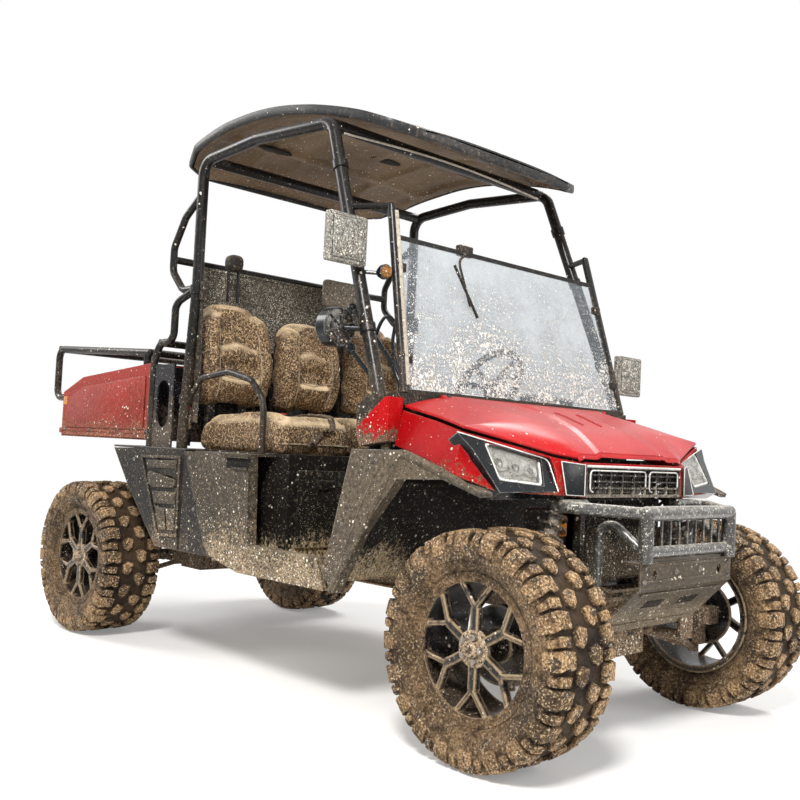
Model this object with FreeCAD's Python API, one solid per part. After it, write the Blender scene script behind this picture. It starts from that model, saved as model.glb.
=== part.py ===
import FreeCAD, Part
import math
import os
from FreeCAD import Vector

# Side by side utility vehicle with an open cab, a tilting cargo bed and steered front wheels.
# Millimetres. +X is forward, +Y is the vehicle's left, +Z is up.
# The origin is on the ground, in the middle of the vehicle's length and width.
# Lengths along X below are measured from a mark amidships, and each piece is moved to the origin
# when it is saved.

os.makedirs("parts", exist_ok=True)

# Driving dimensions
rear_reach = 1515.0
bumper_reach = 1515.0
half_width_mirrors = 800.0
wheelbase = 2300.0
front_axle_x = 1235.0
rear_axle_x = front_axle_x - wheelbase
wheel_centre_y = 590.0
overrun = 50.0
running_fit = 0.05
seat_fit = 0.3
moving_gap = 6.0
bend_room_share = 0.45

# Tyres
tyre_radius = 330.0
tyre_width = 260.0
tread_depth = 14.0
bead_width = 190.0
tyre_belly_share = 0.40
tyre_shoulder_share = 0.91
tyre_shoulder_drop = 12.0
lug_count = 20
lug_side_depth = 4.0
lug_edge_drop = 30.0
lug_crown_share = 0.80
lug_top_share = 0.48
lug_foot_share = 0.45
axle_z = tyre_radius
origin_x = (front_axle_x + tyre_radius - rear_reach) / 2

# Rims
rim_well_radius = 188.0
rim_wall = 6.0
rim_flange_radius = 206.0
rim_flange_width = 8.0
spoke_count = 6
spoke_depth = 22.0
spoke_recess = 6.0
spoke_root_width = 26.0
spoke_tip_width = 13.0
fork_radius = 112.0
fork_spread_deg = 17.0
hub_radius = 46.0
hub_length = 70.0
brake_disc_radius = 112.0
brake_disc_width = 6.0
stub_radius = 22.0

# Uprights that carry the wheels, and their king pins
kingpin_y = 515.0
kingpin_radius = 9.0
upright_half_height = 104.0
upright_length = 70.0
upright_thickness = 40.0
joint_eye_radius = 18.0
joint_eye_height = 24.0
joint_eye_gap = 4.0
drive_cup_radius = 42.0
drive_cup_room_share = 1.45
steering_arm_length = 110.0
steering_arm_width = 26.0
steering_arm_height = 16.0
steering_pin_radius = 7.0
steering_pin_height = 34.0
caliper_length = 70.0
caliper_height = 60.0
caliper_depth = 26.0

# Suspension arms and dampers
arm_tube_radius = 11.0
arm_root_y = 215.0
lower_arm_root_z = 300.0
upper_arm_root_z = 462.0
arm_root_spread = 88.0
arm_eye_half = 22.0
damper_foot_y = 395.0
damper_foot_z = 470.0
damper_top_y = 305.0
damper_radius = 25.0
damper_rod_radius = 9.0
damper_body_share = 0.72

# Drive line
front_case_length = 92.0
rear_case_length = 170.0
gear_case_width = 210.0
gear_case_height = 170.0
drive_shaft_radius = 14.0
boot_radius = 28.0
boot_length = 70.0

# Steering rack
rack_radius = 11.0
rack_sleeve_radius = 20.0
rack_sleeve_half = 140.0
rack_bar_share = 1.45
tie_rod_radius = 8.0
tie_eye_radius = 22.0
tie_eye_height = 18.0
tie_slot_length = 10.5
tie_slot_room = 1.2

# Chassis frame
rail_centre_y = 260.0
rail_width = 40.0
rail_height = 60.0
rail_low_z = 380.0
rail_front_x = 1360.0
rail_rear_x = -1340.0
rail_top_z = rail_low_z + rail_height
cross_length = 50.0
cross_middle_x = 640.0
cross_bed_x = -640.0
case_beam_length = 40.0
pivot_tube_radius = 14.0
pivot_tube_half = 124.0
hanger_thickness = 12.0
tower_top_z = 800.0
tower_leg = 22.0
tower_plate = 8.0
tower_half_length = 12.0
tower_reach = tower_half_length + tower_leg + tower_leg / 2
belly_thickness = 6.0
belly_half_width = 300.0
belly_front_x = 700.0
belly_rear_x = -910.0

# Engine block and silencer
engine_front_x = -492.0
engine_rear_x = -905.0
engine_half_width = 225.0
engine_top_z = 800.0
muffler_radius = 62.0
muffler_half_length = 210.0
muffler_x = -1300.0
muffler_z = 600.0
muffler_strap = 24.0
muffler_strap_share = 0.60
muffler_beam_share = 0.80

# Hitch receiver, 50 mm square socket with its pin hole
receiver_inner = 51.0
receiver_wall = 6.0
receiver_length = 150.0
receiver_pin_radius = 8.0
receiver_pin_setback = 45.0

# Floor tub and seat box
floor_thickness = 15.0
floor_half_width = 640.0
floor_rear_x = -475.0
floor_front_x = 690.0
panel_wall = 5.0
seat_box_front_x = 235.0
seat_box_half_width = 560.0
seat_box_top_z = 825.0
firewall_sheet = 6.0
firewall_foot_x = 672.0
firewall_knee_x = 762.0
firewall_knee_z = 602.0
firewall_shoulder_x = 845.0
firewall_shoulder_z = 760.0
cowl_low_z = 1000.0

# Side panels
side_inner_y = 640.0
side_outer_y = 682.0
sill_low_z = 400.0
deck_top_z = seat_box_top_z
deck_thickness = 8.0
side_panel_rear_x = -255.0
side_panel_front_x = 648.0
side_panel_top_z = 820.0
rear_fender_rear_x = -807.0
rear_fender_front_x = -40.0
rear_fender_low_z = 436.0
panel_split = 3.0
recess_depth = 8.0
recess_rows = 4
recess_height = 50.0
recess_pitch = 78.0
recess_width = 120.0
recess_top_gap = 30.0
recess_front_share = 0.62
side_panel_shares = [
    (0.00, 0.99), (0.48, 1.00), (0.50, 0.24), (0.95, 0.24),
    (1.00, 0.00), (0.44, 0.00), (0.24, 0.09), (0.19, 0.17)]
rear_fender_shares = [
    (0.00, 0.97), (0.16, 0.61), (0.48, 0.00), (0.99, 0.00),
    (0.93, 0.09), (0.71, 1.00)]

# Front fender blades and flares
blade_inner_y = 650.0
blade_outer_y = 692.0
blade_rear_x = 602.0
blade_front_x = 1249.0
blade_low_z = 400.0
blade_top_z = 862.0
flare_inner_y = 640.0
flare_thickness = 12.0
blade_shares = [
    (0.17, 0.99), (0.00, 0.13), (0.08, 0.00), (0.26, 0.44), (0.49, 0.81),
    (0.78, 0.83), (1.00, 0.74), (1.00, 0.77), (0.77, 0.89), (0.51, 1.00)]
flare_shares = [
    (0.45, 0.97), (0.51, 1.00), (0.77, 0.89), (1.00, 0.77)]

# Nose and hood
nose_rear_x = 865.0
nose_front_x = 1300.0
nose_half_width = 700.0
nose_low_z = 745.0
nose_top_z = 1035.0
nose_wall_shares = [0.012, 0.012, 0.03, 0.06, 0.09, 0.10, 0.10]
nose_wall_reach = 300.0
hood_thickness = 8.0
hood_range_lift = 6.0
nose_station_shares = [
    (0.000, 0.89, 0.82, 0.935, 0.45),
    (0.390, 0.91, 0.70, 0.970, 0.31),
    (0.640, 0.94, 0.61, 0.990, 0.19),
    (0.740, 0.76, 0.52, 0.970, 0.14),
    (0.870, 0.53, 0.40, 0.870, 0.04),
    (0.965, 0.44, 0.36, 0.550, 0.02),
    (1.000, 0.40, 0.345, 0.400, 0.00)]
hood_station_shares = [
    (0.000, 1.00, 0.57, 1.00, 0.88, 0.86),
    (0.390, 0.85, 0.51, 0.86, 0.90, 0.74),
    (0.640, 0.71, 0.47, 0.73, 0.93, 0.65),
    (0.740, 0.64, 0.45, 0.65, 0.75, 0.56),
    (0.870, 0.52, 0.42, 0.53, 0.53, 0.44),
    (0.960, 0.43, 0.36, 0.43, 0.42, 0.40)]
hood_pin_radius = 5.0
hood_eye_radius = 8.0
hood_eye_width = 20.0
hood_pin_length = 70.0
hood_hinge_y = 420.0
hood_axis_drop = 1.0

# Headlamps, corners as shares of the nose box
lamp_outer_shares = [
    (0.651, 0.980, 0.603), (0.844, 0.533, 0.372), (0.961, 0.550, 0.055),
    (0.890, 0.874, 0.038), (0.724, 0.930, 0.438)]
lamp_lens_shares = [
    (0.703, 0.857, 0.538), (0.825, 0.567, 0.397), (0.924, 0.617, 0.110),
    (0.845, 0.850, 0.150)]
lamp_depth = 45.0
lens_depth = 24.0
lens_setback = 6.0

# Grille, radiator and front guard
grille_half_width = 272.0
grille_depth = 18.0
grille_low_z = 745.0
grille_top_z = 842.0
grille_border = 9.0
grille_bar = 5.0
grille_bars = 7
grille_stay_drop = 44.0
grille_levels = 3
grille_room_depth = 72.0
radiator_depth = 46.0
radiator_low_z = 480.0
radiator_top_z = 738.0
radiator_x = 1236.0

# Bumper and skid plate
bumper_radius = 22.0
bumper_bend = 45.0
bumper_bar_z = 712.0
bumper_post_y = 244.0
bumper_low_bar_z = 600.0
bumper_low_bar_radius = 17.0
bumper_side_radius = 18.0
bumper_side_y = 440.0
bumper_side_x = 1292.0
bumper_side_z = 722.0
bumper_stay_x = 1344.0
bumper_stay_radius = 14.0
guard_bar_width = 7.0
guard_bars = 9
skid_sheet = 6.0
skid_half_width = 266.0
skid_top_z = 571.0
skid_bend_z = 497.0
skid_low_x = 1342.0
skid_low_z = 343.0
skid_lip = 60.0
skid_hole_radius = 15.0
skid_hole_y = 190.0

# Roll cage
cage_radius = 22.0
cage_top_z = 1978.0
cage_half_width = 600.0
cage_front_x = 429.0
cage_rear_x = -365.0
cage_crown = 25.0
cage_crown_share = 0.45
cage_bend = 70.0
cage_bar_inset = 25.0
pillar_base_x = 800.0
pillar_base_y = 662.0
pillar_base_z = 1008.0
pillar_knee_x = 742.0
pillar_knee_z = 860.0
pillar_foot_x = 625.0
pillar_foot_y = 622.0
rear_joint_z = 1465.0
rear_knee_x = -400.0
rear_knee_y = 608.0
rear_knee_z = 900.0
bow_radius = 15.0
bow_bend = 55.0
bow_reach = 190.0
bow_top_z = 1845.0
bow_high_z = 1650.0
bow_low_z = 1550.0
bow_top_share = 0.60
bow_top_rise_share = 0.60
bow_low_share = 0.55
bow_bar_share = 0.50
hoop_y = 642.0
hoop_front_x = -450.0
hoop_rear_x = -590.0
hoop_bar_z = 1250.0
hoop_shoulder_z = 1405.0
hoop_drop = 80.0
hoop_corner = 40.0
hip_radius = 12.0
hip_bend = 60.0
hip_y = 594.0
hip_top_z = 1126.0
hip_front_x = 112.0
hip_start_z = 1005.0
hip_front_share = 0.50
hip_shares = [(0.18, 0.93), (0.55, 1.00), (0.83, 0.89), (0.97, 0.68)]

# Roof shell
roof_rear_x = -617.0
roof_front_x = 687.0
roof_low_z = 1972.0
roof_rise = 158.0
roof_half_width = 612.0
roof_skin = 9.0
roof_rim = 38.0
roof_rim_wall = 12.0
roof_corner_share = 0.80
roof_arch_shares = [
    (0.00, 0.40), (0.19, 0.82), (0.38, 1.00), (0.54, 0.97), (0.71, 0.74), (0.86, 0.42), (1.00, 0.00)]
roof_plan_shares = [
    (0.000, 0.72), (0.045, 0.90), (0.130, 0.98), (0.30, 1.00), (0.70, 0.97),
    (0.900, 0.92), (0.965, 0.84), (1.000, 0.66)]
roof_pad_height = 20.0

# Windshield and its frame
glass_low_x = 840.0
glass_low_z = 1052.0
glass_top_x = 715.0
glass_top_z = 1547.0
glass_low_half = 585.0
glass_top_half = 540.0
glass_thickness = 5.0
upright_tube_radius = 14.0
upright_top_z = 1660.0
upright_brace_radius = 11.0
glass_trim = 14.0
cowl_rear_x = 785.0
cowl_half_width = 622.0
cowl_seam = 6.0
corner_rear_x = 720.0
corner_front_x = 920.0
corner_low_z = 868.0
corner_top_z = 1022.0
corner_shares = [
    (0.00, 0.20), (0.00, 0.38), (0.62, 1.00), (0.705, 1.00), (0.705, 0.12), (0.08, 0.00)]

# Dashboard and steering
dash_rear_x = 615.0
dash_half_width = 590.0
dash_low_z = 870.0
dash_top_z = 1030.0
dash_shares = [
    (0.00, 0.32), (0.00, 0.80), (0.25, 1.00), (1.00, 1.00), (1.00, 0.00), (0.35, 0.00)]
wheel_x = 385.0
wheel_y = 330.0
wheel_z = 1130.0
column_tilt_deg = 32.0
steering_wheel_radius = 165.0
steering_rim_radius = 14.0
steering_hub_radius = 34.0
steering_hub_length = 40.0
steering_spoke_radius = 10.0
steering_spokes = 3
steering_shaft_radius = 10.0
steering_shaft_length = 120.0
column_end_share = 0.50
column_radius = 24.0

# Seats, one on the right and a double one on the left
cushion_rear_x = -405.0
cushion_front_x = 213.0
cushion_thickness = 148.0
cushion_round = 30.0
seat_outer_y = 575.0
right_seat_inner_y = -200.0
left_seat_inner_y = -168.0
seat_back_top_z = 1470.0
seat_back_rear_x = -478.0
seat_back_front_x = -325.0
seat_back_round = 18.0
seat_back_shares = [
    (0.05, 0.00), (0.45, 0.00), (0.45, 0.25), (1.00, 0.25), (0.54, 0.95), (0.32, 1.00), (0.00, 0.96)]
headrest_x = -428.0
headrest_post_radius = 7.0
headrest_post_half = 24.0
right_headrest_y = -388.0
right_headrest_z = 1606.0
right_headrest_radius = 44.0
left_headrest_y = 200.0
left_headrest_z = 1556.0
left_headrest_width = 210.0
left_headrest_height = 140.0
left_headrest_depth = 56.0
left_headrest_round = 15.0

# Panels behind the seats
screen_sheet = 10.0
screen_half_width = 485.0
screen_top_z = 1575.0
screen_low_z = 1268.0
quarter_sheet = 8.0
quarter_front_x = -425.0
quarter_top_z = 1160.0
quarter_hole_width = 90.0
quarter_hole_height = 190.0
quarter_hole_z = 1000.0

# Mirrors and the round lamp
mirror_width = 160.0
mirror_height = 158.0
mirror_depth = 32.0
mirror_round = 8.0
right_mirror_x = 668.0
right_mirror_z = 1520.0
left_mirror_x = 790.0
left_mirror_z = 1200.0
mirror_arm_radius = 9.0
mirror_arm_end = 40.0
round_lamp_x = 640.0
round_lamp_y = -722.0
round_lamp_z = 1240.0
round_lamp_radius = 64.0
round_lamp_depth = 42.0

# Cargo bed, its rack and tailgate
bed_front_x = -615.0
bed_rear_x = -1395.0
bed_half_width = 640.0
bed_low_z = 850.0
bed_top_z = 1169.0
bed_floor = 14.0
bed_wall = 18.0
bed_rim = 26.0
bed_rim_height = 16.0
bed_side_shares = [(0.00, 0.00), (0.00, 0.64), (0.24, 0.85), (1.00, 1.00), (1.00, 0.00)]
bed_pivot_x = -1290.0
bed_pivot_z = 800.0
bed_pin_radius = 12.0
bed_lug_y = 225.0
bed_lug_thickness = 14.0
bed_lug_length = 70.0
bed_post_width = 24.0
bed_rest_gap = 1.0
gate_thickness = 24.0
gate_side_gap = 22.0
gate_top_z = 1042.0
gate_pin_radius = 6.0
gate_barrel_radius = 12.0
gate_pin_z = 876.0
gate_lug_length = 30.0
rack_tube_radius = 16.0
rack_bend = 45.0
rack_y = 622.0
rack_top_z = 1262.0
rack_front_x = -660.0
rack_front_z = 1215.0
rack_foot_z = 1030.0
rack_front_post_x = -680.0


# Basic shapes

def block(x_low, x_high, y_low, y_high, z_low, z_high):
    corner = Vector(x_low, y_low, z_low)
    return Part.makeBox(x_high - x_low, y_high - y_low, z_high - z_low, corner)


def rod(start, end, radius):
    along = end.sub(start)
    return Part.makeCylinder(radius, along.Length, start, along)


def ball(centre, radius):
    return Part.makeSphere(radius, centre)


def fuse(shapes):
    joined = shapes[0]
    for shape in shapes[1:]:
        joined = joined.fuse(shape)
    return joined.removeSplitter()


def cut(shape, tools):
    return shape.cut(tools).removeSplitter()


def elbow(knee, back, ahead, bend, room):
    half_turn = (math.pi - back.getAngle(ahead)) / 2
    reach = min(bend * math.tan(half_turn), room)
    bend_radius = reach / math.tan(half_turn)
    start = knee.add(Vector(back).multiply(reach))
    end = knee.add(Vector(ahead).multiply(reach))
    middle = Vector(back).add(ahead).normalize()
    centre = knee.add(middle.multiply(bend_radius / math.cos(half_turn)))
    return start, end, centre, math.degrees(2 * half_turn)


def bent_tube(points, radius, bend):
    pieces = []
    last = points[0]
    for before, knee, after in zip(points[:-2], points[1:-1], points[2:]):
        back = before.sub(knee)
        ahead = after.sub(knee)
        room = bend_room_share * min(back.Length, ahead.Length)
        back.normalize()
        ahead.normalize()
        start, end, centre, turn_deg = elbow(knee, back, ahead, bend, room)
        pieces.append(rod(last, start, radius))
        disc = Part.Face(Part.Wire(Part.makeCircle(radius, start, back)))
        pieces.append(disc.revolve(centre, ahead.cross(back).normalize(), turn_deg))
        last = end
    pieces.append(rod(last, points[-1], radius))
    return fuse(pieces)


def outline_face(points):
    return Part.Face(Part.makePolygon(points + [points[0]]))


def side_plate(outline, y_low, y_high):
    points = [Vector(x, y_low, z) for x, z in outline]
    return outline_face(points).extrude(Vector(0, y_high - y_low, 0))


def plan_plate(outline, z_low, z_high):
    points = [Vector(x, y, z_low) for x, y in outline]
    return outline_face(points).extrude(Vector(0, 0, z_high - z_low))


def loft(sections):
    wires = [Part.makePolygon(points + [points[0]]) for points in sections]
    return Part.makeLoft(wires, True, True)


def between(low, high, share):
    return low + share * (high - low)


def placed(shares, x_low, x_high, z_low, z_high):
    return [(between(x_low, x_high, sx), between(z_low, z_high, sz)) for sx, sz in shares]


def mirrored(shape):
    return shape.mirror(Vector(0, 0, 0), Vector(0, 1, 0))


def sided(shape, side):
    return shape if side > 0 else mirrored(shape)


def pair(shape):
    return [shape, mirrored(shape)]


def group(shapes):
    return Part.makeCompound(shapes)


def along_y(centre_x, centre_z, y_low, y_high, radius):
    return rod(Vector(centre_x, y_low, centre_z), Vector(centre_x, y_high, centre_z), radius)


def save(name, shape):
    placed_shape = shape.copy()
    placed_shape.translate(Vector(-origin_x, 0, 0))
    placed_shape.exportStep(os.path.join("parts", name + ".step"))


# Wheels

def polar(radius, angle_deg):
    angle = math.radians(angle_deg)
    return Vector(radius * math.sin(angle), 0, radius * math.cos(angle))


def tyre_wall(side):
    bead_half = bead_width / 2
    heel_half = bead_half - rim_flange_width
    facet_share = math.cos(math.pi / (2 * lug_count))
    bore_radius = rim_well_radius / facet_share
    lip_radius = (rim_flange_radius + seat_fit) / facet_share
    wall_half = tyre_width / 2 - lug_side_depth
    belly = between(rim_flange_radius, tyre_radius, tyre_belly_share)
    points = [(heel_half, bore_radius), (heel_half, lip_radius), (bead_half, lip_radius), (wall_half, belly)]
    return [(side * y, radius) for y, radius in points]


def tyre_shoulder(side):
    half = tyre_width / 2
    carcass = tyre_radius - tread_depth
    points = [(half * tyre_shoulder_share, carcass - tyre_shoulder_drop), (half * lug_foot_share, carcass)]
    return [(side * y, radius) for y, radius in points]


def lug_crown(side):
    half = tyre_width / 2
    points = [
        (half, tyre_radius - lug_edge_drop),
        (half * lug_crown_share, tyre_radius),
        (half * lug_top_share, tyre_radius)]
    return [(side * y, radius) for y, radius in points]


def tyre_outline(lug_side):
    raised = tyre_wall(lug_side) + lug_crown(lug_side) + tyre_shoulder(lug_side)[-1:]
    plain = tyre_wall(-lug_side) + tyre_shoulder(-lug_side)
    return raised + plain[::-1]


def lug_section(side):
    return tyre_wall(side)[-1:] + lug_crown(side) + tyre_shoulder(side)[::-1]


def turned_face(places):
    points = []
    for (y, radius), angle in places:
        point = polar(radius, angle)
        point.y = y
        points.append(point)
    return outline_face(points)


def tyre(centre_x, side):
    step = 180.0 / lug_count
    faces = []
    for index in range(2 * lug_count):
        start = step * index
        end = start + step
        outline = tyre_outline(1 if index % 2 == 0 else -1)
        for first, second in zip(outline, outline[1:] + outline[:1]):
            faces.append(turned_face([(first, start), (second, start), (second, end), (first, end)]))
        for lug_side in (-1, 1):
            faces.append(turned_face([(place, start) for place in lug_section(lug_side)]))
    ring = Part.Solid(Part.Shell(faces))
    ring.translate(Vector(centre_x, side * wheel_centre_y, axle_z))
    return ring


def rim_barrel():
    half = bead_width / 2
    well_inner = rim_well_radius - rim_wall
    profile = [
        Vector(0, -half, well_inner),
        Vector(0, -half, rim_flange_radius),
        Vector(0, rim_flange_width - half, rim_flange_radius),
        Vector(0, rim_flange_width - half, rim_well_radius),
        Vector(0, half - rim_flange_width, rim_well_radius),
        Vector(0, half - rim_flange_width, rim_flange_radius),
        Vector(0, half, rim_flange_radius),
        Vector(0, half, well_inner)]
    return outline_face(profile).revolve(Vector(0, 0, 0), Vector(0, 1, 0), 360)


def bar_between(start, end, width, y_low, y_high):
    along = end.sub(start)
    across = Vector(-along.z, 0, along.x).normalize().multiply(width / 2)
    corners = [start.add(across), end.add(across), end.sub(across), start.sub(across)]
    outline = [(corner.x, corner.z) for corner in corners]
    return side_plate(outline, y_low, y_high)


def rim(centre_x, side):
    face_y = bead_width / 2 - spoke_recess
    back_y = face_y - spoke_depth
    well_inner = rim_well_radius - rim_wall
    pieces = []
    for index in range(spoke_count):
        angle = 360.0 * index / spoke_count
        fork = polar(fork_radius, angle)
        pieces.append(bar_between(Vector(0, 0, 0), fork, spoke_root_width, back_y, face_y))
        for spread in (-fork_spread_deg, fork_spread_deg):
            tip = polar(well_inner + rim_wall / 2, angle + spread)
            pieces.append(bar_between(fork, tip, spoke_tip_width, back_y, face_y))
        pieces.append(along_y(fork.x, fork.z, back_y, face_y, spoke_tip_width / 2))
    spokes = fuse(pieces).common(along_y(0, 0, back_y, face_y, rim_well_radius - rim_wall / 2))
    pieces = [rim_barrel(), spokes]
    hub_end = face_y - hub_length
    disc_y = kingpin_y + upright_thickness / 2 + caliper_depth + moving_gap - wheel_centre_y
    pieces.append(along_y(0, 0, hub_end, face_y, hub_radius))
    pieces.append(along_y(0, 0, disc_y, hub_end, hub_radius))
    pieces.append(along_y(0, 0, disc_y, disc_y + brake_disc_width, brake_disc_radius))
    body = fuse(pieces)
    bore = along_y(0, 0, -tyre_width, tyre_width, stub_radius + running_fit)
    body = cut(body, bore)
    body = sided(body, side)
    body.translate(Vector(centre_x, side * wheel_centre_y, axle_z))
    return body


def upright(centre_x, with_steering):
    inner_y = kingpin_y - upright_thickness / 2
    outer_y = kingpin_y + upright_thickness / 2
    half = upright_length / 2
    stub_end = wheel_centre_y + bead_width / 2 - spoke_recess
    pin_low = axle_z - upright_half_height - joint_eye_gap - joint_eye_height
    pin_high = axle_z + upright_half_height + joint_eye_gap + joint_eye_height
    pieces = [
        block(centre_x - half, centre_x + half, inner_y, outer_y,
              axle_z - upright_half_height, axle_z + upright_half_height),
        along_y(centre_x, axle_z, kingpin_y, stub_end, stub_radius),
        rod(Vector(centre_x, kingpin_y, pin_low), Vector(centre_x, kingpin_y, pin_high), kingpin_radius),
        block(centre_x + half, centre_x + half + caliper_length / 2, inner_y, outer_y + caliper_depth,
              axle_z - caliper_height / 2, axle_z + caliper_height / 2)]
    if with_steering:
        pin_x = centre_x - steering_arm_length
        arm_low = axle_z - steering_arm_height / 2 - tie_eye_height / 2
        arm_top = axle_z - tie_eye_height / 2 - seat_fit
        pieces.append(ball(Vector(centre_x, kingpin_y, axle_z), drive_cup_radius))
        pieces.append(block(pin_x - steering_arm_width / 2, centre_x - half,
                            kingpin_y - steering_arm_width / 2, kingpin_y + steering_arm_width / 2,
                            arm_low - steering_arm_height / 2, arm_top))
        pieces.append(rod(Vector(pin_x, kingpin_y, arm_low),
                          Vector(pin_x, kingpin_y, arm_low + steering_pin_height), steering_pin_radius))
    return fuse(pieces)


# Suspension and drive line

def arm(centre_x, root_z, eye_z):
    eye_low = eye_z - joint_eye_height / 2
    tip = Vector(centre_x, kingpin_y, eye_z)
    pieces = [Part.makeCylinder(joint_eye_radius, joint_eye_height, Vector(centre_x, kingpin_y, eye_low))]
    for spread in (-arm_root_spread, arm_root_spread):
        root = Vector(centre_x + spread, arm_root_y, root_z)
        pieces.append(rod(root, tip, arm_tube_radius))
        pieces.append(rod(root.sub(Vector(arm_eye_half, 0, 0)), root.add(Vector(arm_eye_half, 0, 0)),
                          joint_eye_radius))
    body = fuse(pieces)
    pin = Part.makeCylinder(kingpin_radius + running_fit, joint_eye_height + 2 * overrun,
                            Vector(centre_x, kingpin_y, eye_low - overrun))
    pivot = rod(Vector(centre_x - pivot_tube_half, arm_root_y, root_z),
                Vector(centre_x + pivot_tube_half, arm_root_y, root_z), pivot_tube_radius)
    swept = cut(body, [pin, pivot])
    turning = Part.makeCylinder(drive_cup_radius + moving_gap, 2 * upright_half_height + 2 * joint_eye_gap,
                                Vector(centre_x, kingpin_y, axle_z - upright_half_height - joint_eye_gap))
    return cut(swept, turning)


def eye_height(sign):
    return axle_z + sign * (upright_half_height + joint_eye_gap + joint_eye_height / 2)


def arm_pair(centre_x):
    return [arm(centre_x, lower_arm_root_z, eye_height(-1)), arm(centre_x, upper_arm_root_z, eye_height(1))]


def arms(centre_x):
    solids = []
    for one in arm_pair(centre_x):
        solids.extend(pair(one))
    return group(solids)


def damper(centre_x):
    foot = Vector(centre_x, damper_foot_y, damper_foot_z)
    top = Vector(centre_x, damper_top_y, tower_top_z)
    along = top.sub(foot)
    shoulder = foot.add(Vector(along).multiply(1.0 - damper_body_share))
    bridge = rod(Vector(centre_x - arm_root_spread, damper_foot_y, damper_foot_z),
                 Vector(centre_x + arm_root_spread, damper_foot_y, damper_foot_z), damper_rod_radius)
    reach = block(centre_x - upright_length, centre_x + upright_length, 0, kingpin_y, 0, tower_top_z)
    body = fuse([rod(foot, shoulder, damper_rod_radius), rod(shoulder, top.add(along), damper_radius),
                 ball(foot, joint_eye_radius), bridge])
    body = body.common(reach)
    return cut(body, arm_pair(centre_x))


def dampers():
    solids = pair(damper(front_axle_x)) + pair(damper(rear_axle_x))
    return group(solids)


def drive(centre_x, steered):
    case_length = front_case_length if steered else rear_case_length
    case = block(centre_x - case_length / 2, centre_x + case_length / 2,
                 -gear_case_width / 2, gear_case_width / 2,
                 axle_z - gear_case_height / 2, axle_z + gear_case_height / 2)
    inner_y = kingpin_y - upright_thickness / 2
    reach = kingpin_y if steered else inner_y
    shaft = along_y(centre_x, axle_z, 0, reach, drive_shaft_radius)
    boot_low = inner_y - boot_length - 2 * moving_gap
    boot = along_y(centre_x, axle_z, boot_low, reach, boot_radius)
    half_shaft = fuse([shaft, boot])
    if steered:
        room = drive_cup_radius * drive_cup_room_share
        half_shaft = cut(half_shaft, ball(Vector(centre_x, kingpin_y, axle_z), room))
    return fuse([case] + pair(half_shaft))


# Chassis frame

def hangers(centre_x):
    shapes = []
    low_z = lower_arm_root_z
    outer_y = rail_centre_y + rail_width / 2
    for end in (-1, 1):
        end_x = centre_x + end * (pivot_tube_half - hanger_thickness / 2)
        shapes.append(block(end_x - hanger_thickness / 2, end_x + hanger_thickness / 2,
                            arm_root_y - pivot_tube_radius, outer_y, low_z - pivot_tube_radius,
                            upper_arm_root_z + pivot_tube_radius))
    for root_z in (lower_arm_root_z, upper_arm_root_z):
        shapes.append(rod(Vector(centre_x - pivot_tube_half, arm_root_y, root_z),
                          Vector(centre_x + pivot_tube_half, arm_root_y, root_z), pivot_tube_radius))
    return shapes


def tower(centre_x):
    inner_y = rail_centre_y - rail_width / 2
    shapes = []
    for end in (-1, 1):
        leg_x = centre_x + end * (tower_half_length + tower_leg)
        shapes.append(block(leg_x - tower_leg / 2, leg_x + tower_leg / 2, inner_y, inner_y + tower_leg,
                            rail_low_z, tower_top_z + tower_plate))
    shapes.append(block(centre_x - tower_reach, centre_x + tower_reach,
                        inner_y, damper_top_y + damper_radius + tower_plate,
                        tower_top_z, tower_top_z + tower_plate))
    return shapes


def frame_side():
    inner_y = rail_centre_y - rail_width / 2
    outer_y = rail_centre_y + rail_width / 2
    shapes = [block(rail_rear_x, rail_front_x, inner_y, outer_y, rail_low_z, rail_top_z)]
    for axle_x in (front_axle_x, rear_axle_x):
        shapes.extend(hangers(axle_x))
        shapes.extend(tower(axle_x))
    post_x = bed_pivot_x
    shapes.append(block(post_x - bed_post_width / 2, post_x + bed_post_width / 2,
                        inner_y + bed_lug_thickness, outer_y, rail_top_z, bed_pivot_z + bed_post_width / 2))
    shapes.append(along_y(post_x, bed_pivot_z, bed_lug_y - bed_lug_thickness, outer_y, bed_pin_radius))
    shapes.append(block(cross_bed_x - cross_length / 2, cross_bed_x + cross_length / 2,
                        engine_half_width + moving_gap, outer_y, rail_top_z, bed_low_z - bed_rest_gap))
    return fuse(shapes)


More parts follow.
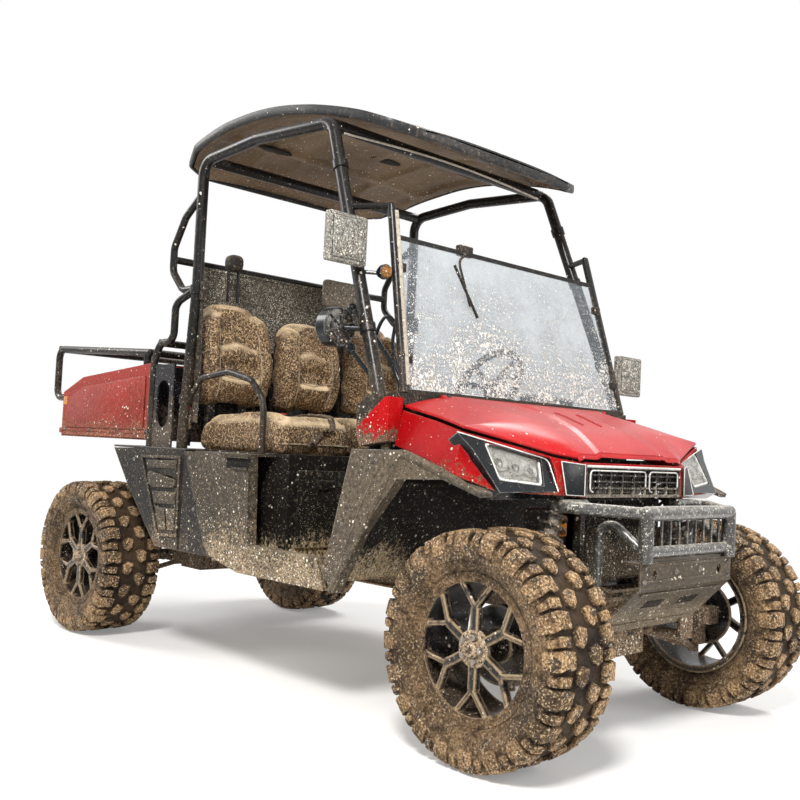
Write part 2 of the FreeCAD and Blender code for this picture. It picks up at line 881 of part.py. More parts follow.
def frame():
    half_inner = rail_centre_y - rail_width / 2
    shapes = pair(frame_side())
    rear_cross_x = rail_rear_x + cross_length / 2
    front_cross_x = rail_front_x - cross_length / 2
    cross_places = (rear_cross_x, cross_bed_x, cross_middle_x, front_cross_x)
    for cross_x in cross_places:
        shapes.append(block(cross_x - cross_length / 2, cross_x + cross_length / 2,
                            -half_inner, half_inner, rail_low_z, rail_top_z))
    sleeve_x = front_axle_x - steering_arm_length
    sleeve = along_y(sleeve_x, axle_z, -rack_sleeve_half, rack_sleeve_half, rack_sleeve_radius)
    saddle = block(sleeve_x - rack_sleeve_radius, sleeve_x + rack_sleeve_radius,
                   -rack_sleeve_half, rack_sleeve_half, axle_z, rail_top_z)
    beam = block(sleeve_x - rack_sleeve_radius, sleeve_x + rack_sleeve_radius,
                 -half_inner, half_inner, rail_top_z - rail_height / 2, rail_top_z)
    shapes.extend([sleeve, saddle, beam])
    case_top = axle_z + gear_case_height / 2
    for axle_x in (front_axle_x, rear_axle_x):
        shapes.append(block(axle_x - case_beam_length / 2, axle_x + case_beam_length / 2,
                            -half_inner, half_inner, case_top, rail_top_z))
    body = fuse(shapes)
    rack_bore = along_y(sleeve_x, axle_z, -half_inner, half_inner, rack_radius + running_fit)
    muffler_room = along_y(muffler_x, muffler_z, -muffler_half_length, muffler_half_length, muffler_radius)
    case_room = block(front_axle_x - front_case_length / 2, front_axle_x + front_case_length / 2,
                      -gear_case_width / 2, gear_case_width / 2, 0, axle_z + gear_case_height / 2)
    rod_room = [along_y(sleeve_x, axle_z, side * rack_sleeve_half, side * (rail_centre_y + rail_width),
                        rack_radius + moving_gap) for side in (-1, 1)]
    return cut(body, [rack_bore, muffler_room, case_room] + rod_room)


def belly_plate():
    return block(belly_rear_x, belly_front_x, -belly_half_width, belly_half_width,
                 rail_low_z - belly_thickness, rail_low_z)


def engine():
    return block(engine_rear_x, engine_front_x, -engine_half_width, engine_half_width,
                 rail_top_z, engine_top_z)


def muffler():
    can = along_y(muffler_x, muffler_z, -muffler_half_length, muffler_half_length, muffler_radius)
    straps = []
    for side in (-1, 1):
        centre_y = side * muffler_half_length * muffler_strap_share
        straps.append(block(muffler_x - muffler_strap / 2, muffler_x + muffler_strap / 2,
                            centre_y - muffler_strap / 2, centre_y + muffler_strap / 2,
                            rail_top_z, muffler_z))
    foot_x = rail_rear_x + cross_length / 2
    half_beam = muffler_half_length * muffler_beam_share
    beam = block(foot_x - cross_length / 2, muffler_x + muffler_strap, -half_beam, half_beam,
                 rail_top_z, rail_top_z + tower_plate)
    return fuse([can, beam] + straps)


def receiver():
    half_outer = receiver_inner / 2 + receiver_wall
    rear_x = rail_rear_x - receiver_length
    mid_z = rail_low_z + rail_height / 2
    tube = block(rear_x, rail_rear_x, -half_outer, half_outer, mid_z - half_outer, mid_z + half_outer)
    socket = block(rear_x - overrun, rail_rear_x, -receiver_inner / 2, receiver_inner / 2,
                   mid_z - receiver_inner / 2, mid_z + receiver_inner / 2)
    pin = along_y(rear_x + receiver_pin_setback, mid_z, -half_outer - overrun, half_outer + overrun,
                  receiver_pin_radius)
    return cut(tube, [socket, pin])


# Steering rack with its tie rods

def tie_rod(side):
    pin_x = front_axle_x - steering_arm_length
    eye_low = axle_z - tie_eye_height / 2
    near_x = pin_x
    far_x = pin_x + tie_slot_length
    eye = fuse([
        Part.makeCylinder(tie_eye_radius, tie_eye_height, Vector(near_x, kingpin_y, eye_low)),
        Part.makeCylinder(tie_eye_radius, tie_eye_height, Vector(far_x, kingpin_y, eye_low)),
        block(near_x, far_x, kingpin_y - tie_eye_radius, kingpin_y + tie_eye_radius,
              eye_low, eye_low + tie_eye_height)])
    room = steering_pin_radius + tie_slot_room
    slot = fuse([
        Part.makeCylinder(room, tie_eye_height + 2 * overrun, Vector(near_x, kingpin_y, eye_low - overrun)),
        Part.makeCylinder(room, tie_eye_height + 2 * overrun, Vector(far_x, kingpin_y, eye_low - overrun)),
        block(near_x, far_x, kingpin_y - room, kingpin_y + room,
              eye_low - overrun, eye_low + tie_eye_height + overrun)])
    rod_body = along_y(pin_x, axle_z, rack_sleeve_half, kingpin_y, tie_rod_radius)
    return sided(cut(fuse([eye, rod_body]), slot), side)


def steering_rack():
    pin_x = front_axle_x - steering_arm_length
    reach = rack_sleeve_half * rack_bar_share
    bar = along_y(pin_x, axle_z, -reach, reach, rack_radius)
    return fuse([bar, tie_rod(1), tie_rod(-1)])


# Floor, firewall and outer panels

def floor_tub():
    floor_low = rail_top_z
    floor_top = floor_low + floor_thickness
    floor = block(floor_rear_x, floor_front_x - floor_thickness, -floor_half_width, floor_half_width,
                  floor_low, floor_top)
    box_outer = block(floor_rear_x, seat_box_front_x, -seat_box_half_width, seat_box_half_width,
                      floor_top, seat_box_top_z)
    box_inner = block(floor_rear_x + panel_wall, seat_box_front_x - panel_wall,
                      panel_wall - seat_box_half_width, seat_box_half_width - panel_wall,
                      floor_top, seat_box_top_z - panel_wall)
    line = [(firewall_foot_x, floor_low), (firewall_knee_x, firewall_knee_z),
            (firewall_shoulder_x, firewall_shoulder_z), (firewall_shoulder_x, cowl_low_z)]
    back_line = [(x - firewall_sheet, z) for x, z in reversed(line)]
    firewall = side_plate(line + back_line, -blade_inner_y, blade_inner_y)
    return fuse([floor, cut(box_outer, box_inner), firewall])


def side_panel(side):
    outline = placed(side_panel_shares, side_panel_rear_x + panel_split, side_panel_front_x - overrun,
                     sill_low_z, side_panel_top_z)
    skin = side_plate(outline, side_inner_y, side_outer_y)
    deck_front = between(side_panel_rear_x, side_panel_front_x - overrun, side_panel_shares[1][0])
    deck = block(side_panel_rear_x + panel_split, deck_front, seat_box_half_width, side_inner_y,
                 side_panel_top_z - deck_thickness, side_panel_top_z)
    body = fuse([skin, deck])
    return sided(body, side)


def rear_fender(side):
    outline = placed(rear_fender_shares, rear_fender_rear_x, rear_fender_front_x,
                     rear_fender_low_z, deck_top_z)
    skin = side_plate(outline, side_inner_y, side_outer_y)
    panel = placed(side_panel_shares, side_panel_rear_x, side_panel_front_x - overrun,
                   sill_low_z, side_panel_top_z)
    skin = cut(skin, side_plate(panel, side_inner_y - overrun, side_outer_y + overrun))
    line = outline[0:3]
    inner_line = [(x + firewall_sheet, z) for x, z in reversed(line)]
    liner = side_plate(line + inner_line, seat_box_half_width, side_inner_y)
    deck = block(rear_fender_rear_x, side_panel_rear_x, seat_box_half_width, side_outer_y,
                 deck_top_z - deck_thickness, deck_top_z)
    recesses = []
    for row in range(recess_rows):
        top = deck_top_z - recess_top_gap - row * recess_pitch
        front = between(rear_fender_rear_x, rear_fender_front_x, recess_front_share)
        recesses.append(block(front - recess_width, front, side_outer_y - recess_depth, side_outer_y + overrun,
                              top - recess_height, top))
    body = fuse([skin, liner, deck])
    hole = bent_tube(rear_pillar_points(), cage_radius + seat_fit, cage_bend)
    floor = block(floor_rear_x, floor_front_x, 0, side_inner_y, rail_top_z, rail_top_z + floor_thickness)
    return sided(cut(body, recesses + [hole, floor]), side)


def blade_plate():
    outline = placed(blade_shares, blade_rear_x, blade_front_x, blade_low_z, blade_top_z)
    return side_plate(outline, blade_inner_y, blade_outer_y)


def front_fender(side):
    skin = blade_plate()
    top = placed(flare_shares, blade_rear_x, blade_front_x, blade_low_z, blade_top_z)
    under = [(x, z - flare_thickness) for x, z in reversed(top)]
    flare = side_plate(top + under, flare_inner_y, blade_outer_y)
    return sided(fuse([skin, flare]), side)


# Nose, hood and lamps

def nose_point(x_share, y_share, z_share):
    return Vector(between(nose_rear_x, nose_front_x, x_share), y_share * nose_half_width,
                  between(nose_low_z, nose_top_z, z_share))


def nose_side():
    sections = []
    for station, wall_share in zip(nose_station_shares, nose_wall_shares):
        x_share, crease_y, crease_z, low_y, low_z = station
        upper = nose_point(x_share, crease_y, crease_z)
        lower = nose_point(x_share, low_y, low_z)
        inward = Vector(0, wall_share * nose_wall_reach, 0)
        sections.append([upper, lower, lower.sub(inward), upper.sub(inward)])
    return loft(sections)


def lamp_prism(shares, setback, depth):
    corners = [nose_point(*share) for share in shares]
    normal = corners[1].sub(corners[0]).cross(corners[2].sub(corners[0])).normalize()
    if normal.x < 0:
        normal = normal.multiply(-1.0)
    inward = Vector(normal).multiply(-1.0)
    shifted = [corner.add(Vector(inward).multiply(setback)) for corner in corners]
    flat = [point.sub(Vector(normal).multiply(point.sub(shifted[0]).dot(normal))) for point in shifted]
    return outline_face(flat).extrude(Vector(inward).multiply(depth))


def lamp_bezel():
    hood_room = hood_volume()
    lens_room = lamp_prism(lamp_lens_shares, -overrun, lens_depth + overrun)
    bezel = cut(lamp_prism(lamp_outer_shares, 0, lamp_depth), lens_room)
    return cut(bezel, [hood_room, flare_room()])


def flare_room():
    top = placed(flare_shares, blade_rear_x, blade_front_x, blade_low_z, blade_top_z)
    under = [(x, z - overrun) for x, z in reversed(top)]
    return side_plate(top + under, flare_inner_y, blade_outer_y + overrun)


def headlamp():
    return lamp_prism(lamp_lens_shares, lens_setback, lens_depth - lens_setback)


def nose():
    one = cut(nose_side(), [lamp_prism(lamp_outer_shares, -overrun, lamp_depth + overrun),
                            flare_room(), blade_plate(), headlamp(), hood_volume(), grille_room(),
                            corner_room()])
    solids = sorted(one.Solids, key=lambda solid: solid.Volume)
    one = cut(solids[-1], frame_side())
    header_low = grille_top_z
    header = block(nose_front_x - grille_depth, nose_front_x, -grille_half_width, grille_half_width,
                   header_low, header_low + hood_thickness)
    header = cut(header, hood_volume())
    return fuse(pair(one) + [header])


def corner_room():
    return block(corner_rear_x - overrun, nose_rear_x, 0, nose_half_width + overrun, nose_low_z, nose_top_z)


def hood_section(station, lift):
    x_share, centre_z, ridge_y, ridge_z, crease_y, crease_z = station
    rise = Vector(0, 0, lift)
    half = [nose_point(x_share, crease_y, crease_z), nose_point(x_share, ridge_y, ridge_z)]
    centre = nose_point(x_share, 0, centre_z)
    upper = half + [centre] + [Vector(point.x, -point.y, point.z) for point in reversed(half)]
    return [point.add(rise) for point in upper]


def hood_shell(outer_lift, inner_lift):
    sections = []
    for station in hood_station_shares:
        upper = hood_section(station, outer_lift)
        lower = hood_section(station, inner_lift)
        sections.append(upper + list(reversed(lower)))
    return loft(sections)


def hood_volume():
    return hood_shell(overrun * 2, hood_range_lift - hood_thickness - moving_gap)


def hood_axis():
    return Vector(nose_rear_x, 0, nose_top_z - hood_axis_drop)


def hood():
    axis = hood_axis()
    pieces = [hood_shell(hood_range_lift, hood_range_lift - hood_thickness)]
    notches = []
    pins = []
    for side in (-1, 1):
        centre_y = side * hood_hinge_y
        half_pin = hood_pin_length / 2
        half_notch = hood_eye_width / 2 + moving_gap
        pieces.append(along_y(axis.x, axis.z, centre_y - half_pin, centre_y + half_pin, hood_eye_radius))
        notches.append(block(axis.x - overrun, axis.x + hood_eye_radius + moving_gap,
                             centre_y - half_notch, centre_y + half_notch,
                             axis.z - overrun, axis.z + overrun))
        pins.append(along_y(axis.x, axis.z, centre_y - half_pin, centre_y + half_pin, hood_pin_radius))
    return fuse([cut(fuse(pieces), notches)] + pins)


def grille_room():
    return block(nose_front_x - grille_room_depth, nose_front_x + overrun,
                 -grille_half_width, grille_half_width, grille_low_z - overrun, grille_top_z)


def grille():
    front = nose_front_x
    back = nose_front_x - grille_depth
    plate = block(back, front, -grille_half_width, grille_half_width, grille_low_z, grille_top_z)
    inner_half = grille_half_width - grille_border
    inner_low = grille_low_z + grille_border
    inner_top = grille_top_z - grille_border
    window = block(back - overrun, front + overrun, -inner_half, inner_half, inner_low, inner_top)
    bars = []
    pitch = 2 * inner_half / (grille_bars + 1)
    for index in range(grille_bars):
        centre = pitch * (index + 1) - inner_half
        bars.append(block(back, front - grille_bar, centre - grille_bar / 2, centre + grille_bar / 2,
                          inner_low, inner_top))
    for level in range(1, grille_levels + 1):
        centre = between(inner_low, inner_top, level / (grille_levels + 1))
        bars.append(block(back, front - grille_bar, -inner_half, inner_half,
                          centre - grille_bar / 2, centre + grille_bar / 2))
    stays = []
    for side in (-1, 1):
        centre = side * (rail_centre_y - rail_width / 2 + tower_leg / 2)
        stays.append(block(front_axle_x + tower_reach, back,
                           centre - tower_leg / 2, centre + tower_leg / 2,
                           grille_low_z, grille_top_z - grille_stay_drop))
    return fuse([cut(plate, window)] + bars + stays)


def radiator():
    half = rail_centre_y - rail_width / 2
    return block(radiator_x - radiator_depth, radiator_x, -half, half, radiator_low_z, radiator_top_z)


# Bumper and skid plate

def bumper(frame_pair):
    bar_x = bumper_reach - bumper_radius
    low_x = bar_x - bumper_radius + bumper_low_bar_radius
    shapes = [rod(Vector(bar_x, -bumper_post_y, bumper_bar_z), Vector(bar_x, bumper_post_y, bumper_bar_z),
                  bumper_radius)]
    shapes.append(rod(Vector(low_x, -bumper_post_y, bumper_low_bar_z),
                      Vector(low_x, bumper_post_y, bumper_low_bar_z), bumper_low_bar_radius))
    for side in (-1, 1):
        corner = Vector(bar_x, side * bumper_post_y, bumper_bar_z)
        foot = Vector(bar_x, side * bumper_post_y, skid_top_z)
        wing = Vector(bumper_side_x, side * bumper_side_y, bumper_side_z)
        tower_side = Vector(bumper_side_x, side * rail_centre_y, bumper_side_z)
        stay_top = Vector(bumper_stay_x, side * rail_centre_y, bumper_bar_z)
        stay_foot = Vector(bumper_stay_x, side * rail_centre_y, rail_top_z)
        low_corner = Vector(low_x, side * bumper_post_y, bumper_low_bar_z)
        shapes.append(rod(corner, foot, bumper_radius))
        shapes.append(ball(corner, bumper_radius))
        shapes.append(bent_tube([corner, wing, tower_side], bumper_side_radius, bumper_bend))
        shapes.append(bent_tube([low_corner, stay_top, stay_foot], bumper_stay_radius, bumper_bend))
    pitch = 2 * bumper_post_y / (guard_bars + 1)
    for index in range(guard_bars):
        centre = pitch * (index + 1) - bumper_post_y
        shapes.append(block(low_x - guard_bar_width, low_x, centre - guard_bar_width / 2,
                            centre + guard_bar_width / 2, bumper_low_bar_z, bumper_bar_z))
    return cut(fuse(shapes), frame_pair)


def skid_plate(frame_pair):
    face_x = bumper_reach - bumper_radius
    line = [(face_x, skid_top_z), (face_x, skid_bend_z), (skid_low_x, skid_low_z),
            (skid_low_x - skid_lip, skid_low_z)]
    inner = [(face_x - skid_lip, skid_top_z), (face_x - skid_lip, skid_top_z - skid_sheet),
             (face_x - skid_sheet, skid_top_z - skid_sheet),
             (face_x - skid_sheet, skid_bend_z + skid_sheet / 2),
             (skid_low_x - skid_sheet / 2, skid_low_z + skid_sheet),
             (skid_low_x - skid_lip, skid_low_z + skid_sheet)]
    plate = side_plate(line + list(reversed(inner)), -skid_half_width, skid_half_width)
    holes = []
    for side in (-1, 1):
        centre = Vector(face_x - overrun, side * skid_hole_y, (skid_top_z + skid_bend_z) / 2)
        holes.append(rod(centre, Vector(face_x + overrun, centre.y, centre.z), skid_hole_radius))
    stays = []
    for side in (-1, 1):
        stay_y = side * (rail_centre_y - rail_width / 4)
        stays.append(block(skid_low_x - skid_lip, skid_low_x - skid_lip + skid_sheet,
                           stay_y - skid_sheet, stay_y + skid_sheet, skid_low_z, rail_low_z))
    return cut(fuse([cut(plate, holes)] + stays), frame_pair)


# Roll cage and roof

def front_pillar_points():
    return [Vector(cage_front_x, cage_half_width, cage_top_z),
            Vector(pillar_base_x, pillar_base_y, pillar_base_z),
            Vector(pillar_knee_x, pillar_foot_y, pillar_knee_z),
            Vector(pillar_foot_x, pillar_foot_y, rail_top_z + floor_thickness)]


def rear_pillar_points():
    return [Vector(cage_rear_x, cage_half_width, cage_top_z),
            Vector(cage_rear_x, cage_half_width, rear_joint_z),
            Vector(rear_knee_x, rear_knee_y, rear_knee_z),
            Vector(rear_knee_x, rear_knee_y, rail_top_z + floor_thickness)]


def roof_rail_points():
    middle = between(cage_rear_x, cage_front_x, cage_crown_share)
    return [Vector(cage_rear_x, cage_half_width, cage_top_z),
            Vector(middle, cage_half_width, cage_top_z + cage_crown),
            Vector(cage_front_x, cage_half_width, cage_top_z)]


def bow_points():
    bow_x = cage_rear_x - bow_reach
    return [Vector(cage_rear_x, cage_half_width, bow_top_z),
            Vector(cage_rear_x - bow_reach * bow_top_share, cage_half_width,
                   between(bow_high_z, bow_top_z, bow_top_rise_share)),
            Vector(bow_x, cage_half_width, bow_high_z),
            Vector(bow_x, cage_half_width, bow_low_z),
            Vector(cage_rear_x - bow_reach * bow_low_share, cage_half_width, rear_joint_z),
            Vector(cage_rear_x, cage_half_width, rear_joint_z)]


def hoop_points():
    return [Vector(cage_rear_x, cage_half_width, rear_joint_z),
            Vector(hoop_front_x, hoop_y, hoop_shoulder_z),
            Vector(hoop_front_x, hoop_y, hoop_bar_z),
            Vector(hoop_rear_x + hoop_corner, hoop_y, hoop_bar_z),
            Vector(hoop_rear_x, hoop_y, hoop_bar_z - hoop_drop),
            Vector(hoop_rear_x, hoop_y, deck_top_z)]


def hip_points():
    hip = [Vector(rear_knee_x, hip_y, hip_start_z)]
    for along_share, rise_share in hip_shares:
        hip.append(Vector(between(rear_knee_x, hip_front_x, along_share), hip_y,
                          between(seat_box_top_z, hip_top_z, rise_share)))
    hip.append(Vector(hip_front_x, hip_y, between(seat_box_top_z, hip_top_z, hip_front_share)))
    hip.append(Vector(hip_front_x, hip_y, side_panel_top_z))
    return hip


def roll_cage():
    front = list(reversed(front_pillar_points()))[:-1]
    top = list(reversed(roof_rail_points()))
    main_loop = front + top + rear_pillar_points()[1:]
    shapes = pair(bent_tube(main_loop, cage_radius, cage_bend))
    for bar_x in (cage_front_x - cage_bar_inset, cage_rear_x + cage_bar_inset):
        shapes.append(along_y(bar_x, cage_top_z, -cage_half_width, cage_half_width, cage_radius))
    floor = block(floor_rear_x, floor_front_x, -floor_half_width, floor_half_width,
                  rail_top_z, rail_top_z + floor_thickness)
    return cut(fuse(shapes), floor)


def cage_bows(cage):
    bar_z = between(bow_low_z, bow_high_z, bow_bar_share)
    shapes = pair(bent_tube(bow_points(), bow_radius, bow_bend))
    bow_x = cage_rear_x - bow_reach
    shapes.append(along_y(bow_x, bar_z, -cage_half_width, cage_half_width, bow_radius))
    return cut(fuse(shapes), cage)


def cage_hoops(cage, bows):
    shapes = pair(bent_tube(hoop_points(), bow_radius, bow_bend))
    bow_x = cage_rear_x - bow_reach
    shapes.append(along_y(bow_x, hoop_bar_z, -hoop_y, hoop_y, bow_radius))
    return cut(fuse(shapes), [cage, bows])


def hip_rails(cage):
    return group(pair(cut(bent_tube(hip_points(), hip_radius, hip_bend), cage)))


def roof_strip(top_drop, low_drop, y_half):
    arch = placed(roof_arch_shares, roof_rear_x, roof_front_x, roof_low_z, roof_low_z + roof_rise)
    top = [Vector(x, -y_half, z - top_drop) for x, z in arch]
    low = [Vector(x, -y_half, z - low_drop) for x, z in reversed(arch)]
    top_curve = Part.BSplineCurve()
    top_curve.interpolate(top)
    low_curve = Part.BSplineCurve()
    low_curve.interpolate(low)
    rear = Part.LineSegment(low[-1], top[0])
    front = Part.LineSegment(top[-1], low[0])
    wire = Part.Wire([top_curve.toShape(), front.toShape(), low_curve.toShape(), rear.toShape()])
    return Part.Face(wire).extrude(Vector(0, 2 * y_half, 0))


def roof_prism(inset):
    near = []
    far = []
    for x_share, y_share in roof_plan_shares:
        x = between(roof_rear_x + inset, roof_front_x - inset, x_share)
        y = y_share * roof_half_width - inset
        near.append((x, -y))
        far.append((x, y))
    outline = near + list(reversed(far))
    return plan_plate(outline, roof_low_z - roof_rim - overrun, roof_low_z + roof_rise + overrun)


def roof_feet():
    feet = []
    for x_place in (cage_rear_x + cage_bar_inset, cage_front_x - cage_bar_inset):
        for side in (-1, 1):
            centre_y = side * cage_half_width * roof_corner_share
            feet.append(block(x_place - roof_pad_height / 2, x_place + roof_pad_height / 2,
                              centre_y - roof_pad_height, centre_y + roof_pad_height,
                              cage_top_z, roof_low_z + roof_rise))
    return feet


def roof(cage):
    outer = roof_strip(0, roof_rim, roof_half_width + overrun).common(roof_prism(0))
    hollow = roof_strip(roof_skin, roof_rim + overrun * 2, roof_half_width + overrun).common(
        roof_prism(roof_rim_wall))
    under = roof_strip(0, roof_rim + overrun * 3, roof_half_width + overrun).common(roof_prism(roof_rim_wall))
    feet = [foot.common(under) for foot in roof_feet()]
    shell = fuse([cut(outer, hollow)] + feet)
    return cut(shell, cage)


# Windshield

def glass_x(height):
    return between(glass_low_x, glass_top_x, (height - glass_low_z) / (glass_top_z - glass_low_z))


def glass_half(height):
    return between(glass_low_half, glass_top_half, (height - glass_low_z) / (glass_top_z - glass_low_z))


def windshield():
    sections = []
    for height in (glass_low_z, glass_top_z):
        front = glass_x(height)
        half = glass_half(height)
        sections.append([Vector(front, -half, height), Vector(front, half, height),
                         Vector(front - glass_thickness, half, height),
                         Vector(front - glass_thickness, -half, height)])
    return loft(sections)


def windshield_frame(cage):
    foot_z = cowl_top()
    shapes = []
    centre_shift = glass_thickness / 2
    tops = []
    feet = []
    for side in (-1, 1):
        reach = upright_tube_radius + seat_fit
        foot = Vector(glass_x(foot_z) - centre_shift, side * (glass_half(foot_z) + reach), foot_z)
        top = Vector(glass_x(upright_top_z) - centre_shift, side * (glass_half(upright_top_z) + reach),
                     upright_top_z)
        tops.append(top)
        feet.append(foot)
        shapes.append(rod(foot.sub(Vector(0, 0, upright_tube_radius)), foot, upright_tube_radius))
        shapes.append(rod(foot, top, upright_tube_radius))
        shapes.append(ball(top, upright_tube_radius))
        share = (cage_top_z - upright_top_z) / (cage_top_z - pillar_base_z)
        pillar = Vector(between(cage_front_x, pillar_base_x, share),
                        side * between(cage_half_width, pillar_base_y, share), upright_top_z)
        shapes.append(rod(top, pillar, upright_brace_radius))
    for height in (glass_low_z - glass_trim / 2 - seat_fit, glass_top_z + glass_trim / 2 + seat_fit):
        centre_x = glass_x(height) - centre_shift
        half = glass_half(height)
        shapes.append(block(centre_x - glass_trim / 2, centre_x + glass_trim / 2, -half - reach, half + reach,
                            height - glass_trim / 2, height + glass_trim / 2))
    body = fuse(shapes)
    seat = block(cowl_rear_x - overrun, nose_rear_x + overrun, -cowl_half_width, cowl_half_width,
                 cowl_low_z, foot_z)
    return cut(body, [cage, seat])


def cowl_top():
    return glass_low_z - glass_trim - seat_fit


def cowl():
    front = nose_rear_x - cowl_seam - moving_gap
    axis = hood_axis()
    pieces = [block(cowl_rear_x, front, -cowl_half_width, cowl_half_width, cowl_low_z, cowl_top())]
    for side in (-1, 1):
        low_y = side * hood_hinge_y - hood_eye_width / 2
        high_y = side * hood_hinge_y + hood_eye_width / 2
        pieces.append(along_y(axis.x, axis.z, low_y, high_y, hood_eye_radius))
        pieces.append(block(front, axis.x, low_y, high_y, axis.z - hood_eye_radius, axis.z))
    bore = along_y(axis.x, axis.z, -cowl_half_width, cowl_half_width, hood_pin_radius + running_fit)
    return cut(fuse(pieces), bore)


def cowl_corner(side, cage):
    outline = placed(corner_shares, corner_rear_x, corner_front_x, corner_low_z, corner_top_z)
    skin = side_plate(outline, cowl_half_width, side_outer_y + 2 * running_fit)
    room = bent_tube(front_pillar_points(), cage_radius + seat_fit, cage_bend)
    firewall = block(firewall_shoulder_x - firewall_sheet, firewall_shoulder_x, 0, blade_inner_y,
                     corner_low_z - overrun, cowl_low_z)
    return sided(cut(skin, [room, firewall, blade_plate()]), side)


def dash():
    outline = placed(dash_shares, dash_rear_x, cowl_rear_x, dash_low_z, dash_top_z)
    body = side_plate(outline, -dash_half_width, dash_half_width)
    hub = Vector(wheel_x, wheel_y, wheel_z)
    along = column_axis()
    start = hub.add(Vector(along).multiply(steering_hub_length + moving_gap))
    reach = (between(dash_rear_x, cowl_rear_x, column_end_share) - wheel_x) / along.x
    end = hub.add(Vector(along).multiply(reach))
    column = rod(start, end, column_radius)
    bore = rod(hub, hub.add(Vector(along).multiply(steering_shaft_length + moving_gap)),
               steering_shaft_radius + running_fit)
    return cut(fuse([body, column]), bore)


def column_axis():
    tilt = math.radians(column_tilt_deg)
    return Vector(math.cos(tilt), 0, -math.sin(tilt))


def steering_wheel():
    hub = Vector(wheel_x, wheel_y, wheel_z)
    along = column_axis()
    ring = Part.makeTorus(steering_wheel_radius, steering_rim_radius, hub, along)
    shapes = [ring, rod(hub, hub.add(Vector(along).multiply(steering_hub_length)), steering_hub_radius)]
    shapes.append(rod(hub, hub.add(Vector(along).multiply(steering_shaft_length)), steering_shaft_radius))
    up = Vector(math.sin(math.radians(column_tilt_deg)), 0, math.cos(math.radians(column_tilt_deg)))
    across = Vector(0, 1, 0)
    root = hub.add(Vector(along).multiply(steering_hub_length / 2))
    for index in range(steering_spokes):
        angle = math.radians(360.0 * index / steering_spokes + 180.0)
        aim = Vector(up).multiply(math.cos(angle)).add(Vector(across).multiply(math.sin(angle)))
        tip = hub.add(aim.multiply(steering_wheel_radius))
        shapes.append(rod(root, tip, steering_spoke_radius))
    return fuse(shapes)


# Seats

def rounded_edges(shape, radius):
    return shape.makeFillet(radius, shape.Edges)


def cushion(y_low, y_high):
    base = seat_box_top_z + seat_fit
    body = block(cushion_rear_x, cushion_front_x, y_low, y_high, base, base + cushion_thickness)
    return rounded_edges(body, cushion_round)


def seat_back(y_low, y_high):
    outline = placed(seat_back_shares, seat_back_rear_x, seat_back_front_x,
                     seat_box_top_z + seat_fit, seat_back_top_z)
    body = side_plate(outline, y_low, y_high)
    ends = [edge for edge in body.Edges if edge.BoundBox.YLength < running_fit]
    return body.makeFillet(seat_back_round, ends)


def seat_cushions():
    return group([cushion(-seat_outer_y, right_seat_inner_y), cushion(left_seat_inner_y, seat_outer_y)])


def seat_backs():
    return group([seat_back(-seat_outer_y, right_seat_inner_y), seat_back(left_seat_inner_y, seat_outer_y)])


def headrest_posts(centre_y, low_z, high_z):
    posts = []
    for side in (-1, 1):
        foot = Vector(headrest_x, centre_y + side * headrest_post_half, low_z)
        posts.append(Part.makeCylinder(headrest_post_radius, high_z - low_z, foot))
    return posts


def headrests():
    foot_z = seat_back_top_z + seat_fit
    knob = ball(Vector(headrest_x, right_headrest_y, right_headrest_z), right_headrest_radius)
    right = fuse([knob] + headrest_posts(right_headrest_y, foot_z, right_headrest_z))
    pad_low = left_headrest_z - left_headrest_height / 2
    pad = block(headrest_x - left_headrest_depth / 2, headrest_x + left_headrest_depth / 2,
                left_headrest_y - left_headrest_width / 2, left_headrest_y + left_headrest_width / 2,
                pad_low, pad_low + left_headrest_height)
    pad = rounded_edges(pad, left_headrest_round)
    left = fuse([pad] + headrest_posts(left_headrest_y, foot_z, left_headrest_z))
    return group([cut(right, seat_backs()), cut(left, seat_backs())])


def rear_screen():
    back_x = cage_rear_x - bow_reach + bow_radius
    return block(back_x, back_x + screen_sheet, -screen_half_width, screen_half_width,
                 screen_low_z - bow_radius, screen_top_z + bow_radius)


def quarter_panel():
    rear_x = hoop_rear_x + bow_radius
    low_y = hoop_y - quarter_sheet / 2
    high_y = hoop_y + quarter_sheet / 2
    plate = block(rear_x, quarter_front_x, low_y, high_y, deck_top_z, quarter_top_z)
    centre_x = (rear_x + quarter_front_x) / 2
    half_hole = quarter_hole_width / 2
    low_hole = quarter_hole_z - quarter_hole_height / 2
    high_hole = quarter_hole_z + quarter_hole_height / 2
    hole = fuse([
        along_y(centre_x, low_hole + half_hole, low_y - overrun, high_y + overrun, half_hole),
        along_y(centre_x, high_hole - half_hole, low_y - overrun, high_y + overrun, half_hole),
        block(centre_x - half_hole, centre_x + half_hole, low_y - overrun, high_y + overrun,
              low_hole + half_hole, high_hole - half_hole)])
    return cut(plate, hole)


# Mirrors and the round lamp

def pillar_point(height, side):
    share = (cage_top_z - height) / (cage_top_z - pillar_base_z)
    return Vector(between(cage_front_x, pillar_base_x, share),
                  side * between(cage_half_width, pillar_base_y, share), height)


def mirror(centre_x, centre_z, side, cage):
    outer = half_width_mirrors
    inner = outer - mirror_width
    body = block(centre_x - mirror_depth / 2, centre_x + mirror_depth / 2, inner, outer,
                 centre_z - mirror_height / 2, centre_z + mirror_height / 2)
    body = sided(rounded_edges(body, mirror_round), side)
    post = pillar_point(centre_z, side)
    arm_rod = rod(post, Vector(centre_x, side * (inner + mirror_arm_end), centre_z), mirror_arm_radius)
    return cut(fuse([body, arm_rod]), cage)


def round_lamp(cage):
    front = Vector(round_lamp_x + round_lamp_depth / 2, round_lamp_y, round_lamp_z)
    back = Vector(round_lamp_x - round_lamp_depth / 2, round_lamp_y, round_lamp_z)
    can = rod(back, front, round_lamp_radius)
    stay = rod(Vector(round_lamp_x, round_lamp_y, round_lamp_z), pillar_point(round_lamp_z, -1),
               mirror_arm_radius)
    return cut(fuse([can, stay]), cage)


# Cargo bed

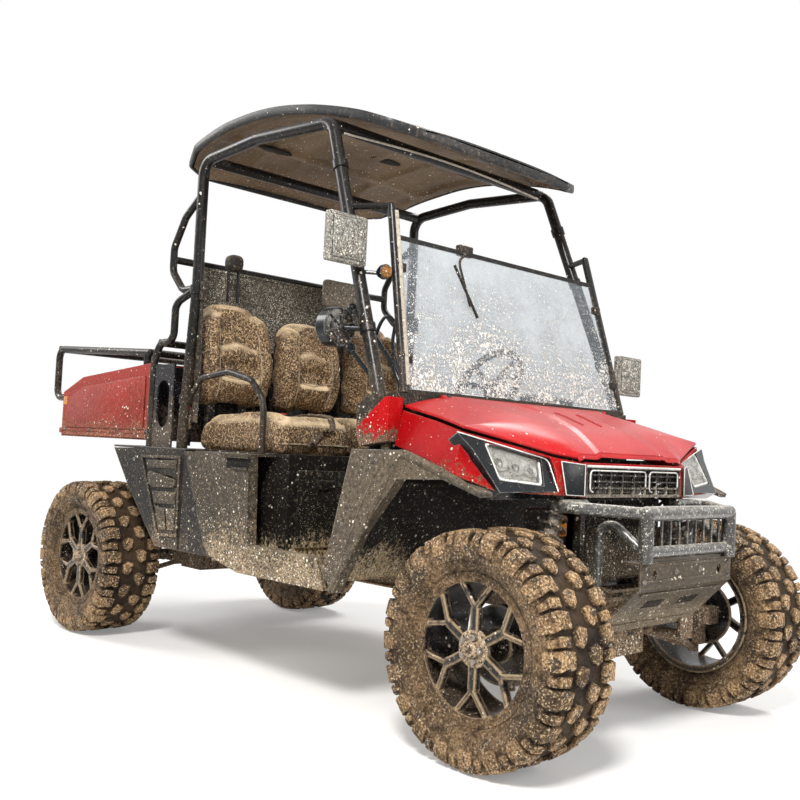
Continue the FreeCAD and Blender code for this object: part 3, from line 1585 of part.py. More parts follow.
def bed_outline():
    return placed(bed_side_shares, bed_rear_x, bed_front_x, bed_low_z, bed_top_z)


def gate_pin_x():
    return bed_rear_x - gate_barrel_radius


def cargo_bed():
    outer = side_plate(bed_outline(), -bed_half_width, bed_half_width)
    room = block(bed_rear_x - overrun, bed_front_x - bed_wall, bed_wall - bed_half_width,
                 bed_half_width - bed_wall, bed_low_z + bed_floor, bed_top_z + overrun)
    shapes = [cut(outer, room)]
    length_points = placed(bed_side_shares[1:4], bed_rear_x, bed_front_x, bed_low_z, bed_top_z)
    under = [(x, z - bed_rim_height) for x, z in reversed(length_points)]
    rim_bar = side_plate(length_points + under, bed_half_width - bed_rim, bed_half_width)
    shapes.extend(pair(rim_bar))
    for side in (-1, 1):
        centre_y = side * bed_lug_y
        lug = block(bed_pivot_x - bed_lug_length / 2, bed_pivot_x + bed_lug_length / 2,
                    centre_y - bed_lug_thickness / 2, centre_y + bed_lug_thickness / 2,
                    bed_pivot_z, bed_low_z)
        knuckle = along_y(bed_pivot_x, bed_pivot_z, centre_y - bed_lug_thickness / 2,
                          centre_y + bed_lug_thickness / 2, bed_lug_length / 2)
        shapes.extend([lug, knuckle])
        ear_low = bed_half_width - bed_wall
        ear = block(gate_pin_x() - gate_barrel_radius, bed_rear_x, ear_low, bed_half_width,
                    gate_pin_z - gate_barrel_radius, gate_pin_z + gate_barrel_radius)
        pin = along_y(gate_pin_x(), gate_pin_z, ear_low - gate_lug_length, ear_low, gate_pin_radius)
        shapes.extend([sided(ear, side), sided(pin, side)])
    body = fuse(shapes)
    bore = along_y(bed_pivot_x, bed_pivot_z, -bed_half_width, bed_half_width, bed_pin_radius + running_fit)
    return cut(body, bore)


def tailgate():
    half = bed_half_width - bed_wall - gate_side_gap
    front_x = bed_rear_x - seat_fit
    rear_x = gate_pin_x()
    low_z = gate_pin_z
    plate = block(rear_x, rear_x + gate_thickness, -half, half, low_z - gate_barrel_radius, gate_top_z)
    barrel = along_y(gate_pin_x(), gate_pin_z, -half, half, gate_barrel_radius)
    body = fuse([plate, barrel])
    bore = along_y(gate_pin_x(), gate_pin_z, -bed_half_width, bed_half_width, gate_pin_radius + running_fit)
    sill_top_z = bed_low_z + bed_floor + moving_gap
    sill_room = block(front_x, bed_front_x, -bed_half_width, bed_half_width, 0, sill_top_z)
    return cut(body, [bore, sill_room])


def bed_rack():
    rear_x = rack_tube_radius - rear_reach
    foot_x = bed_rear_x
    shapes = []
    for side in (-1, 1):
        y = side * rack_y
        rear_top = Vector(rear_x, y, rack_top_z)
        rear_low = Vector(rear_x, y, rack_foot_z)
        path = [Vector(foot_x, y, rack_foot_z), rear_low, rear_top, Vector(rack_front_x, y, rack_front_z)]
        shapes.append(bent_tube(path, rack_tube_radius, rack_bend))
        shapes.append(rod(Vector(rack_front_post_x, y, bed_top_z - bed_rim_height),
                          Vector(rack_front_post_x, y, rack_front_z), rack_tube_radius))
        shapes.append(ball(Vector(rack_front_x, y, rack_front_z), rack_tube_radius))
    for cross_x, cross_z in ((rear_x, rack_top_z), (rack_front_x, rack_front_z)):
        shapes.append(along_y(cross_x, cross_z, -rack_y, rack_y, rack_tube_radius))
    return cut(fuse(shapes), cargo_bed())


# The whole vehicle

def build():
    cage = roll_cage()
    cowl_shape = cowl()
    for place, centre_x in (("front", front_axle_x), ("rear", rear_axle_x)):
        for name, side in (("left", 1), ("right", -1)):
            save("tyre_" + place + "_" + name, tyre(centre_x, side))
            save("rim_" + place + "_" + name, rim(centre_x, side))
    save("knuckle_left", upright(front_axle_x, True))
    save("knuckle_right", mirrored(upright(front_axle_x, True)))
    save("rear_hubs", group(pair(upright(rear_axle_x, False))))
    save("front_arms", arms(front_axle_x))
    save("rear_arms", arms(rear_axle_x))
    save("dampers", dampers())
    save("front_drive", drive(front_axle_x, True))
    save("rear_drive", drive(rear_axle_x, False))
    save("steering_rack", steering_rack())
    save("frame", frame())
    save("belly_plate", belly_plate())
    save("engine_block", engine())
    save("muffler", muffler())
    save("hitch_receiver", receiver())
    save("floor_tub", floor_tub())
    for name, side in (("left", 1), ("right", -1)):
        save("side_panel_" + name, side_panel(side))
        save("rear_fender_" + name, rear_fender(side))
        save("front_fender_" + name, front_fender(side))
        save("cowl_corner_" + name, cowl_corner(side, cage))
    save("nose", nose())
    save("lamp_bezels", group(pair(lamp_bezel())))
    save("headlamps", group(pair(headlamp())))
    save("hood", hood())
    save("grille", grille())
    save("radiator", radiator())
    frame_pair = pair(frame_side())
    save("front_bumper", bumper(frame_pair))
    save("skid_plate", skid_plate(frame_pair))
    bows = cage_bows(cage)
    save("roll_cage", cage)
    save("cage_bows", bows)
    save("cage_hoops", cage_hoops(cage, bows))
    save("hip_rails", hip_rails(cage))
    save("roof", roof(cage))
    save("windshield", windshield())
    save("windshield_frame", windshield_frame(cage))
    save("cowl", cowl_shape)
    save("dash", dash())
    save("steering_wheel", steering_wheel())
    save("seat_cushions", seat_cushions())
    save("seat_backs", seat_backs())
    save("headrests", headrests())
    save("rear_screen", rear_screen())
    save("quarter_panels", group(pair(quarter_panel())))
    save("mirror_right", mirror(right_mirror_x, right_mirror_z, -1, cage))
    save("mirror_left", mirror(left_mirror_x, left_mirror_z, 1, cage))
    save("round_lamp", round_lamp(cage))
    save("cargo_bed", cargo_bed())
    save("bed_rack", bed_rack())
    save("tailgate", tailgate())


build()
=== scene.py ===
import bpy
import bmesh
import math
from mathutils import Matrix, Vector, noise
from mathutils.bvhtree import BVHTree


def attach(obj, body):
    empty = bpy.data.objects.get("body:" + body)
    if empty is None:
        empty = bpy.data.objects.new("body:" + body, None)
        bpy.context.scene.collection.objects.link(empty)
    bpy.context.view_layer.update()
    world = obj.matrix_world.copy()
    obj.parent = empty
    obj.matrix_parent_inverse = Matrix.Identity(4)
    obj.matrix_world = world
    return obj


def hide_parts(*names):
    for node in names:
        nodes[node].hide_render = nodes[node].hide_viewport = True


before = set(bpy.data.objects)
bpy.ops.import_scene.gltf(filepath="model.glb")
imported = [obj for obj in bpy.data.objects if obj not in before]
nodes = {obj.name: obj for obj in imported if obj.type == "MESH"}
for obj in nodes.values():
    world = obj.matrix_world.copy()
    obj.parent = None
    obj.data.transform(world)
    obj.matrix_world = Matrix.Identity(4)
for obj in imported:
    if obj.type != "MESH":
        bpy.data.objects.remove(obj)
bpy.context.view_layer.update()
scene = bpy.context.scene

# Studio: a pale floor, a white surround and a few large soft lamps.
# The camera stands where the photo was taken from, off the vehicle's right front corner.

CAMERA_PLACE = (2.9999, -2.7437, 0.869)
CAMERA_LENS = 44.462
CAMERA_AZIMUTH, CAMERA_PITCH, CAMERA_ROLL = math.radians(45.75), math.radians(-2.745), math.radians(2.712)
FLOOR_HALF = 40.0

scene.view_settings.view_transform = "Standard"


def add_object(name, data):
    """A new object at the origin."""
    obj = bpy.data.objects.new(name, data)
    scene.collection.objects.link(obj)
    return obj


class Wires:
    """A node tree with short ways to add nodes: a given input is a value or another node's output."""

    def __init__(self, tree):
        self.tree = tree

    def join(self, value, socket):
        """Links or sets a socket; a colour gets its fourth number, and None leaves it."""
        if isinstance(value, bpy.types.NodeSocket):
            self.tree.links.new(value, socket)
        elif isinstance(value, tuple) and socket.type == "RGBA":
            socket.default_value = (*value, 1.0)
        elif value is not None:
            socket.default_value = value

    def node(self, kind, given=None, **settings):
        node = self.tree.nodes.new(kind)
        for name, value in settings.items():
            setattr(node, name, value)
        for socket, value in (given or {}).items():
            self.join(value, node.inputs[socket])
        return node

    def calc(self, operation, *values, clamp=False):
        given = dict(enumerate(values))
        return self.node("ShaderNodeMath", given, operation=operation, use_clamp=clamp).outputs[0]

    def span(self, value, from_low, from_high, to_low=0.0, to_high=1.0):
        given = {"Value": value, "From Min": from_low, "From Max": from_high, "To Min": to_low,
                 "To Max": to_high}
        return self.node("ShaderNodeMapRange", given).outputs["Result"]

    def noise(self, place, scale, detail=3.0, roughness=0.55):
        given = {"Vector": place, "Scale": scale, "Detail": detail, "Roughness": roughness}
        return self.node("ShaderNodeTexNoise", given).outputs["Fac"]

    def mix(self, share, first, second):
        return self.node("ShaderNodeMix", {0: share, 6: first, 7: second}, data_type="RGBA").outputs[2]

    def coordinates(self, kind="Object"):
        return self.node("ShaderNodeTexCoord").outputs[kind]

    def height_of(self, vector):
        return self.node("ShaderNodeSeparateXYZ", {0: vector}).outputs["Z"]

    def bump(self, height, strength, distance, normal=None):
        given = {"Height": height, "Strength": strength, "Distance": distance, "Normal": normal}
        return self.node("ShaderNodeBump", given).outputs[0]


def new_material(name, colour=None, roughness=None):
    """A material, its wires and its shader."""
    material = bpy.data.materials.new(name)
    material.use_nodes = True
    wires = Wires(material.node_tree)
    shader = material.node_tree.nodes["Principled BSDF"]
    wires.join(colour, shader.inputs["Base Color"])
    wires.join(roughness, shader.inputs["Roughness"])
    return material, wires, shader


camera_data = bpy.data.cameras.new("camera")
camera_data.sensor_width = 36.0
camera_data.lens = CAMERA_LENS
camera = add_object("camera", camera_data)
scene.camera = camera
away = Vector((math.sin(CAMERA_AZIMUTH), -math.cos(CAMERA_AZIMUTH), 0.0))
back = away * math.cos(CAMERA_PITCH) + Vector((0.0, 0.0, math.sin(CAMERA_PITCH)))
level = Vector((-away.y, away.x, 0.0))
upward = back.cross(level)
right = math.cos(CAMERA_ROLL) * level + math.sin(CAMERA_ROLL) * upward
above = -math.sin(CAMERA_ROLL) * level + math.cos(CAMERA_ROLL) * upward
camera.matrix_world = Matrix.Translation(CAMERA_PLACE) @ Matrix((right, above, back)).transposed().to_4x4()

floor_mesh = bpy.data.meshes.new("floor")
floor_corners = [(x * FLOOR_HALF, y * FLOOR_HALF, 0) for x, y in ((-1, -1), (1, -1), (1, 1), (-1, 1))]
floor_mesh.from_pydata(floor_corners, [], [(0, 1, 2, 3)])
floor = add_object("floor", floor_mesh)
floor_material, wires, shader = new_material("floor_white", (0.9, 0.9, 0.9), 0.9)
reach = wires.node("ShaderNodeVectorMath", {0: wires.coordinates()}, operation="LENGTH").outputs["Value"]
far = wires.node("ShaderNodeMapRange", {"Value": reach, "From Min": 2.4, "From Max": 6.0, "To Min": 0.22},
                 interpolation_type="SMOOTHSTEP").outputs["Result"]
seen = wires.node("ShaderNodeLightPath").outputs["Is Camera Ray"]
glow = wires.node("ShaderNodeEmission").outputs[0]
white_share = wires.calc("MULTIPLY", far, seen)
whitened = wires.node("ShaderNodeMixShader", {0: white_share, 1: shader.outputs[0], 2: glow})
wires.join(whitened.outputs[0], floor_material.node_tree.nodes["Material Output"].inputs["Surface"])
floor_mesh.materials.append(floor_material)

scene.world = bpy.data.worlds.new("white_room")
scene.world.use_nodes = True
scene.world.node_tree.nodes.clear()
wires = Wires(scene.world.node_tree)
room_light = wires.node("ShaderNodeBackground", {"Color": (1.0, 0.99, 0.97), "Strength": 0.42})
room_seen = wires.node("ShaderNodeBackground", {"Color": (1.0, 1.0, 1.0), "Strength": 1.0})
rays = wires.node("ShaderNodeLightPath").outputs
seen = rays["Is Camera Ray"]
for ray in ("Is Transmission Ray", "Is Glossy Ray"):
    seen = wires.calc("MAXIMUM", seen, rays[ray])
room = wires.node("ShaderNodeMixShader", {0: seen, 1: room_light.outputs[0], 2: room_seen.outputs[0]})
wires.node("ShaderNodeOutputWorld", {"Surface": room.outputs[0]})

for name, place, aim, size, power in (
        ("key_lamp", (3.6, -4.6, 5.6), (0.2, 0.0, 0.8), 1.5, 600.0),
        ("front_lamp", (6.5, 2.5, 3.6), (0.6, 0.0, 0.8), 3.0, 170.0),
        ("rear_lamp", (-5.0, -3.0, 4.2), (-0.6, 0.0, 1.0), 2.6, 210.0),
        ("top_lamp", (-0.5, 3.4, 6.0), (0.0, 0.0, 1.0), 2.8, 260.0)):
    lamp_data = bpy.data.lights.new(name, "AREA")
    lamp_data.shape = "DISK"
    lamp_data.size = size
    lamp_data.energy = power
    lamp_data.color = (1.0, 0.985, 0.96)
    lamp = add_object(name, lamp_data)
    lamp.location = place
    lamp.rotation_euler = (Vector(aim) - Vector(place)).to_track_quat("-Z", "Y").to_euler()

# Dirt: dried tan mud thrown up from the wheels, round splash marks, and dust on what faces up, which on the
# bumper is partly a painted highlight. One group tells where it lies, and another finds the rounded edges of
# hard
# pieces, which are painted paler: partly wear and mud, partly a painted highlight.

TAN_MUD = (0.3, 0.21, 0.135)
PALE_DROP = (0.74, 0.68, 0.57)
DROP_SCALES = (66.0, 125.0, 270.0)


def new_group(name, inputs, outputs):
    """A shader group with named number inputs, its wires, and what comes in and goes out."""
    group = bpy.data.node_groups.new(name, "ShaderNodeTree")
    for socket_name, value in inputs:
        socket = group.interface.new_socket(socket_name, in_out="INPUT", socket_type="NodeSocketFloat")
        socket.default_value = value
    for socket_name, kind in outputs:
        group.interface.new_socket(socket_name, in_out="OUTPUT", socket_type=kind)
    source, sink = group.nodes.new("NodeGroupInput"), group.nodes.new("NodeGroupOutput")
    return group, Wires(group), source.outputs, sink.inputs


def cells_at(wires, place, scale):
    """The distance to the middle of each cell, and a number of the cell's own."""
    cells = wires.node("ShaderNodeTexVoronoi", {"Vector": place, "Scale": scale})
    pick = wires.node("ShaderNodeSeparateColor", {0: cells.outputs["Color"]})
    return cells.outputs["Distance"], pick.outputs[0]


dirt_group, wires, given, result = new_group(
    "dried_dirt", [("Dust", 0.5), ("Mud", 0.5), ("Low", 0.3), ("High", 0.9), ("Specks", 0.3)],
    [("Mask", "NodeSocketFloat"), ("Grit", "NodeSocketFloat"), ("Drops", "NodeSocketFloat")])
dirt_place = wires.node("ShaderNodeTexCoord").outputs
broad = wires.noise(dirt_place["Object"], 5.0, 4.0, 0.6)
fine = wires.noise(dirt_place["Object"], 80.0, 4.0, 0.7)
near_ground = wires.span(wires.height_of(dirt_place["Object"]), given["Low"], given["High"], 1.0, 0.0)
ragged = wires.calc("SUBTRACT", wires.calc("MULTIPLY_ADD", broad, 1.5, -0.75), 0.9)
ragged = wires.calc("MULTIPLY_ADD", fine, 1.8, ragged)
caked = wires.calc("ADD", wires.calc("MULTIPLY", near_ground, 1.1), ragged)
caked = wires.calc("MULTIPLY", wires.span(caked, 0.42, 0.68), given["Mud"])
# Dust on what faces up; the bumper turns it up so far that there it is partly a painted highlight.
facing_up = wires.calc("POWER", wires.calc("MAXIMUM", wires.height_of(dirt_place["Normal"]), 0.0), 2.0)
top_dust_and_highlight = wires.calc("MULTIPLY", facing_up, wires.span(broad, 0.3, 0.7, 0.35, 1.0))
top_dust_and_highlight = wires.calc("ADD", top_dust_and_highlight, wires.calc("MULTIPLY", fine, 0.22))
top_dust_and_highlight = wires.calc("MULTIPLY", top_dust_and_highlight, given["Dust"])
drop_share = wires.calc("MULTIPLY", given["Specks"], wires.span(near_ground, 0, 1, 0.4, 1.7))
drop_share = wires.calc("MULTIPLY", drop_share, wires.span(broad, 0.35, 0.62, 0.45, 1.15))
drop_mask = 0.0
for scale in DROP_SCALES:
    distance, pick = cells_at(wires, dirt_place["Object"], scale)
    drop_size = wires.span(pick, wires.calc("SUBTRACT", 1.0, drop_share), 1.0, 0.0, 0.36)
    drop = wires.span(wires.calc("SUBTRACT", drop_size, distance), 0.0, 0.08)
    drop_mask = wires.calc("MAXIMUM", drop_mask, drop)
mask = wires.calc("MAXIMUM", caked, top_dust_and_highlight, clamp=True)
wires.join(mask, result["Mask"])
wires.join(drop_mask, result["Drops"])
wires.join(wires.calc("MULTIPLY_ADD", drop_mask, 0.5, wires.calc("MULTIPLY", mask, fine)), result["Grit"])

edge_group, wires, given, result = new_group(
    "rounded_edge", [("Width", 0.003)], [("Edge", "NodeSocketFloat"), ("Normal", "NodeSocketVector")])
rounded = wires.node("ShaderNodeBevel", {"Radius": given["Width"]}, samples=4).outputs[0]
straight = wires.node("ShaderNodeNewGeometry").outputs["Normal"]
turned = wires.node("ShaderNodeVectorMath", {0: rounded, 1: straight}, operation="DOT_PRODUCT")
bent = wires.calc("SUBTRACT", 1.0, turned.outputs["Value"])
wires.join(wires.span(bent, 0.02, 0.16), result["Edge"])
wires.join(rounded, result["Normal"])


def toned(colour, factor, lift=0.0, most=1.0):
    """A colour made darker or paler."""
    return tuple(min(most, part * factor + lift) for part in colour)


def dirty_finish(name, colour, roughness, dirt=(0.1, 0.1, 0.2, 0.8, 0.05), metallic=0.0, coat=0.0, grain=0.0,
                 grain_scale=900.0, edge=0.3, edge_colour=None, edge_width=0.003, dirt_colour=TAN_MUD,
                 second_colour=None, shine=0.17):
    """A finish under dirt: dirt is its dust, its mud, the mud's low and high height, and its specks."""
    material, wires, shader = new_material(name)
    dust, mud, low, high, specks = dirt
    shader.inputs["Metallic"].default_value = metallic
    shader.inputs["Coat Weight"].default_value = coat
    shader.inputs["Coat Roughness"].default_value = 0.16
    shader.inputs["Specular IOR Level"].default_value = shine
    place = wires.coordinates()
    levels = {"Dust": dust, "Mud": mud, "Low": low, "High": high, "Specks": specks}
    soiled = wires.node("ShaderNodeGroup", node_tree=dirt_group)
    edges = wires.node("ShaderNodeGroup", node_tree=edge_group)
    for socket, value in levels.items():
        soiled.inputs[socket].default_value = value
    edges.inputs["Width"].default_value = edge_width
    mask, grit, drops = (soiled.outputs[part] for part in ("Mask", "Grit", "Drops"))
    clouds = wires.noise(place, 3.5, 3.0)
    patches = wires.noise(place, 22.0, 4.0, 0.6)
    base = wires.mix(wires.span(clouds, 0.35, 0.65), colour, second_colour or toned(colour, 0.72))
    # Edges are painted paler towards edge_colour: dried mud on the wheel rims, elsewhere partly wear and
    # partly a painted highlight.
    edge_wear_and_highlight = wires.calc("MULTIPLY", edges.outputs["Edge"], wires.span(patches, 0.35, 0.6, 0.0, edge))
    base = wires.mix(edge_wear_and_highlight, base, edge_colour or toned(colour, 2.2, 0.05))
    flecks = wires.noise(place, 150.0, 3.0, 0.7)
    soil = wires.mix(wires.span(patches, 0.3, 0.7), dirt_colour, toned(dirt_colour, 0.62))
    soil = wires.mix(wires.span(flecks, 0.52, 0.66), soil, toned(dirt_colour, 1.9, most=0.8))
    soil = wires.mix(wires.span(flecks, 0.46, 0.34), soil, toned(dirt_colour, 0.25))
    base = wires.mix(mask, base, soil)
    crumbs = wires.noise(place, 75.0, 4.0, 0.7)
    crumb_share = min(0.6, dust * 0.9 + specks * 0.25)
    pale_crumbs = wires.span(crumbs, 0.56, 0.62, 0.0, crumb_share * 0.55)
    dark_crumbs = wires.span(crumbs, 0.46, 0.4, 0.0, crumb_share * 1.5)
    base = wires.mix(pale_crumbs, base, toned(dirt_colour, 1.6, most=0.8))
    base = wires.mix(dark_crumbs, base, toned(dirt_colour, 0.06))
    wires.join(wires.mix(drops, base, PALE_DROP), shader.inputs["Base Color"])
    rough = wires.span(mask, 0.0, 1.0, roughness, 0.93)
    rough = wires.calc("MULTIPLY_ADD", wires.calc("SUBTRACT", clouds, 0.5), 0.22, rough, clamp=True)
    wires.join(rough, shader.inputs["Roughness"])
    for socket, value in (("Coat Weight", coat), ("Metallic", metallic)):
        if value > 0:
            wires.join(wires.span(mask, 0.0, 0.6, value, 0.0), shader.inputs[socket])
    if grain > 0:
        grit = wires.calc("MULTIPLY_ADD", wires.noise(place, grain_scale, 2.0), grain, grit)
    wires.join(wires.bump(grit, 0.55, 0.004, edges.outputs["Normal"]), shader.inputs["Normal"])
    return material


def dress(material, *names):
    """Gives CAD nodes a material of this scene."""
    for name in names:
        nodes[name].data.materials.clear()
        nodes[name].data.materials.append(material)


# Tyres: knobbly mud tyres on all four corners, moulded in one with their tread blocks.
# Tall shoulder blocks wrap down to the side wall and staggered blocks fill the crown. Tan caked mud colours
# the raised blocks, and the low ground between them is painted dark: painted shade, partly dark wet mud.

WHEELS = (
    ("front_left", 1.21, 0.59, "wheel_front_left"), ("front_right", 1.21, -0.59, "wheel_front_right"),
    ("rear_left", -1.09, 0.59, "wheel_rear_left"), ("rear_right", -1.09, -0.59, "wheel_rear_right"))
AXLE_Z = 0.33
TREAD_TOP = 0.33
CARCASS = 0.315
CROWN_HALF = 0.07
CARCASS_SEGMENTS = 120
BLOCKS = 20
BLOCK_PITCH = 360.0 / BLOCKS
TYRE_TURN = math.radians(4.8)


def piece(name, mesh, material, sharp_deg=35.0, body="chassis"):
    """A finished piece from its mesh and riding on a body."""
    obj = add_object(name, mesh)
    mesh.materials.clear()
    mesh.materials.append(material)
    mesh.shade_smooth()
    mesh.set_sharp_from_angle(angle=math.radians(sharp_deg))
    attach(obj, body)
    return obj


def mesh_of(name, shape):
    """The mesh of a shape, which is done with."""
    shape.normal_update()
    mesh = bpy.data.meshes.new(name)
    shape.to_mesh(mesh)
    shape.free()
    return mesh


def built(name, shape, material, sharp_deg=35.0, body="chassis"):
    """A finished piece from the shape it was built in."""
    return piece(name, mesh_of(name, shape), material, sharp_deg, body)


def face_out(shape):
    """Turns every face of a shape outwards."""
    bmesh.ops.recalc_face_normals(shape, faces=shape.faces)


def bridge(shape, first, second, closed=True):
    """Faces between two rows of as many points."""
    count = len(first)
    faces = []
    for index in range(count if closed else count - 1):
        after = (index + 1) % count
        faces.append(shape.faces.new((first[index], first[after], second[after], second[index])))
    return faces


def on_wheel(turn, y, radius):
    """A point at an angle round the wheel's Y axis."""
    return Vector((math.sin(turn) * radius, y, math.cos(turn) * radius))


def add_lathe(shape, profile, segments, closed=False):
    """A ring about the Y axis from (y, radius) pairs."""
    rings = []
    for step in range(segments):
        turn = 2 * math.pi * step / segments
        rings.append([shape.verts.new(on_wheel(turn, y, radius)) for y, radius in profile])
    count = len(profile)
    for here, there in zip(rings, rings[1:] + rings[:1]):
        for index in range(count if closed else count - 1):
            after = (index + 1) % count
            shape.faces.new((here[index], there[index], there[after], here[after]))


def crown_drop(side):
    """How far the crown has fallen at a distance from the tyre's middle."""
    return 0.0 if side < CROWN_HALF else 0.34 * (side - CROWN_HALF) ** 1.35


def add_tread_block(shape, outline):
    """A tread block from (y, degrees) corners, sunk in the carcass and rounded at its face."""
    middle_y = sum(y for y, angle in outline) / len(outline)
    middle_turn = sum(angle for y, angle in outline) / len(outline)
    rows = []
    for grow, level in ((1.0, -0.6), (1.0, 0.35), (0.93, 0.9), (0.84, 1.0)):
        row = []
        for y, angle in outline:
            side = middle_y + (y - middle_y) * grow
            turn = math.radians(middle_turn + (angle - middle_turn) * grow)
            face = TREAD_TOP - crown_drop(abs(side))
            base = CARCASS - crown_drop(abs(side)) * 1.25
            row.append(shape.verts.new(on_wheel(turn, side, base + (face - base) * level)))
        rows.append(row)
    for low, high in zip(rows[:-1], rows[1:]):
        bridge(shape, low, high)
    shape.faces.new(rows[-1])


def add_side_lug(shape, side, low_turn, high_turn, reach):
    """The part of a shoulder block that wraps down the side wall to a radius of reach."""
    path = [(0.1205, 0.3165), (0.127, 0.306), (0.13, 0.291), (0.13, reach + 0.006), (0.1245, reach)]
    ends = []
    for turn in (math.radians(low_turn), math.radians(high_turn)):
        outer = [shape.verts.new(on_wheel(turn, side * y, radius)) for y, radius in path]
        inner = [shape.verts.new(on_wheel(turn, side * (y - 0.012), radius - 0.004)) for y, radius in path]
        ends.append((outer, inner))
    (out_a, in_a), (out_b, in_b) = ends
    for index in range(len(path) - 1):
        shape.faces.new((out_a[index], out_b[index], out_b[index + 1], out_a[index + 1]))
        shape.faces.new((out_a[index], out_a[index + 1], in_a[index + 1], in_a[index]))
        shape.faces.new((out_b[index + 1], out_b[index], in_b[index], in_b[index + 1]))
    shape.faces.new((out_a[-1], out_b[-1], in_b[-1], in_a[-1]))
    shape.faces.new((out_a[0], in_a[0], in_b[0], out_b[0]))
    shape.faces.new((in_a[0], in_a[-1], in_b[-1], in_b[0]))


def open_maker(name, **sockets):
    """A Geometry Nodes tree with named inputs: the tree, its wires and what comes in."""
    tree = bpy.data.node_groups.new(name, "GeometryNodeTree")
    kinds = {"Geometry": "Geometry", **sockets, "Material": "Material"}
    for socket_name, kind in kinds.items():
        tree.interface.new_socket(socket_name, in_out="INPUT", socket_type="NodeSocket" + kind)
    tree.interface.new_socket("Geometry", in_out="OUTPUT", socket_type="NodeSocketGeometry")
    return tree, Wires(tree), tree.nodes.new("NodeGroupInput").outputs


def close_maker(tree, wires, given, geometry):
    """Ends a Geometry Nodes tree in plain faces with the given material."""
    plain = wires.node("GeometryNodeRealizeInstances", {0: geometry}).outputs[0]
    dressed = wires.node("GeometryNodeSetMaterial", {"Geometry": plain, "Material": given["Material"]})
    wires.node("NodeGroupOutput", {0: dressed.outputs[0]})
    return tree


def grown(name, seed, tree, values):
    """The plain mesh that a tree makes from a seed mesh."""
    obj = add_object(name, seed)
    change = obj.modifiers.new("grow", "NODES")
    change.node_group = tree
    for item in tree.interface.items_tree:
        if item.item_type == "SOCKET" and item.in_out == "INPUT" and item.name in values:
            change[item.identifier] = values[item.name]
    graph = bpy.context.evaluated_depsgraph_get()
    mesh = bpy.data.meshes.new_from_object(obj.evaluated_get(graph), preserve_all_data_layers=True,
                                           depsgraph=graph)
    obj.modifiers.remove(change)
    bpy.data.objects.remove(obj)
    mesh.name = name
    return mesh


def joined(name, meshes):
    """One mesh from many."""
    shape = bmesh.new()
    for mesh in meshes:
        shape.from_mesh(mesh)
    return mesh_of(name, shape)


ring_copies, wires, given = open_maker("copies_in_a_ring", Count="Int", Turn="Float")
points = wires.node("GeometryNodePoints", {"Count": given["Count"]}).outputs[0]
ring_step = wires.calc("DIVIDE", 2 * math.pi, given["Count"])
turn = wires.calc("MULTIPLY_ADD", wires.node("GeometryNodeInputIndex").outputs[0], ring_step, given["Turn"])
spin = wires.node("FunctionNodeAxisAngleToRotation", {"Axis": (0.0, 1.0, 0.0), "Angle": turn}).outputs[0]
copies = {"Points": points, "Instance": given["Geometry"], "Rotation": spin}
close_maker(ring_copies, wires, given, wires.node("GeometryNodeInstanceOnPoints", copies).outputs[0])

tyre_material, wires, shader = new_material("muddy_tyre_rubber")
place = wires.coordinates()
rise = wires.node("ShaderNodeAttribute", attribute_name="rise").outputs["Fac"]
broad = wires.noise(place, 6.0, 4.0, 0.6)
clods = wires.noise(place, 34.0, 5.0, 0.65)
grit = wires.noise(place, 150.0, 4.0, 0.7)
raised = wires.calc("ADD", wires.calc("MULTIPLY", rise, 0.8), wires.calc("MULTIPLY_ADD", clods, 1.3, -0.6))
# The low ground between the blocks is painted dark: painted shade in the grooves, partly dark wet mud.
shaded_groove = wires.mix(wires.span(broad, 0.35, 0.68), (0.06, 0.035, 0.017), (0.012, 0.008, 0.005))
caked = wires.mix(wires.span(broad, 0.38, 0.62), (0.42, 0.258, 0.125), (0.095, 0.053, 0.025))
caked = wires.mix(wires.span(clods, 0.53, 0.62), caked, (0.036, 0.022, 0.012))
caked = wires.mix(wires.span(grit, 0.53, 0.64), caked, (0.8, 0.6, 0.37))
caked = wires.mix(wires.span(grit, 0.48, 0.38), caked, (0.045, 0.028, 0.015))
wires.join(wires.mix(wires.span(raised, 0.18, 0.72), shaded_groove, caked), shader.inputs["Base Color"])
wires.join(wires.span(clods, 0.4, 0.65, 0.95, 0.42), shader.inputs["Roughness"])
shader.inputs["Specular IOR Level"].default_value = 0.3
wires.join(wires.bump(wires.calc("MULTIPLY_ADD", grit, 0.35, clods), 1.0, 0.018), shader.inputs["Normal"])

wall_profile = [
    (0.086, 0.189), (0.087, 0.206), (0.094, 0.2085), (0.101, 0.213), (0.112, 0.222), (0.119, 0.234),
    (0.1205, 0.24), (0.1235, 0.2415), (0.125, 0.252), (0.126, 0.266), (0.1255, 0.279), (0.1225, 0.292),
    (0.117, 0.302), (0.108, 0.307), (0.092, 0.311), (0.06, 0.314), (0.03, 0.3148), (0.0, CARCASS)]
carcass = bmesh.new()
mirrored_wall = [(-y, radius) for y, radius in reversed(wall_profile[:-1])]
add_lathe(carcass, wall_profile + mirrored_wall, CARCASS_SEGMENTS, closed=True)
for vert in carcass.verts:
    if abs(vert.co.y) < 0.12 and vert.co.xz.length > 0.3:
        turn = math.atan2(vert.co.x, vert.co.z)
        lumps = math.sin(7 * turn + vert.co.y * 40) * math.sin(19 * turn - vert.co.y * 70)
        vert.co.xz *= 1.0 + 0.0035 * lumps
carcass_mesh = mesh_of("carcass", carcass)

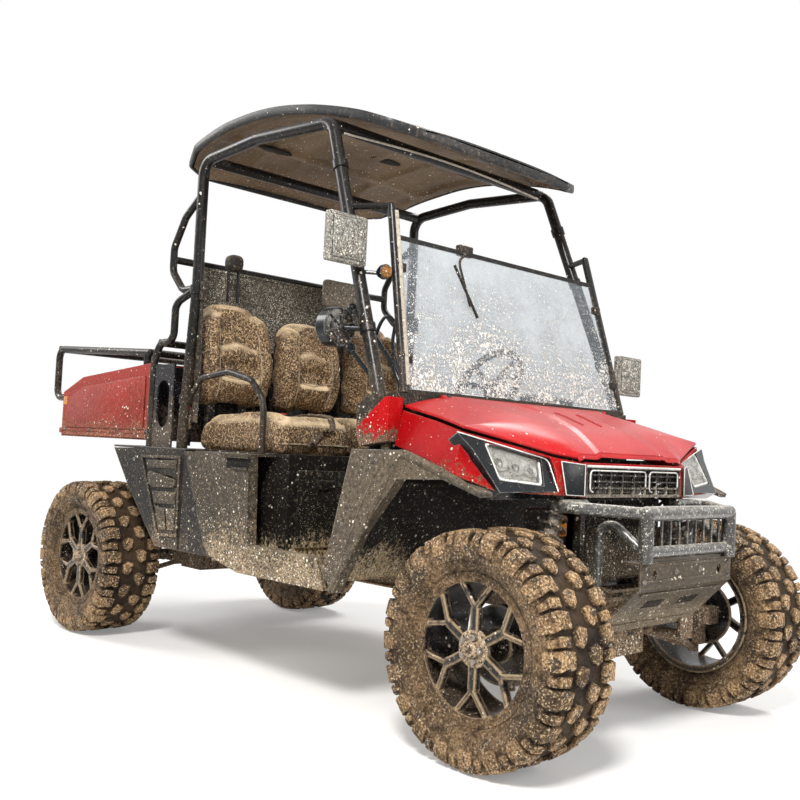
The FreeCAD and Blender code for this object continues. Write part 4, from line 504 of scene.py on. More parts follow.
# The blocks of one pitch as (y, degrees) corners on the side where y is positive.
long_block = ((0.062, -4.2), (0.1, -5.6), (0.122, -5.0), (0.122, 4.4), (0.092, 3.0), (0.078, 4.4),
              (0.062, 3.6))
centre_block = ((0.004, 4.5), (0.03, 3.0), (0.054, 5.4), (0.05, 11.4), (0.03, 13.2), (0.012, 10.4))
small_block = ((0.076, 7.0), (0.11, 6.2), (0.119, 7.6), (0.119, 11.2), (0.08, 11.8))
tread_seed = bmesh.new()
for side, shift in ((1, 0.0), (-1, BLOCK_PITCH / 2)):
    for block in (long_block, centre_block, small_block):
        outline = [(side * y, shift + angle) for y, angle in block]
        add_tread_block(tread_seed, outline if side > 0 else list(reversed(outline)))
    add_side_lug(tread_seed, side, shift - 5.0, shift + 4.4, 0.262)
    add_side_lug(tread_seed, side, shift + 7.4, shift + 11.2, 0.281)
face_out(tread_seed)
tread_mesh = grown("tread", mesh_of("tread_seed", tread_seed), ring_copies,
                   {"Count": BLOCKS, "Turn": 0.0, "Material": tyre_material})

for wheel, centre_x, centre_y, body in WHEELS:
    tyre_mesh = joined("dressed_tyre_" + wheel, [carcass_mesh, tread_mesh])
    rises = tyre_mesh.attributes.new("rise", "FLOAT", "POINT")
    for index, vert in enumerate(tyre_mesh.vertices):
        radius = math.hypot(vert.co.x, vert.co.z)
        lift = (radius - CARCASS + crown_drop(abs(vert.co.y))) / (TREAD_TOP - CARCASS)
        if abs(vert.co.y) > 0.1265:
            lift = 0.75
        elif radius < 0.3:
            lift = 0.42
        rises.data[index].value = max(0.0, min(1.0, lift))
        if radius > 0.306:
            dent = 0.5 + 0.5 * noise.noise(vert.co * 38.0 + Vector((centre_x, centre_y, 0.0)) * 7.0)
            vert.co.xz *= 1.0 - 0.016 * dent
    tyre_mesh.transform(Matrix.Translation((centre_x, centre_y, AXLE_Z)) @ Matrix.Rotation(TYRE_TURN, 4, "Y"))
    tyre_piece = piece("dressed_tyre_" + wheel, tyre_mesh, tyre_material, 40.0, body)
    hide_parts("tyre_" + wheel)

# Rims: cast alloy in gloss black, six forked spokes whose edges hold a line of dried mud.
# Each has a domed centre cap and five wheel nuts on studs, and it turns on the hub's stub.

NUTS = 5
CAP_FACE = 0.1135

rim_material = dirty_finish(
    "rim_gloss_black", (0.006, 0.006, 0.007), 0.24, (0.06, 0.16, 0.05, 0.5, 0.16), coat=0.25, edge=2.4,
    edge_colour=(0.58, 0.42, 0.25), edge_width=0.014)
cap_material = dirty_finish(
    "hub_cap_mud", (0.1, 0.075, 0.05), 0.7, (0.9, 0.9, 0.5, 1.0, 0.4), edge=0.4,
    dirt_colour=(0.36, 0.27, 0.18))
nut_material = dirty_finish(
    "wheel_nut_steel", (0.28, 0.27, 0.25), 0.35, (0.4, 0.4, 0.2, 0.6, 0.3), metallic=0.9, edge=0.5)
dress(rim_material, *["rim_" + wheel for wheel, x, y, body in WHEELS])
nut_shape = bmesh.new()
nut_place = Matrix.Translation((0, 0.094, 0.034)) @ Matrix.Rotation(-math.pi / 2, 4, "X")
bmesh.ops.create_cone(nut_shape, cap_ends=True, segments=6, radius1=0.0105, radius2=0.009, depth=0.02,
                      matrix=nut_place)
nut_ring = grown("nut_ring", mesh_of("nut_seed", nut_shape), ring_copies,
                 {"Count": NUTS, "Turn": 0.3, "Material": nut_material})
cap_shape = bmesh.new()
add_lathe(cap_shape, [(0.076, 0.052), (0.088, 0.052), (0.0905, 0.048), (0.091, 0.026), (0.104, 0.0245),
                      (0.11, 0.019), (0.113, 0.01), (CAP_FACE, 0.0005)], 36)
open_edges = [edge for edge in cap_shape.edges if edge.is_boundary]
tip_edges = [edge for edge in open_edges if abs(edge.verts[0].co.y - CAP_FACE) < 1e-4]
bmesh.ops.contextual_create(cap_shape, geom=tip_edges)
cap_mesh = mesh_of("hub_cap", cap_shape)
ring_shape = bmesh.new()
mud_profile = [(0.0905, 0.1815), (0.0962, 0.183), (0.0968, 0.19), (0.0966, 0.2), (0.0975, 0.2085),
               (0.095, 0.2095), (0.0945, 0.1835)]
add_lathe(ring_shape, mud_profile, 90, closed=True)
face_out(ring_shape)
ring_mesh = mesh_of("rim_mud", ring_shape)
ring_rises = ring_mesh.attributes.new("rise", "FLOAT", "POINT")
for flag in ring_rises.data:
    flag.value = 0.45
for wheel, centre_x, centre_y, body in WHEELS:
    side = 1 if centre_y > 0 else -1
    for name, source, material in (
            ("wheel_nuts_", nut_ring, nut_material), ("hub_cap_", cap_mesh, cap_material),
            ("rim_mud_", ring_mesh, tyre_material)):
        mesh = source.copy()
        mesh.transform(Matrix.Translation((centre_x, centre_y, AXLE_Z)) @ Matrix.Scale(side, 4, (0, 1, 0)))
        if side < 0:
            mesh.flip_normals()
        piece(name + wheel, mesh, material, body=body)

# Suspension and drive: tubular arms, coil-over dampers, cast uprights and half shafts with rubber boots.
# The springs are wound wire held between two pressed cups on each damper.

AXLES = (1.21, -1.09)
BOOT_Y = 0.413
BOOT_FOLDS = 6

cast_material = dirty_finish(
    "cast_upright", (0.03, 0.029, 0.028), 0.55, (0.4, 0.75, 0.1, 0.75, 0.45), metallic=0.5, edge=0.5)
arm_material = dirty_finish(
    "arm_black_paint", (0.014, 0.014, 0.014), 0.38, (0.35, 0.7, 0.1, 0.7, 0.55), coat=0.3, edge=0.6)
damper_material = dirty_finish(
    "damper_steel", (0.16, 0.155, 0.15), 0.32, (0.4, 0.6, 0.3, 0.9, 0.4), metallic=0.85)
spring_material = dirty_finish(
    "spring_black", (0.02, 0.02, 0.021), 0.35, (0.4, 0.5, 0.3, 0.9, 0.5), coat=0.4)
boot_material = dirty_finish("boot_rubber", (0.022, 0.021, 0.02), 0.75, (0.4, 0.8, 0.1, 0.6, 0.4))
dress(cast_material, "knuckle_left", "knuckle_right", "rear_hubs", "front_drive", "rear_drive")
dress(arm_material, "front_arms", "rear_arms", "steering_rack")
dress(damper_material, "dampers")

coil_maker, wires, given = open_maker("wound_spring", Turns="Float", Radius="Float", Height="Float",
                                      Wire="Float")
spiral = wires.node("GeometryNodeCurveSpiral", {
    "Resolution": 22, "Rotations": given["Turns"], "Start Radius": given["Radius"],
    "End Radius": given["Radius"], "Height": given["Height"]})
wire = wires.node("GeometryNodeCurvePrimitiveCircle", {"Resolution": 8, "Radius": given["Wire"]})
solid = {"Curve": spiral.outputs[0], "Profile Curve": wire.outputs[0], "Fill Caps": True}
close_maker(coil_maker, wires, given, wires.node("GeometryNodeCurveToMesh", solid).outputs[0])

coil = grown("coil", bpy.data.meshes.new("coil_seed"), coil_maker,
             {"Turns": 6.0, "Radius": 0.038, "Height": 0.205, "Wire": 0.0058, "Material": spring_material})
cup_shape = bmesh.new()
add_lathe(cup_shape, [(0.0, 0.0262), (0.0, 0.046), (0.006, 0.0465), (0.008, 0.044), (0.008, 0.0262)], 28,
          closed=True)
cup_mesh = mesh_of("spring_cup", cup_shape)
cup_mesh.transform(Matrix.Rotation(math.pi / 2, 4, "X"))
spring_parts = []
for axle_x in AXLES:
    for side in (-1, 1):
        foot, top = Vector((axle_x, side * 0.395, 0.47)), Vector((axle_x, side * 0.305, 0.8))
        lean = (top - foot).normalized().to_track_quat("Z", "Y").to_matrix().to_4x4()
        for source, share in ((coil, 0.3), (cup_mesh, 0.3), (cup_mesh, 0.915)):
            mesh = source.copy()
            mesh.transform(Matrix.Translation(foot.lerp(top, share)) @ lean)
            spring_parts.append(mesh)
spring_mesh = joined("damper_springs", spring_parts)
piece("damper_springs", spring_mesh, spring_material, 60.0)


def move_new(shape, start, turn):
    """Moves the points that a shape has gained since it had start of them."""
    shape.verts.ensure_lookup_table()
    for vert in shape.verts[start:]:
        vert.co = turn @ vert.co


boot_shape = bmesh.new()
for axle_x in AXLES:
    for side in (-1, 1):
        profile = [(side * (BOOT_Y - 0.006), 0.0165)]
        for fold in range(BOOT_FOLDS):
            y, grow = BOOT_Y + 0.0105 * fold, 0.0014 * fold
            profile += [(side * y, 0.0285 + grow), (side * (y + 0.005), 0.0345 + grow)]
        profile += [(side * (BOOT_Y + 0.066), 0.0285)]
        start = len(boot_shape.verts)
        add_lathe(boot_shape, profile if side < 0 else list(reversed(profile)), 28)
        move_new(boot_shape, start, Matrix.Translation((axle_x, 0.0, AXLE_Z)))
face_out(boot_shape)
built("drive_boots", boot_shape, boot_material, 80.0)

# Chassis: a welded ladder frame in black paint, a plastic belly plate, the engine as one alloy block
# with its belt cover and cooling fins, a round muffler across the tail, and a square hitch receiver.

frame_material = dirty_finish(
    "frame_black_paint", (0.013, 0.013, 0.013), 0.42, (0.3, 0.6, 0.25, 0.75, 0.5), coat=0.2, edge=0.5)
belly_material = dirty_finish("belly_plastic", (0.018, 0.018, 0.018), 0.6, (0.5, 0.8, 0.3, 0.7, 0.5))
engine_material = dirty_finish(
    "engine_alloy", (0.21, 0.2, 0.19), 0.45, (0.5, 0.7, 0.3, 0.85, 0.45), metallic=0.7, grain=0.2,
    grain_scale=500.0)
muffler_material = dirty_finish(
    "muffler_steel", (0.19, 0.155, 0.125), 0.42, (0.4, 0.5, 0.4, 0.75, 0.4), metallic=0.8,
    second_colour=(0.11, 0.065, 0.04))
dress(frame_material, "frame", "hitch_receiver")
dress(belly_material, "belly_plate")
dress(engine_material, "engine_block")
dress(muffler_material, "muffler")


def bevel_points(shape, verts, bevel, segments=2):
    """Rounds every edge that meets the given points."""
    if bevel > 0:
        edges = list(dict.fromkeys(edge for vert in verts for edge in vert.link_edges))
        bmesh.ops.bevel(shape, geom=edges, offset=bevel, segments=segments, affect="EDGES", profile=0.5)


def add_box(shape, low, high, bevel=0.003, turn=None, segments=2):
    """A bevelled block between two corners, turned about its middle where turn is given."""
    middle = (Vector(low) + Vector(high)) / 2
    size = Vector(high) - Vector(low)
    made = bmesh.ops.create_cube(shape, size=1.0)["verts"]
    for vert in made:
        offset = vert.co * size
        vert.co = middle + (turn @ offset if turn else offset)
    bevel_points(shape, made, bevel, segments)


def add_tube(shape, points, radius, sides=10):
    """A round tube through points; radius is one size or one for each point."""
    run = [Vector(point) for point in points]
    sizes = list(radius) if isinstance(radius, (list, tuple)) else [radius] * len(run)
    across = None
    rings = []
    for index, point in enumerate(run):
        along = (run[min(index + 1, len(run) - 1)] - run[max(index - 1, 0)]).normalized()
        if across is None:
            across = along.orthogonal().normalized()
        across = (across - along * across.dot(along)).normalized()
        other = along.cross(across)
        ring = []
        for step in range(sides):
            turn = 2 * math.pi * step / sides
            reach = (math.cos(turn) * across + math.sin(turn) * other) * sizes[index]
            ring.append(shape.verts.new(point + reach))
        rings.append(ring)
    for low, high in zip(rings[:-1], rings[1:]):
        bridge(shape, low, high)
    shape.faces.new(list(reversed(rings[0])))
    shape.faces.new(rings[-1])


def eased(points, bend, steps=5):
    """A run of points whose corners are turned on a curve."""
    run = [Vector(point) for point in points]
    out = [run[0]]
    for before, corner, after in zip(run[:-2], run[1:-1], run[2:]):
        back = min(bend, (before - corner).length * 0.48)
        ahead = min(bend, (after - corner).length * 0.48)
        start = corner + (before - corner).normalized() * back
        end = corner + (after - corner).normalized() * ahead
        for step in range(steps + 1):
            share = step / steps
            out.append(start.lerp(corner, share).lerp(corner.lerp(end, share), share))
    out.append(run[-1])
    return out


def add_plate(shape, outline, push, bevel=0.0):
    """A flat plate from its corners, grown along push."""
    low = [shape.verts.new(Vector(point)) for point in outline]
    high = [shape.verts.new(Vector(point) + Vector(push)) for point in outline]
    faces = [shape.faces.new(low), shape.faces.new(high)] + bridge(shape, low, high)
    bmesh.ops.recalc_face_normals(shape, faces=faces)
    bevel_points(shape, low + high, bevel)


row_copies, wires, given = open_maker("copies_in_a_row", Count="Int", Step="Vector")
line = wires.node("GeometryNodeMeshLine", {"Count": given["Count"], "Offset": given["Step"]}).outputs[0]
copies = {"Points": line, "Instance": given["Geometry"]}
close_maker(row_copies, wires, given, wires.node("GeometryNodeInstanceOnPoints", copies).outputs[0])


def add_rows(name, material, slot, bevel, *rows, body="chassis"):
    """A piece of rows of like blocks: each row is its first block's corners, how many, and the step."""
    meshes = []
    for low, high, count, step in rows:
        seed = bmesh.new()
        add_box(seed, low, high, bevel, segments=1)
        meshes.append(grown(name, mesh_of(name + "_seed", seed), row_copies,
                            {"Count": count, "Step": step, "Material": material}))
    return piece(name, joined(name, meshes), material, body=body)


bolt_maker, wires, given = open_maker("bolt_heads", Size="Float")
head_and_washer = wires.node("GeometryNodeJoinGeometry")
for sides, radius, depth, lift in ((6, 1.0, 0.9, 0.55), (18, 1.7, 0.24, 0.1)):
    disc = wires.node("GeometryNodeMeshCylinder", {"Vertices": sides, "Radius": radius, "Depth": depth})
    lifted = {"Geometry": disc.outputs["Mesh"], "Translation": (0.0, 0.0, lift)}
    wires.join(wires.node("GeometryNodeTransform", lifted).outputs[0], head_and_washer.inputs[0])
aim = wires.node("GeometryNodeInputNamedAttribute", {"Name": "aim"}, data_type="FLOAT_VECTOR")
lean = wires.node("FunctionNodeAlignRotationToVector", {"Vector": aim.outputs["Attribute"]}, axis="Z")
copies = {"Points": given["Geometry"], "Instance": head_and_washer.outputs[0], "Rotation": lean.outputs[0],
          "Scale": given["Size"]}
close_maker(bolt_maker, wires, given, wires.node("GeometryNodeInstanceOnPoints", copies).outputs[0])
bolt_material = dirty_finish("bolt_zinc", (0.2, 0.19, 0.175), 0.35, (0.4, 0.5, 0.2, 0.8, 0.3), metallic=0.8)


def add_bolts(name, places, size, body="chassis"):
    """Hexagon heads on washers at (point, outward direction) places."""
    seed = bpy.data.meshes.new(name)
    seed.from_pydata([place for place, aim in places], [], [])
    aims = seed.attributes.new("aim", "FLOAT_VECTOR", "POINT")
    for index, (place, aim) in enumerate(places):
        aims.data[index].vector = Vector(aim).normalized()
    mesh = grown(name, seed, bolt_maker, {"Size": size, "Material": bolt_material})
    for attribute in [attribute for attribute in mesh.attributes if attribute.name == "aim"]:
        mesh.attributes.remove(attribute)
    return piece(name, mesh, bolt_material, body=body)


COVER_Y = 0.226
cover_shape = bmesh.new()
cover_outline = []
for centre_x, centre_z, radius, first_deg in ((-0.64, 0.6, 0.115, -90), (-0.8, 0.56, 0.09, 90)):
    for step in range(13):
        turn = math.radians(first_deg + 15 * step)
        x, z = centre_x + radius * math.cos(turn), centre_z + radius * math.sin(turn)
        cover_outline.append((x, COVER_Y, z))
add_plate(cover_shape, cover_outline, (0, 0.034, 0), 0.008)
inner = [((x + 0.715) * 0.72 - 0.715, 0.255, (z - 0.58) * 0.62 + 0.58) for x, y, z in cover_outline]
add_plate(cover_shape, inner, (0, 0.012, 0), 0.005)
add_box(cover_shape, (-0.885, -0.1, 0.8), (-0.735, 0.1, 0.838), 0.01)
add_box(cover_shape, (-0.69, -0.16, 0.8), (-0.56, 0.14, 0.832), 0.008)
built("engine_belt_cover", cover_shape, belly_material)
add_rows("engine_cooling_fins", engine_material, "engine_alloy", 0.001,
         ((-0.9, -0.239, 0.5), (-0.54, -0.224, 0.506), 16, (0, 0, 0.017)),
         ((-0.945, -0.2, 0.52), (-0.929, 0.2, 0.527), 13, (0, 0, 0.02)))

pipe_shape = bmesh.new()
pipe_run = [(-0.93, -0.08, 0.6), (-1.02, -0.1, 0.6), (-1.18, -0.15, 0.66), (-1.262, -0.15, 0.64)]
add_tube(pipe_shape, eased(pipe_run, 0.06), 0.019, 14)
tail_run = [(-1.325, 0.205, 0.6), (-1.325, 0.25, 0.6), (-1.385, 0.262, 0.585)]
add_tube(pipe_shape, eased(tail_run, 0.04), 0.021, 16)
built("exhaust_pipe", pipe_shape, muffler_material)
add_rows("belly_ribs", belly_material, "floor_plastic", 0.002,
         ((-0.8, -0.262, 0.3665), (-0.772, 0.262, 0.3735), 9, (0.17, 0, 0)))

# Floor: a moulded black plastic tub with a ribbed mat on each side, and two pedals on steel arms.
# The wheels throw mud in through the open sides, so pale drops cover the seat box and tan mud the floor.

PEDAL_LEAN = Matrix.Rotation(math.radians(-38), 3, "Y")

floor_material = dirty_finish(
    "floor_black_plastic", (0.003, 0.0035, 0.005), 0.34, (0.12, 1.0, 0.4, 0.58, 0.42), edge=0.1,
    dirt_colour=(0.46, 0.35, 0.22))
mat_material = dirty_finish(
    "floor_mat_rubber", (0.016, 0.016, 0.016), 0.8, (0.9, 0.9, 0.42, 0.6, 0.5),
    dirt_colour=(0.5, 0.39, 0.25))
dress(floor_material, "floor_tub")
add_rows("floor_mat_ribs", mat_material, "floor_plastic", 0.001,
         ((0.24, 0.06, 0.4555), (0.6, 0.075, 0.4625), 17, (0, 0.032, 0)),
         ((0.24, -0.587, 0.4555), (0.6, -0.572, 0.4625), 17, (0, 0.032, 0)))
pedal_shape = bmesh.new()
for pedal_y, width, low_z in ((0.395, 0.05, 0.535), (0.235, 0.085, 0.56)):
    low = (0.578, pedal_y - width / 2, low_z)
    high = (0.592, pedal_y + width / 2, low_z + 0.085)
    add_box(pedal_shape, low, high, 0.004, PEDAL_LEAN)
    arm = [(0.592, pedal_y, low_z + 0.045), (0.625, pedal_y, low_z + 0.1), (0.7, pedal_y, low_z + 0.26)]
    add_tube(pedal_shape, eased(arm, 0.05), 0.0075, 10)
built("pedals", pedal_shape, arm_material)


def add_boxes(shape, bevel, *corners):
    """Blocks of one bevel, each from its low and high corner."""
    for low, high in corners:
        add_box(shape, low, high, bevel)


step_shape = bmesh.new()
for side in (-1, 1):
    add_box(step_shape, (0.01, side * 0.6 - 0.02, 0.455), (0.575, side * 0.6 + 0.02, 0.474), 0.006)
add_boxes(step_shape, 0.004, ((0.21, -0.52, 0.49), (0.2185, -0.3, 0.77)),
          ((0.21, -0.2, 0.52), (0.2185, 0.1, 0.74)), ((0.21, 0.2, 0.49), (0.2185, 0.52, 0.77)),
          ((0.2175, -0.43, 0.7), (0.2265, -0.35, 0.735)))
built("seat_box_covers", step_shape, floor_material)

# Side panels and fenders: charcoal moulded plastic bolted over the frame, dull with dried dust.
# The rear fender holds a framed inlay of raised pads, the side panel a slot for the fingers,
# and the front flare carries a rounded lip over the wheel.

PANEL_FACE = 0.6822
FLARE_FACE = 0.6925
INLAY_CORNERS = ((-0.6, 0.79), (-0.306, 0.797), (-0.302, 0.486), (-0.445, 0.478))

# The three side plastics are painted paler along their edges: partly dust, partly a painted highlight on the
# rims.
panel_material = dirty_finish(
    "charcoal_side_plastic", (0.034, 0.028, 0.021), 0.5, (0.3, 0.85, 0.38, 0.62, 0.7), grain=0.25,
    edge=0.9, edge_colour=(0.17, 0.155, 0.13), dirt_colour=(0.3, 0.225, 0.145),
    second_colour=(0.07, 0.056, 0.04))
fender_material = dirty_finish(
    "fender_black_plastic", (0.003, 0.004, 0.006), 0.34, (0.16, 0.35, 0.3, 0.62, 0.35), coat=0.1,
    grain=0.2, edge=1.4, edge_colour=(0.21, 0.2, 0.18), edge_width=0.006,
    second_colour=(0.022, 0.019, 0.016), shine=0.12)
flare_material = dirty_finish(
    "front_flare_plastic", (0.048, 0.04, 0.031), 0.46, (0.35, 0.5, 0.3, 0.62, 0.45), grain=0.25,
    edge=1.0, edge_colour=(0.27, 0.25, 0.22), edge_width=0.007, dirt_colour=(0.24, 0.19, 0.13),
    second_colour=(0.095, 0.074, 0.05))
# Flat black plates stand for slots, holes and vents: painted shadow where the openings are.
dark_gap = dirty_finish("shadow_gap_black", (0.006, 0.006, 0.006), 0.8, edge=0.0)
dress(panel_material, "side_panel_left", "side_panel_right")
dress(fender_material, "rear_fender_left", "rear_fender_right")
dress(flare_material, "front_fender_left", "front_fender_right")


def inlay_point(across, down, y):
    """A point of the fender's inlay: across from its rear edge, down from its top."""
    rear_top, front_top, front_low, rear_low = (Vector((x, 0, z)) for x, z in INLAY_CORNERS)
    point = rear_top.lerp(rear_low, down).lerp(front_top.lerp(front_low, down), across)
    return (point.x, y, point.z)


inlay_shape, slot_shape = bmesh.new(), bmesh.new()
inlay_x = sum(x for x, z in INLAY_CORNERS) / 4
inlay_z = sum(z for x, z in INLAY_CORNERS) / 4
for side in (-1, 1):
    face = side * PANEL_FACE
    for first, second in zip(INLAY_CORNERS, INLAY_CORNERS[1:] + INLAY_CORNERS[:1]):
        outline = []
        for share, (x, z) in ((1.0, first), (1.0, second), (0.93, second), (0.93, first)):
            outline.append((inlay_x + (x - inlay_x) * share, face, inlay_z + (z - inlay_z) * share))
        add_plate(inlay_shape, outline, (0, side * 0.0075, 0), 0.002)
    for low_a, high_a, low_d, high_d, push in (
            (0.12, 0.9, 0.06, 0.16, 0.005), (0.1, 0.92, 0.2, 0.4, 0.011), (0.14, 0.9, 0.45, 0.6, 0.006),
            (0.16, 0.48, 0.66, 0.92, 0.006), (0.56, 0.9, 0.66, 0.92, 0.006)):
        corners = ((low_a, low_d), (high_a, low_d), (high_a, high_d), (low_a, high_d))
        outline = [inlay_point(across, down, face) for across, down in corners]
        if push > 0.01:
            outline = [tuple(point) for point in eased(outline + outline[:2], 0.03, 4)[6:-1]][:24]
        add_plate(inlay_shape, outline, (0, side * push, 0), 0.002)
    for low_x, high_x, low_z, high_z in ((0.002, 0.137, 0.766, 0.806), (-0.3, -0.286, 0.44, 0.8)):
        add_box(slot_shape, (low_x, face - 0.001, low_z), (high_x, face + side * 0.0008, high_z), 0.0)
    add_box(inlay_shape, (-0.002, face - 0.0005, 0.804), (0.141, face + side * 0.008, 0.812), 0.0025)
    add_box(inlay_shape, (0.04, face - 0.0005, 0.764), (0.135, face + side * 0.006, 0.771), 0.002)
built("rear_fender_inlays", inlay_shape, panel_material)
# The finger slots are flat plates of painted shadow.
built("side_panel_slots", slot_shape, dark_gap)

flare_line = [(0.612, 0.412), (0.686, 0.52), (0.745, 0.603), (0.893, 0.848), (0.907, 0.862), (1.075, 0.811),
              (1.224, 0.756)]
seam_line = [(0.64, 0.452), (0.742, 0.69), (0.812, 0.8)]
bolt_spots = [(-0.225, 0.45), (-0.05, 0.43), (0.12, 0.42), (0.3, 0.415), (0.48, 0.415), (-0.245, 0.79),
              (-0.2, 0.6), (-0.66, 0.77), (-0.55, 0.47)]
flare_spots = [(0.66, 0.62), (0.8, 0.825), (0.6, 0.47)]
lip_shape = bmesh.new()
panel_bolts = []
for side in (-1, 1):
    lip_run = eased([(x, side * 0.689, z - 0.006) for x, z in flare_line], 0.05, 6)
    add_tube(lip_shape, lip_run, [0.007] + [0.0125] * (len(lip_run) - 2) + [0.007], 12)
    add_tube(lip_shape, eased([(x, side * FLARE_FACE, z) for x, z in seam_line], 0.1), 0.0022, 8)
    for y, spots in ((PANEL_FACE, bolt_spots), (FLARE_FACE, flare_spots)):
        panel_bolts += [((x, side * y, z), (0, side, 0)) for x, z in spots]
built("flare_lips", lip_shape, flare_material, 60.0)
add_bolts("side_panel_bolts", panel_bolts, 0.0048)

# Front body: gloss red plastic over the wheels and nose, and a hinged hood moulded in one sheet.
# A ridge runs down each side of the hood to its lip, two gills lie in it as dark plates of painted
# shade, and charcoal wedges flank the grille.

HOOD_REAR_X, HOOD_LENGTH, HOOD_HALF = 0.84, 0.435, 0.7
HOOD_LOW_Z, HOOD_RISE = 0.745, 0.29
HOOD_THICK = 0.008
HINGE_X, HINGE_Z = 0.84, 1.034
LIP_X, LIP_THICK = 1.2665, 0.004

red_material = dirty_finish(
    "red_gloss_plastic", (0.47, 0.006, 0.009), 0.33, (0.05, 0.6, 0.7, 0.88, 0.14), coat=0.14,
    edge_colour=(0.62, 0.06, 0.05), edge_width=0.006, dirt_colour=(0.16, 0.1, 0.06),
    second_colour=(0.34, 0.004, 0.007))
# The nose is the hood's red painted darker, as painted shade on its steep faces, and its pale pink edges are
# a painted highlight.
nose_material = dirty_finish(
    "red_nose_painted_shade", (0.33, 0.003, 0.005), 0.45, (0.03, 0.7, 0.7, 0.88, 0.16), edge=0.4,
    edge_colour=(0.72, 0.2, 0.17), edge_width=0.006, dirt_colour=(0.16, 0.1, 0.06),
    second_colour=(0.26, 0.002, 0.004), shine=0.06)
corner_material = dirty_finish(
    "red_muddy_corner", (0.42, 0.004, 0.006), 0.48, (0.04, 0.95, 0.86, 0.97, 0.35),
    dirt_colour=(0.13, 0.095, 0.065), shine=0.05)
gill_material = dirty_finish("hood_gill_painted_shade", (0.12, 0.003, 0.004), 0.5, (0.1, 0.2, 0.2, 0.8, 0.1), edge=0.0)
# The wedges' pale edge colour is a painted highlight along their rims.
wedge_material = dirty_finish(
    "charcoal_wedge", (0.008, 0.011, 0.014), 0.34, (0.06, 0.1, 0.6, 0.8, 0.12), coat=0.1, edge=0.9,
    edge_colour=(0.3, 0.29, 0.27))
cowl_material = dirty_finish(
    "cowl_black_plastic", (0.01, 0.01, 0.011), 0.5, (0.35, 0.3, 0.9, 1.1, 0.6), grain=0.2)
dress(red_material, "hood")
dress(nose_material, "nose")
dress(corner_material, "cowl_corner_left", "cowl_corner_right")
dress(cowl_material, "cowl")


def along_table(table, x, column, soft=True):
    """A column of a table of stations at x, on a soft curve or straight between stations."""
    index = max(0, min(len(table) - 2, sum(1 for row in table if row[0] <= x) - 1))
    low, high = table[index], table[index + 1]
    span = high[0] - low[0]
    share = (x - low[0]) / span
    if not soft:
        return low[column] + (high[column] - low[column]) * share
    before, after = table[max(index - 1, 0)], table[min(index + 2, len(table) - 1)]
    slope_low = (high[column] - before[column]) / (high[0] - before[0]) * span
    slope_high = (after[column] - low[column]) / (after[0] - low[0]) * span
    square, cube = share ** 2, share ** 3
    return (low[column] * (2 * cube - 3 * square + 1) + slope_low * (cube - 2 * square + share)
            + high[column] * (3 * square - 2 * cube) + slope_high * (cube - square))


def nose_place(x_share, y_share, z_share, lift=0.0):
    """A place on the nose from its shares of the hood's length, half width and rise."""
    z = HOOD_LOW_Z + HOOD_RISE * z_share + lift
    return Vector((HOOD_REAR_X + HOOD_LENGTH * x_share, HOOD_HALF * y_share, z))


# Each station of the hood: its share of the length, the height of the middle, the half width and
# height of the ridge, and the half width and height of the edge, all as shares.
hood_table = [
    (0.0, 1.0, 0.57, 1.0, 0.88, 0.86), (0.39, 0.85, 0.51, 0.86, 0.9, 0.74),
    (0.64, 0.71, 0.47, 0.73, 0.93, 0.65), (0.74, 0.64, 0.45, 0.65, 0.75, 0.56),
    (0.87, 0.52, 0.42, 0.53, 0.53, 0.44), (0.96, 0.43, 0.36, 0.43, 0.42, 0.4)]


def hood_top(x_share, y_share, lift):
    """A point between the hood's middle and its ridge."""
    centre_z, ridge_y, ridge_z = (along_table(hood_table, x_share, column) for column in (1, 2, 3))
    return nose_place(x_share, y_share, centre_z + (ridge_z - centre_z) * (y_share / ridge_y) ** 2, lift)


def hood_line(x_share):
    """The hood's cross section from its middle to its right edge."""
    crease_y = (0.105 + 0.085 * x_share ** 2) / HOOD_HALF
    raised = 0.0075 * min(1.0, x_share / 0.2)
    ridge_y, ridge_z = along_table(hood_table, x_share, 2), along_table(hood_table, x_share, 3)
    edge_y, edge_z = along_table(hood_table, x_share, 4, False), along_table(hood_table, x_share, 5, False)
    flat_y = crease_y + 0.034
    line = []
    for y_share, lift in ((0.0, 0.8), (crease_y * 0.5, 0.85), (crease_y * 0.94, 1.0), (crease_y, 1.0),
                          (crease_y + 0.022, 0.12), (flat_y, 0.0), ((flat_y + ridge_y) / 2, 0.0)):
        line.append(hood_top(x_share, y_share, 0.006 + raised * lift))
    line.append(nose_place(x_share, ridge_y * 0.985, ridge_z, 0.0065))
    for step in range(1, 8):
        share = step / 7
        belly = 0.0045 * math.sin(math.pi * share)
        line.append(nose_place(x_share, ridge_y + (edge_y - ridge_y) * share,
                               ridge_z + (edge_z - ridge_z) * share, 0.006 + belly))
    return line


def add_shell(shape, top_rows, low_rows):
    """A closed shell between rows of points on top and as many below."""
    tops = [[shape.verts.new(point) for point in row] for row in top_rows]
    lows = [[shape.verts.new(point) for point in row] for row in low_rows]
    for rows in (tops, lows):
        for first, second in zip(rows, rows[1:]):
            bridge(shape, first, second, closed=False)
    for end in (0, -1):
        bridge(shape, tops[end], lows[end], closed=False)
        bridge(shape, [row[end] for row in tops], [row[end] for row in lows], closed=False)
    face_out(shape)


def moved_line(line, x=0.0, y=0.0, z=0.0):
    """A line of points, moved."""
    return [point + Vector((x, y, z)) for point in line]


hood_rows = []
for x_share in sorted({row[0] for row in hood_table} | {0.96 * step / 30 for step in range(31)}):
    half = hood_line(x_share)
    hood_rows.append([Vector((point.x, -point.y, point.z)) for point in reversed(half[1:])] + half)
hood_shape = bmesh.new()
add_shell(hood_shape, hood_rows, [moved_line(row, z=-HOOD_THICK) for row in hood_rows])
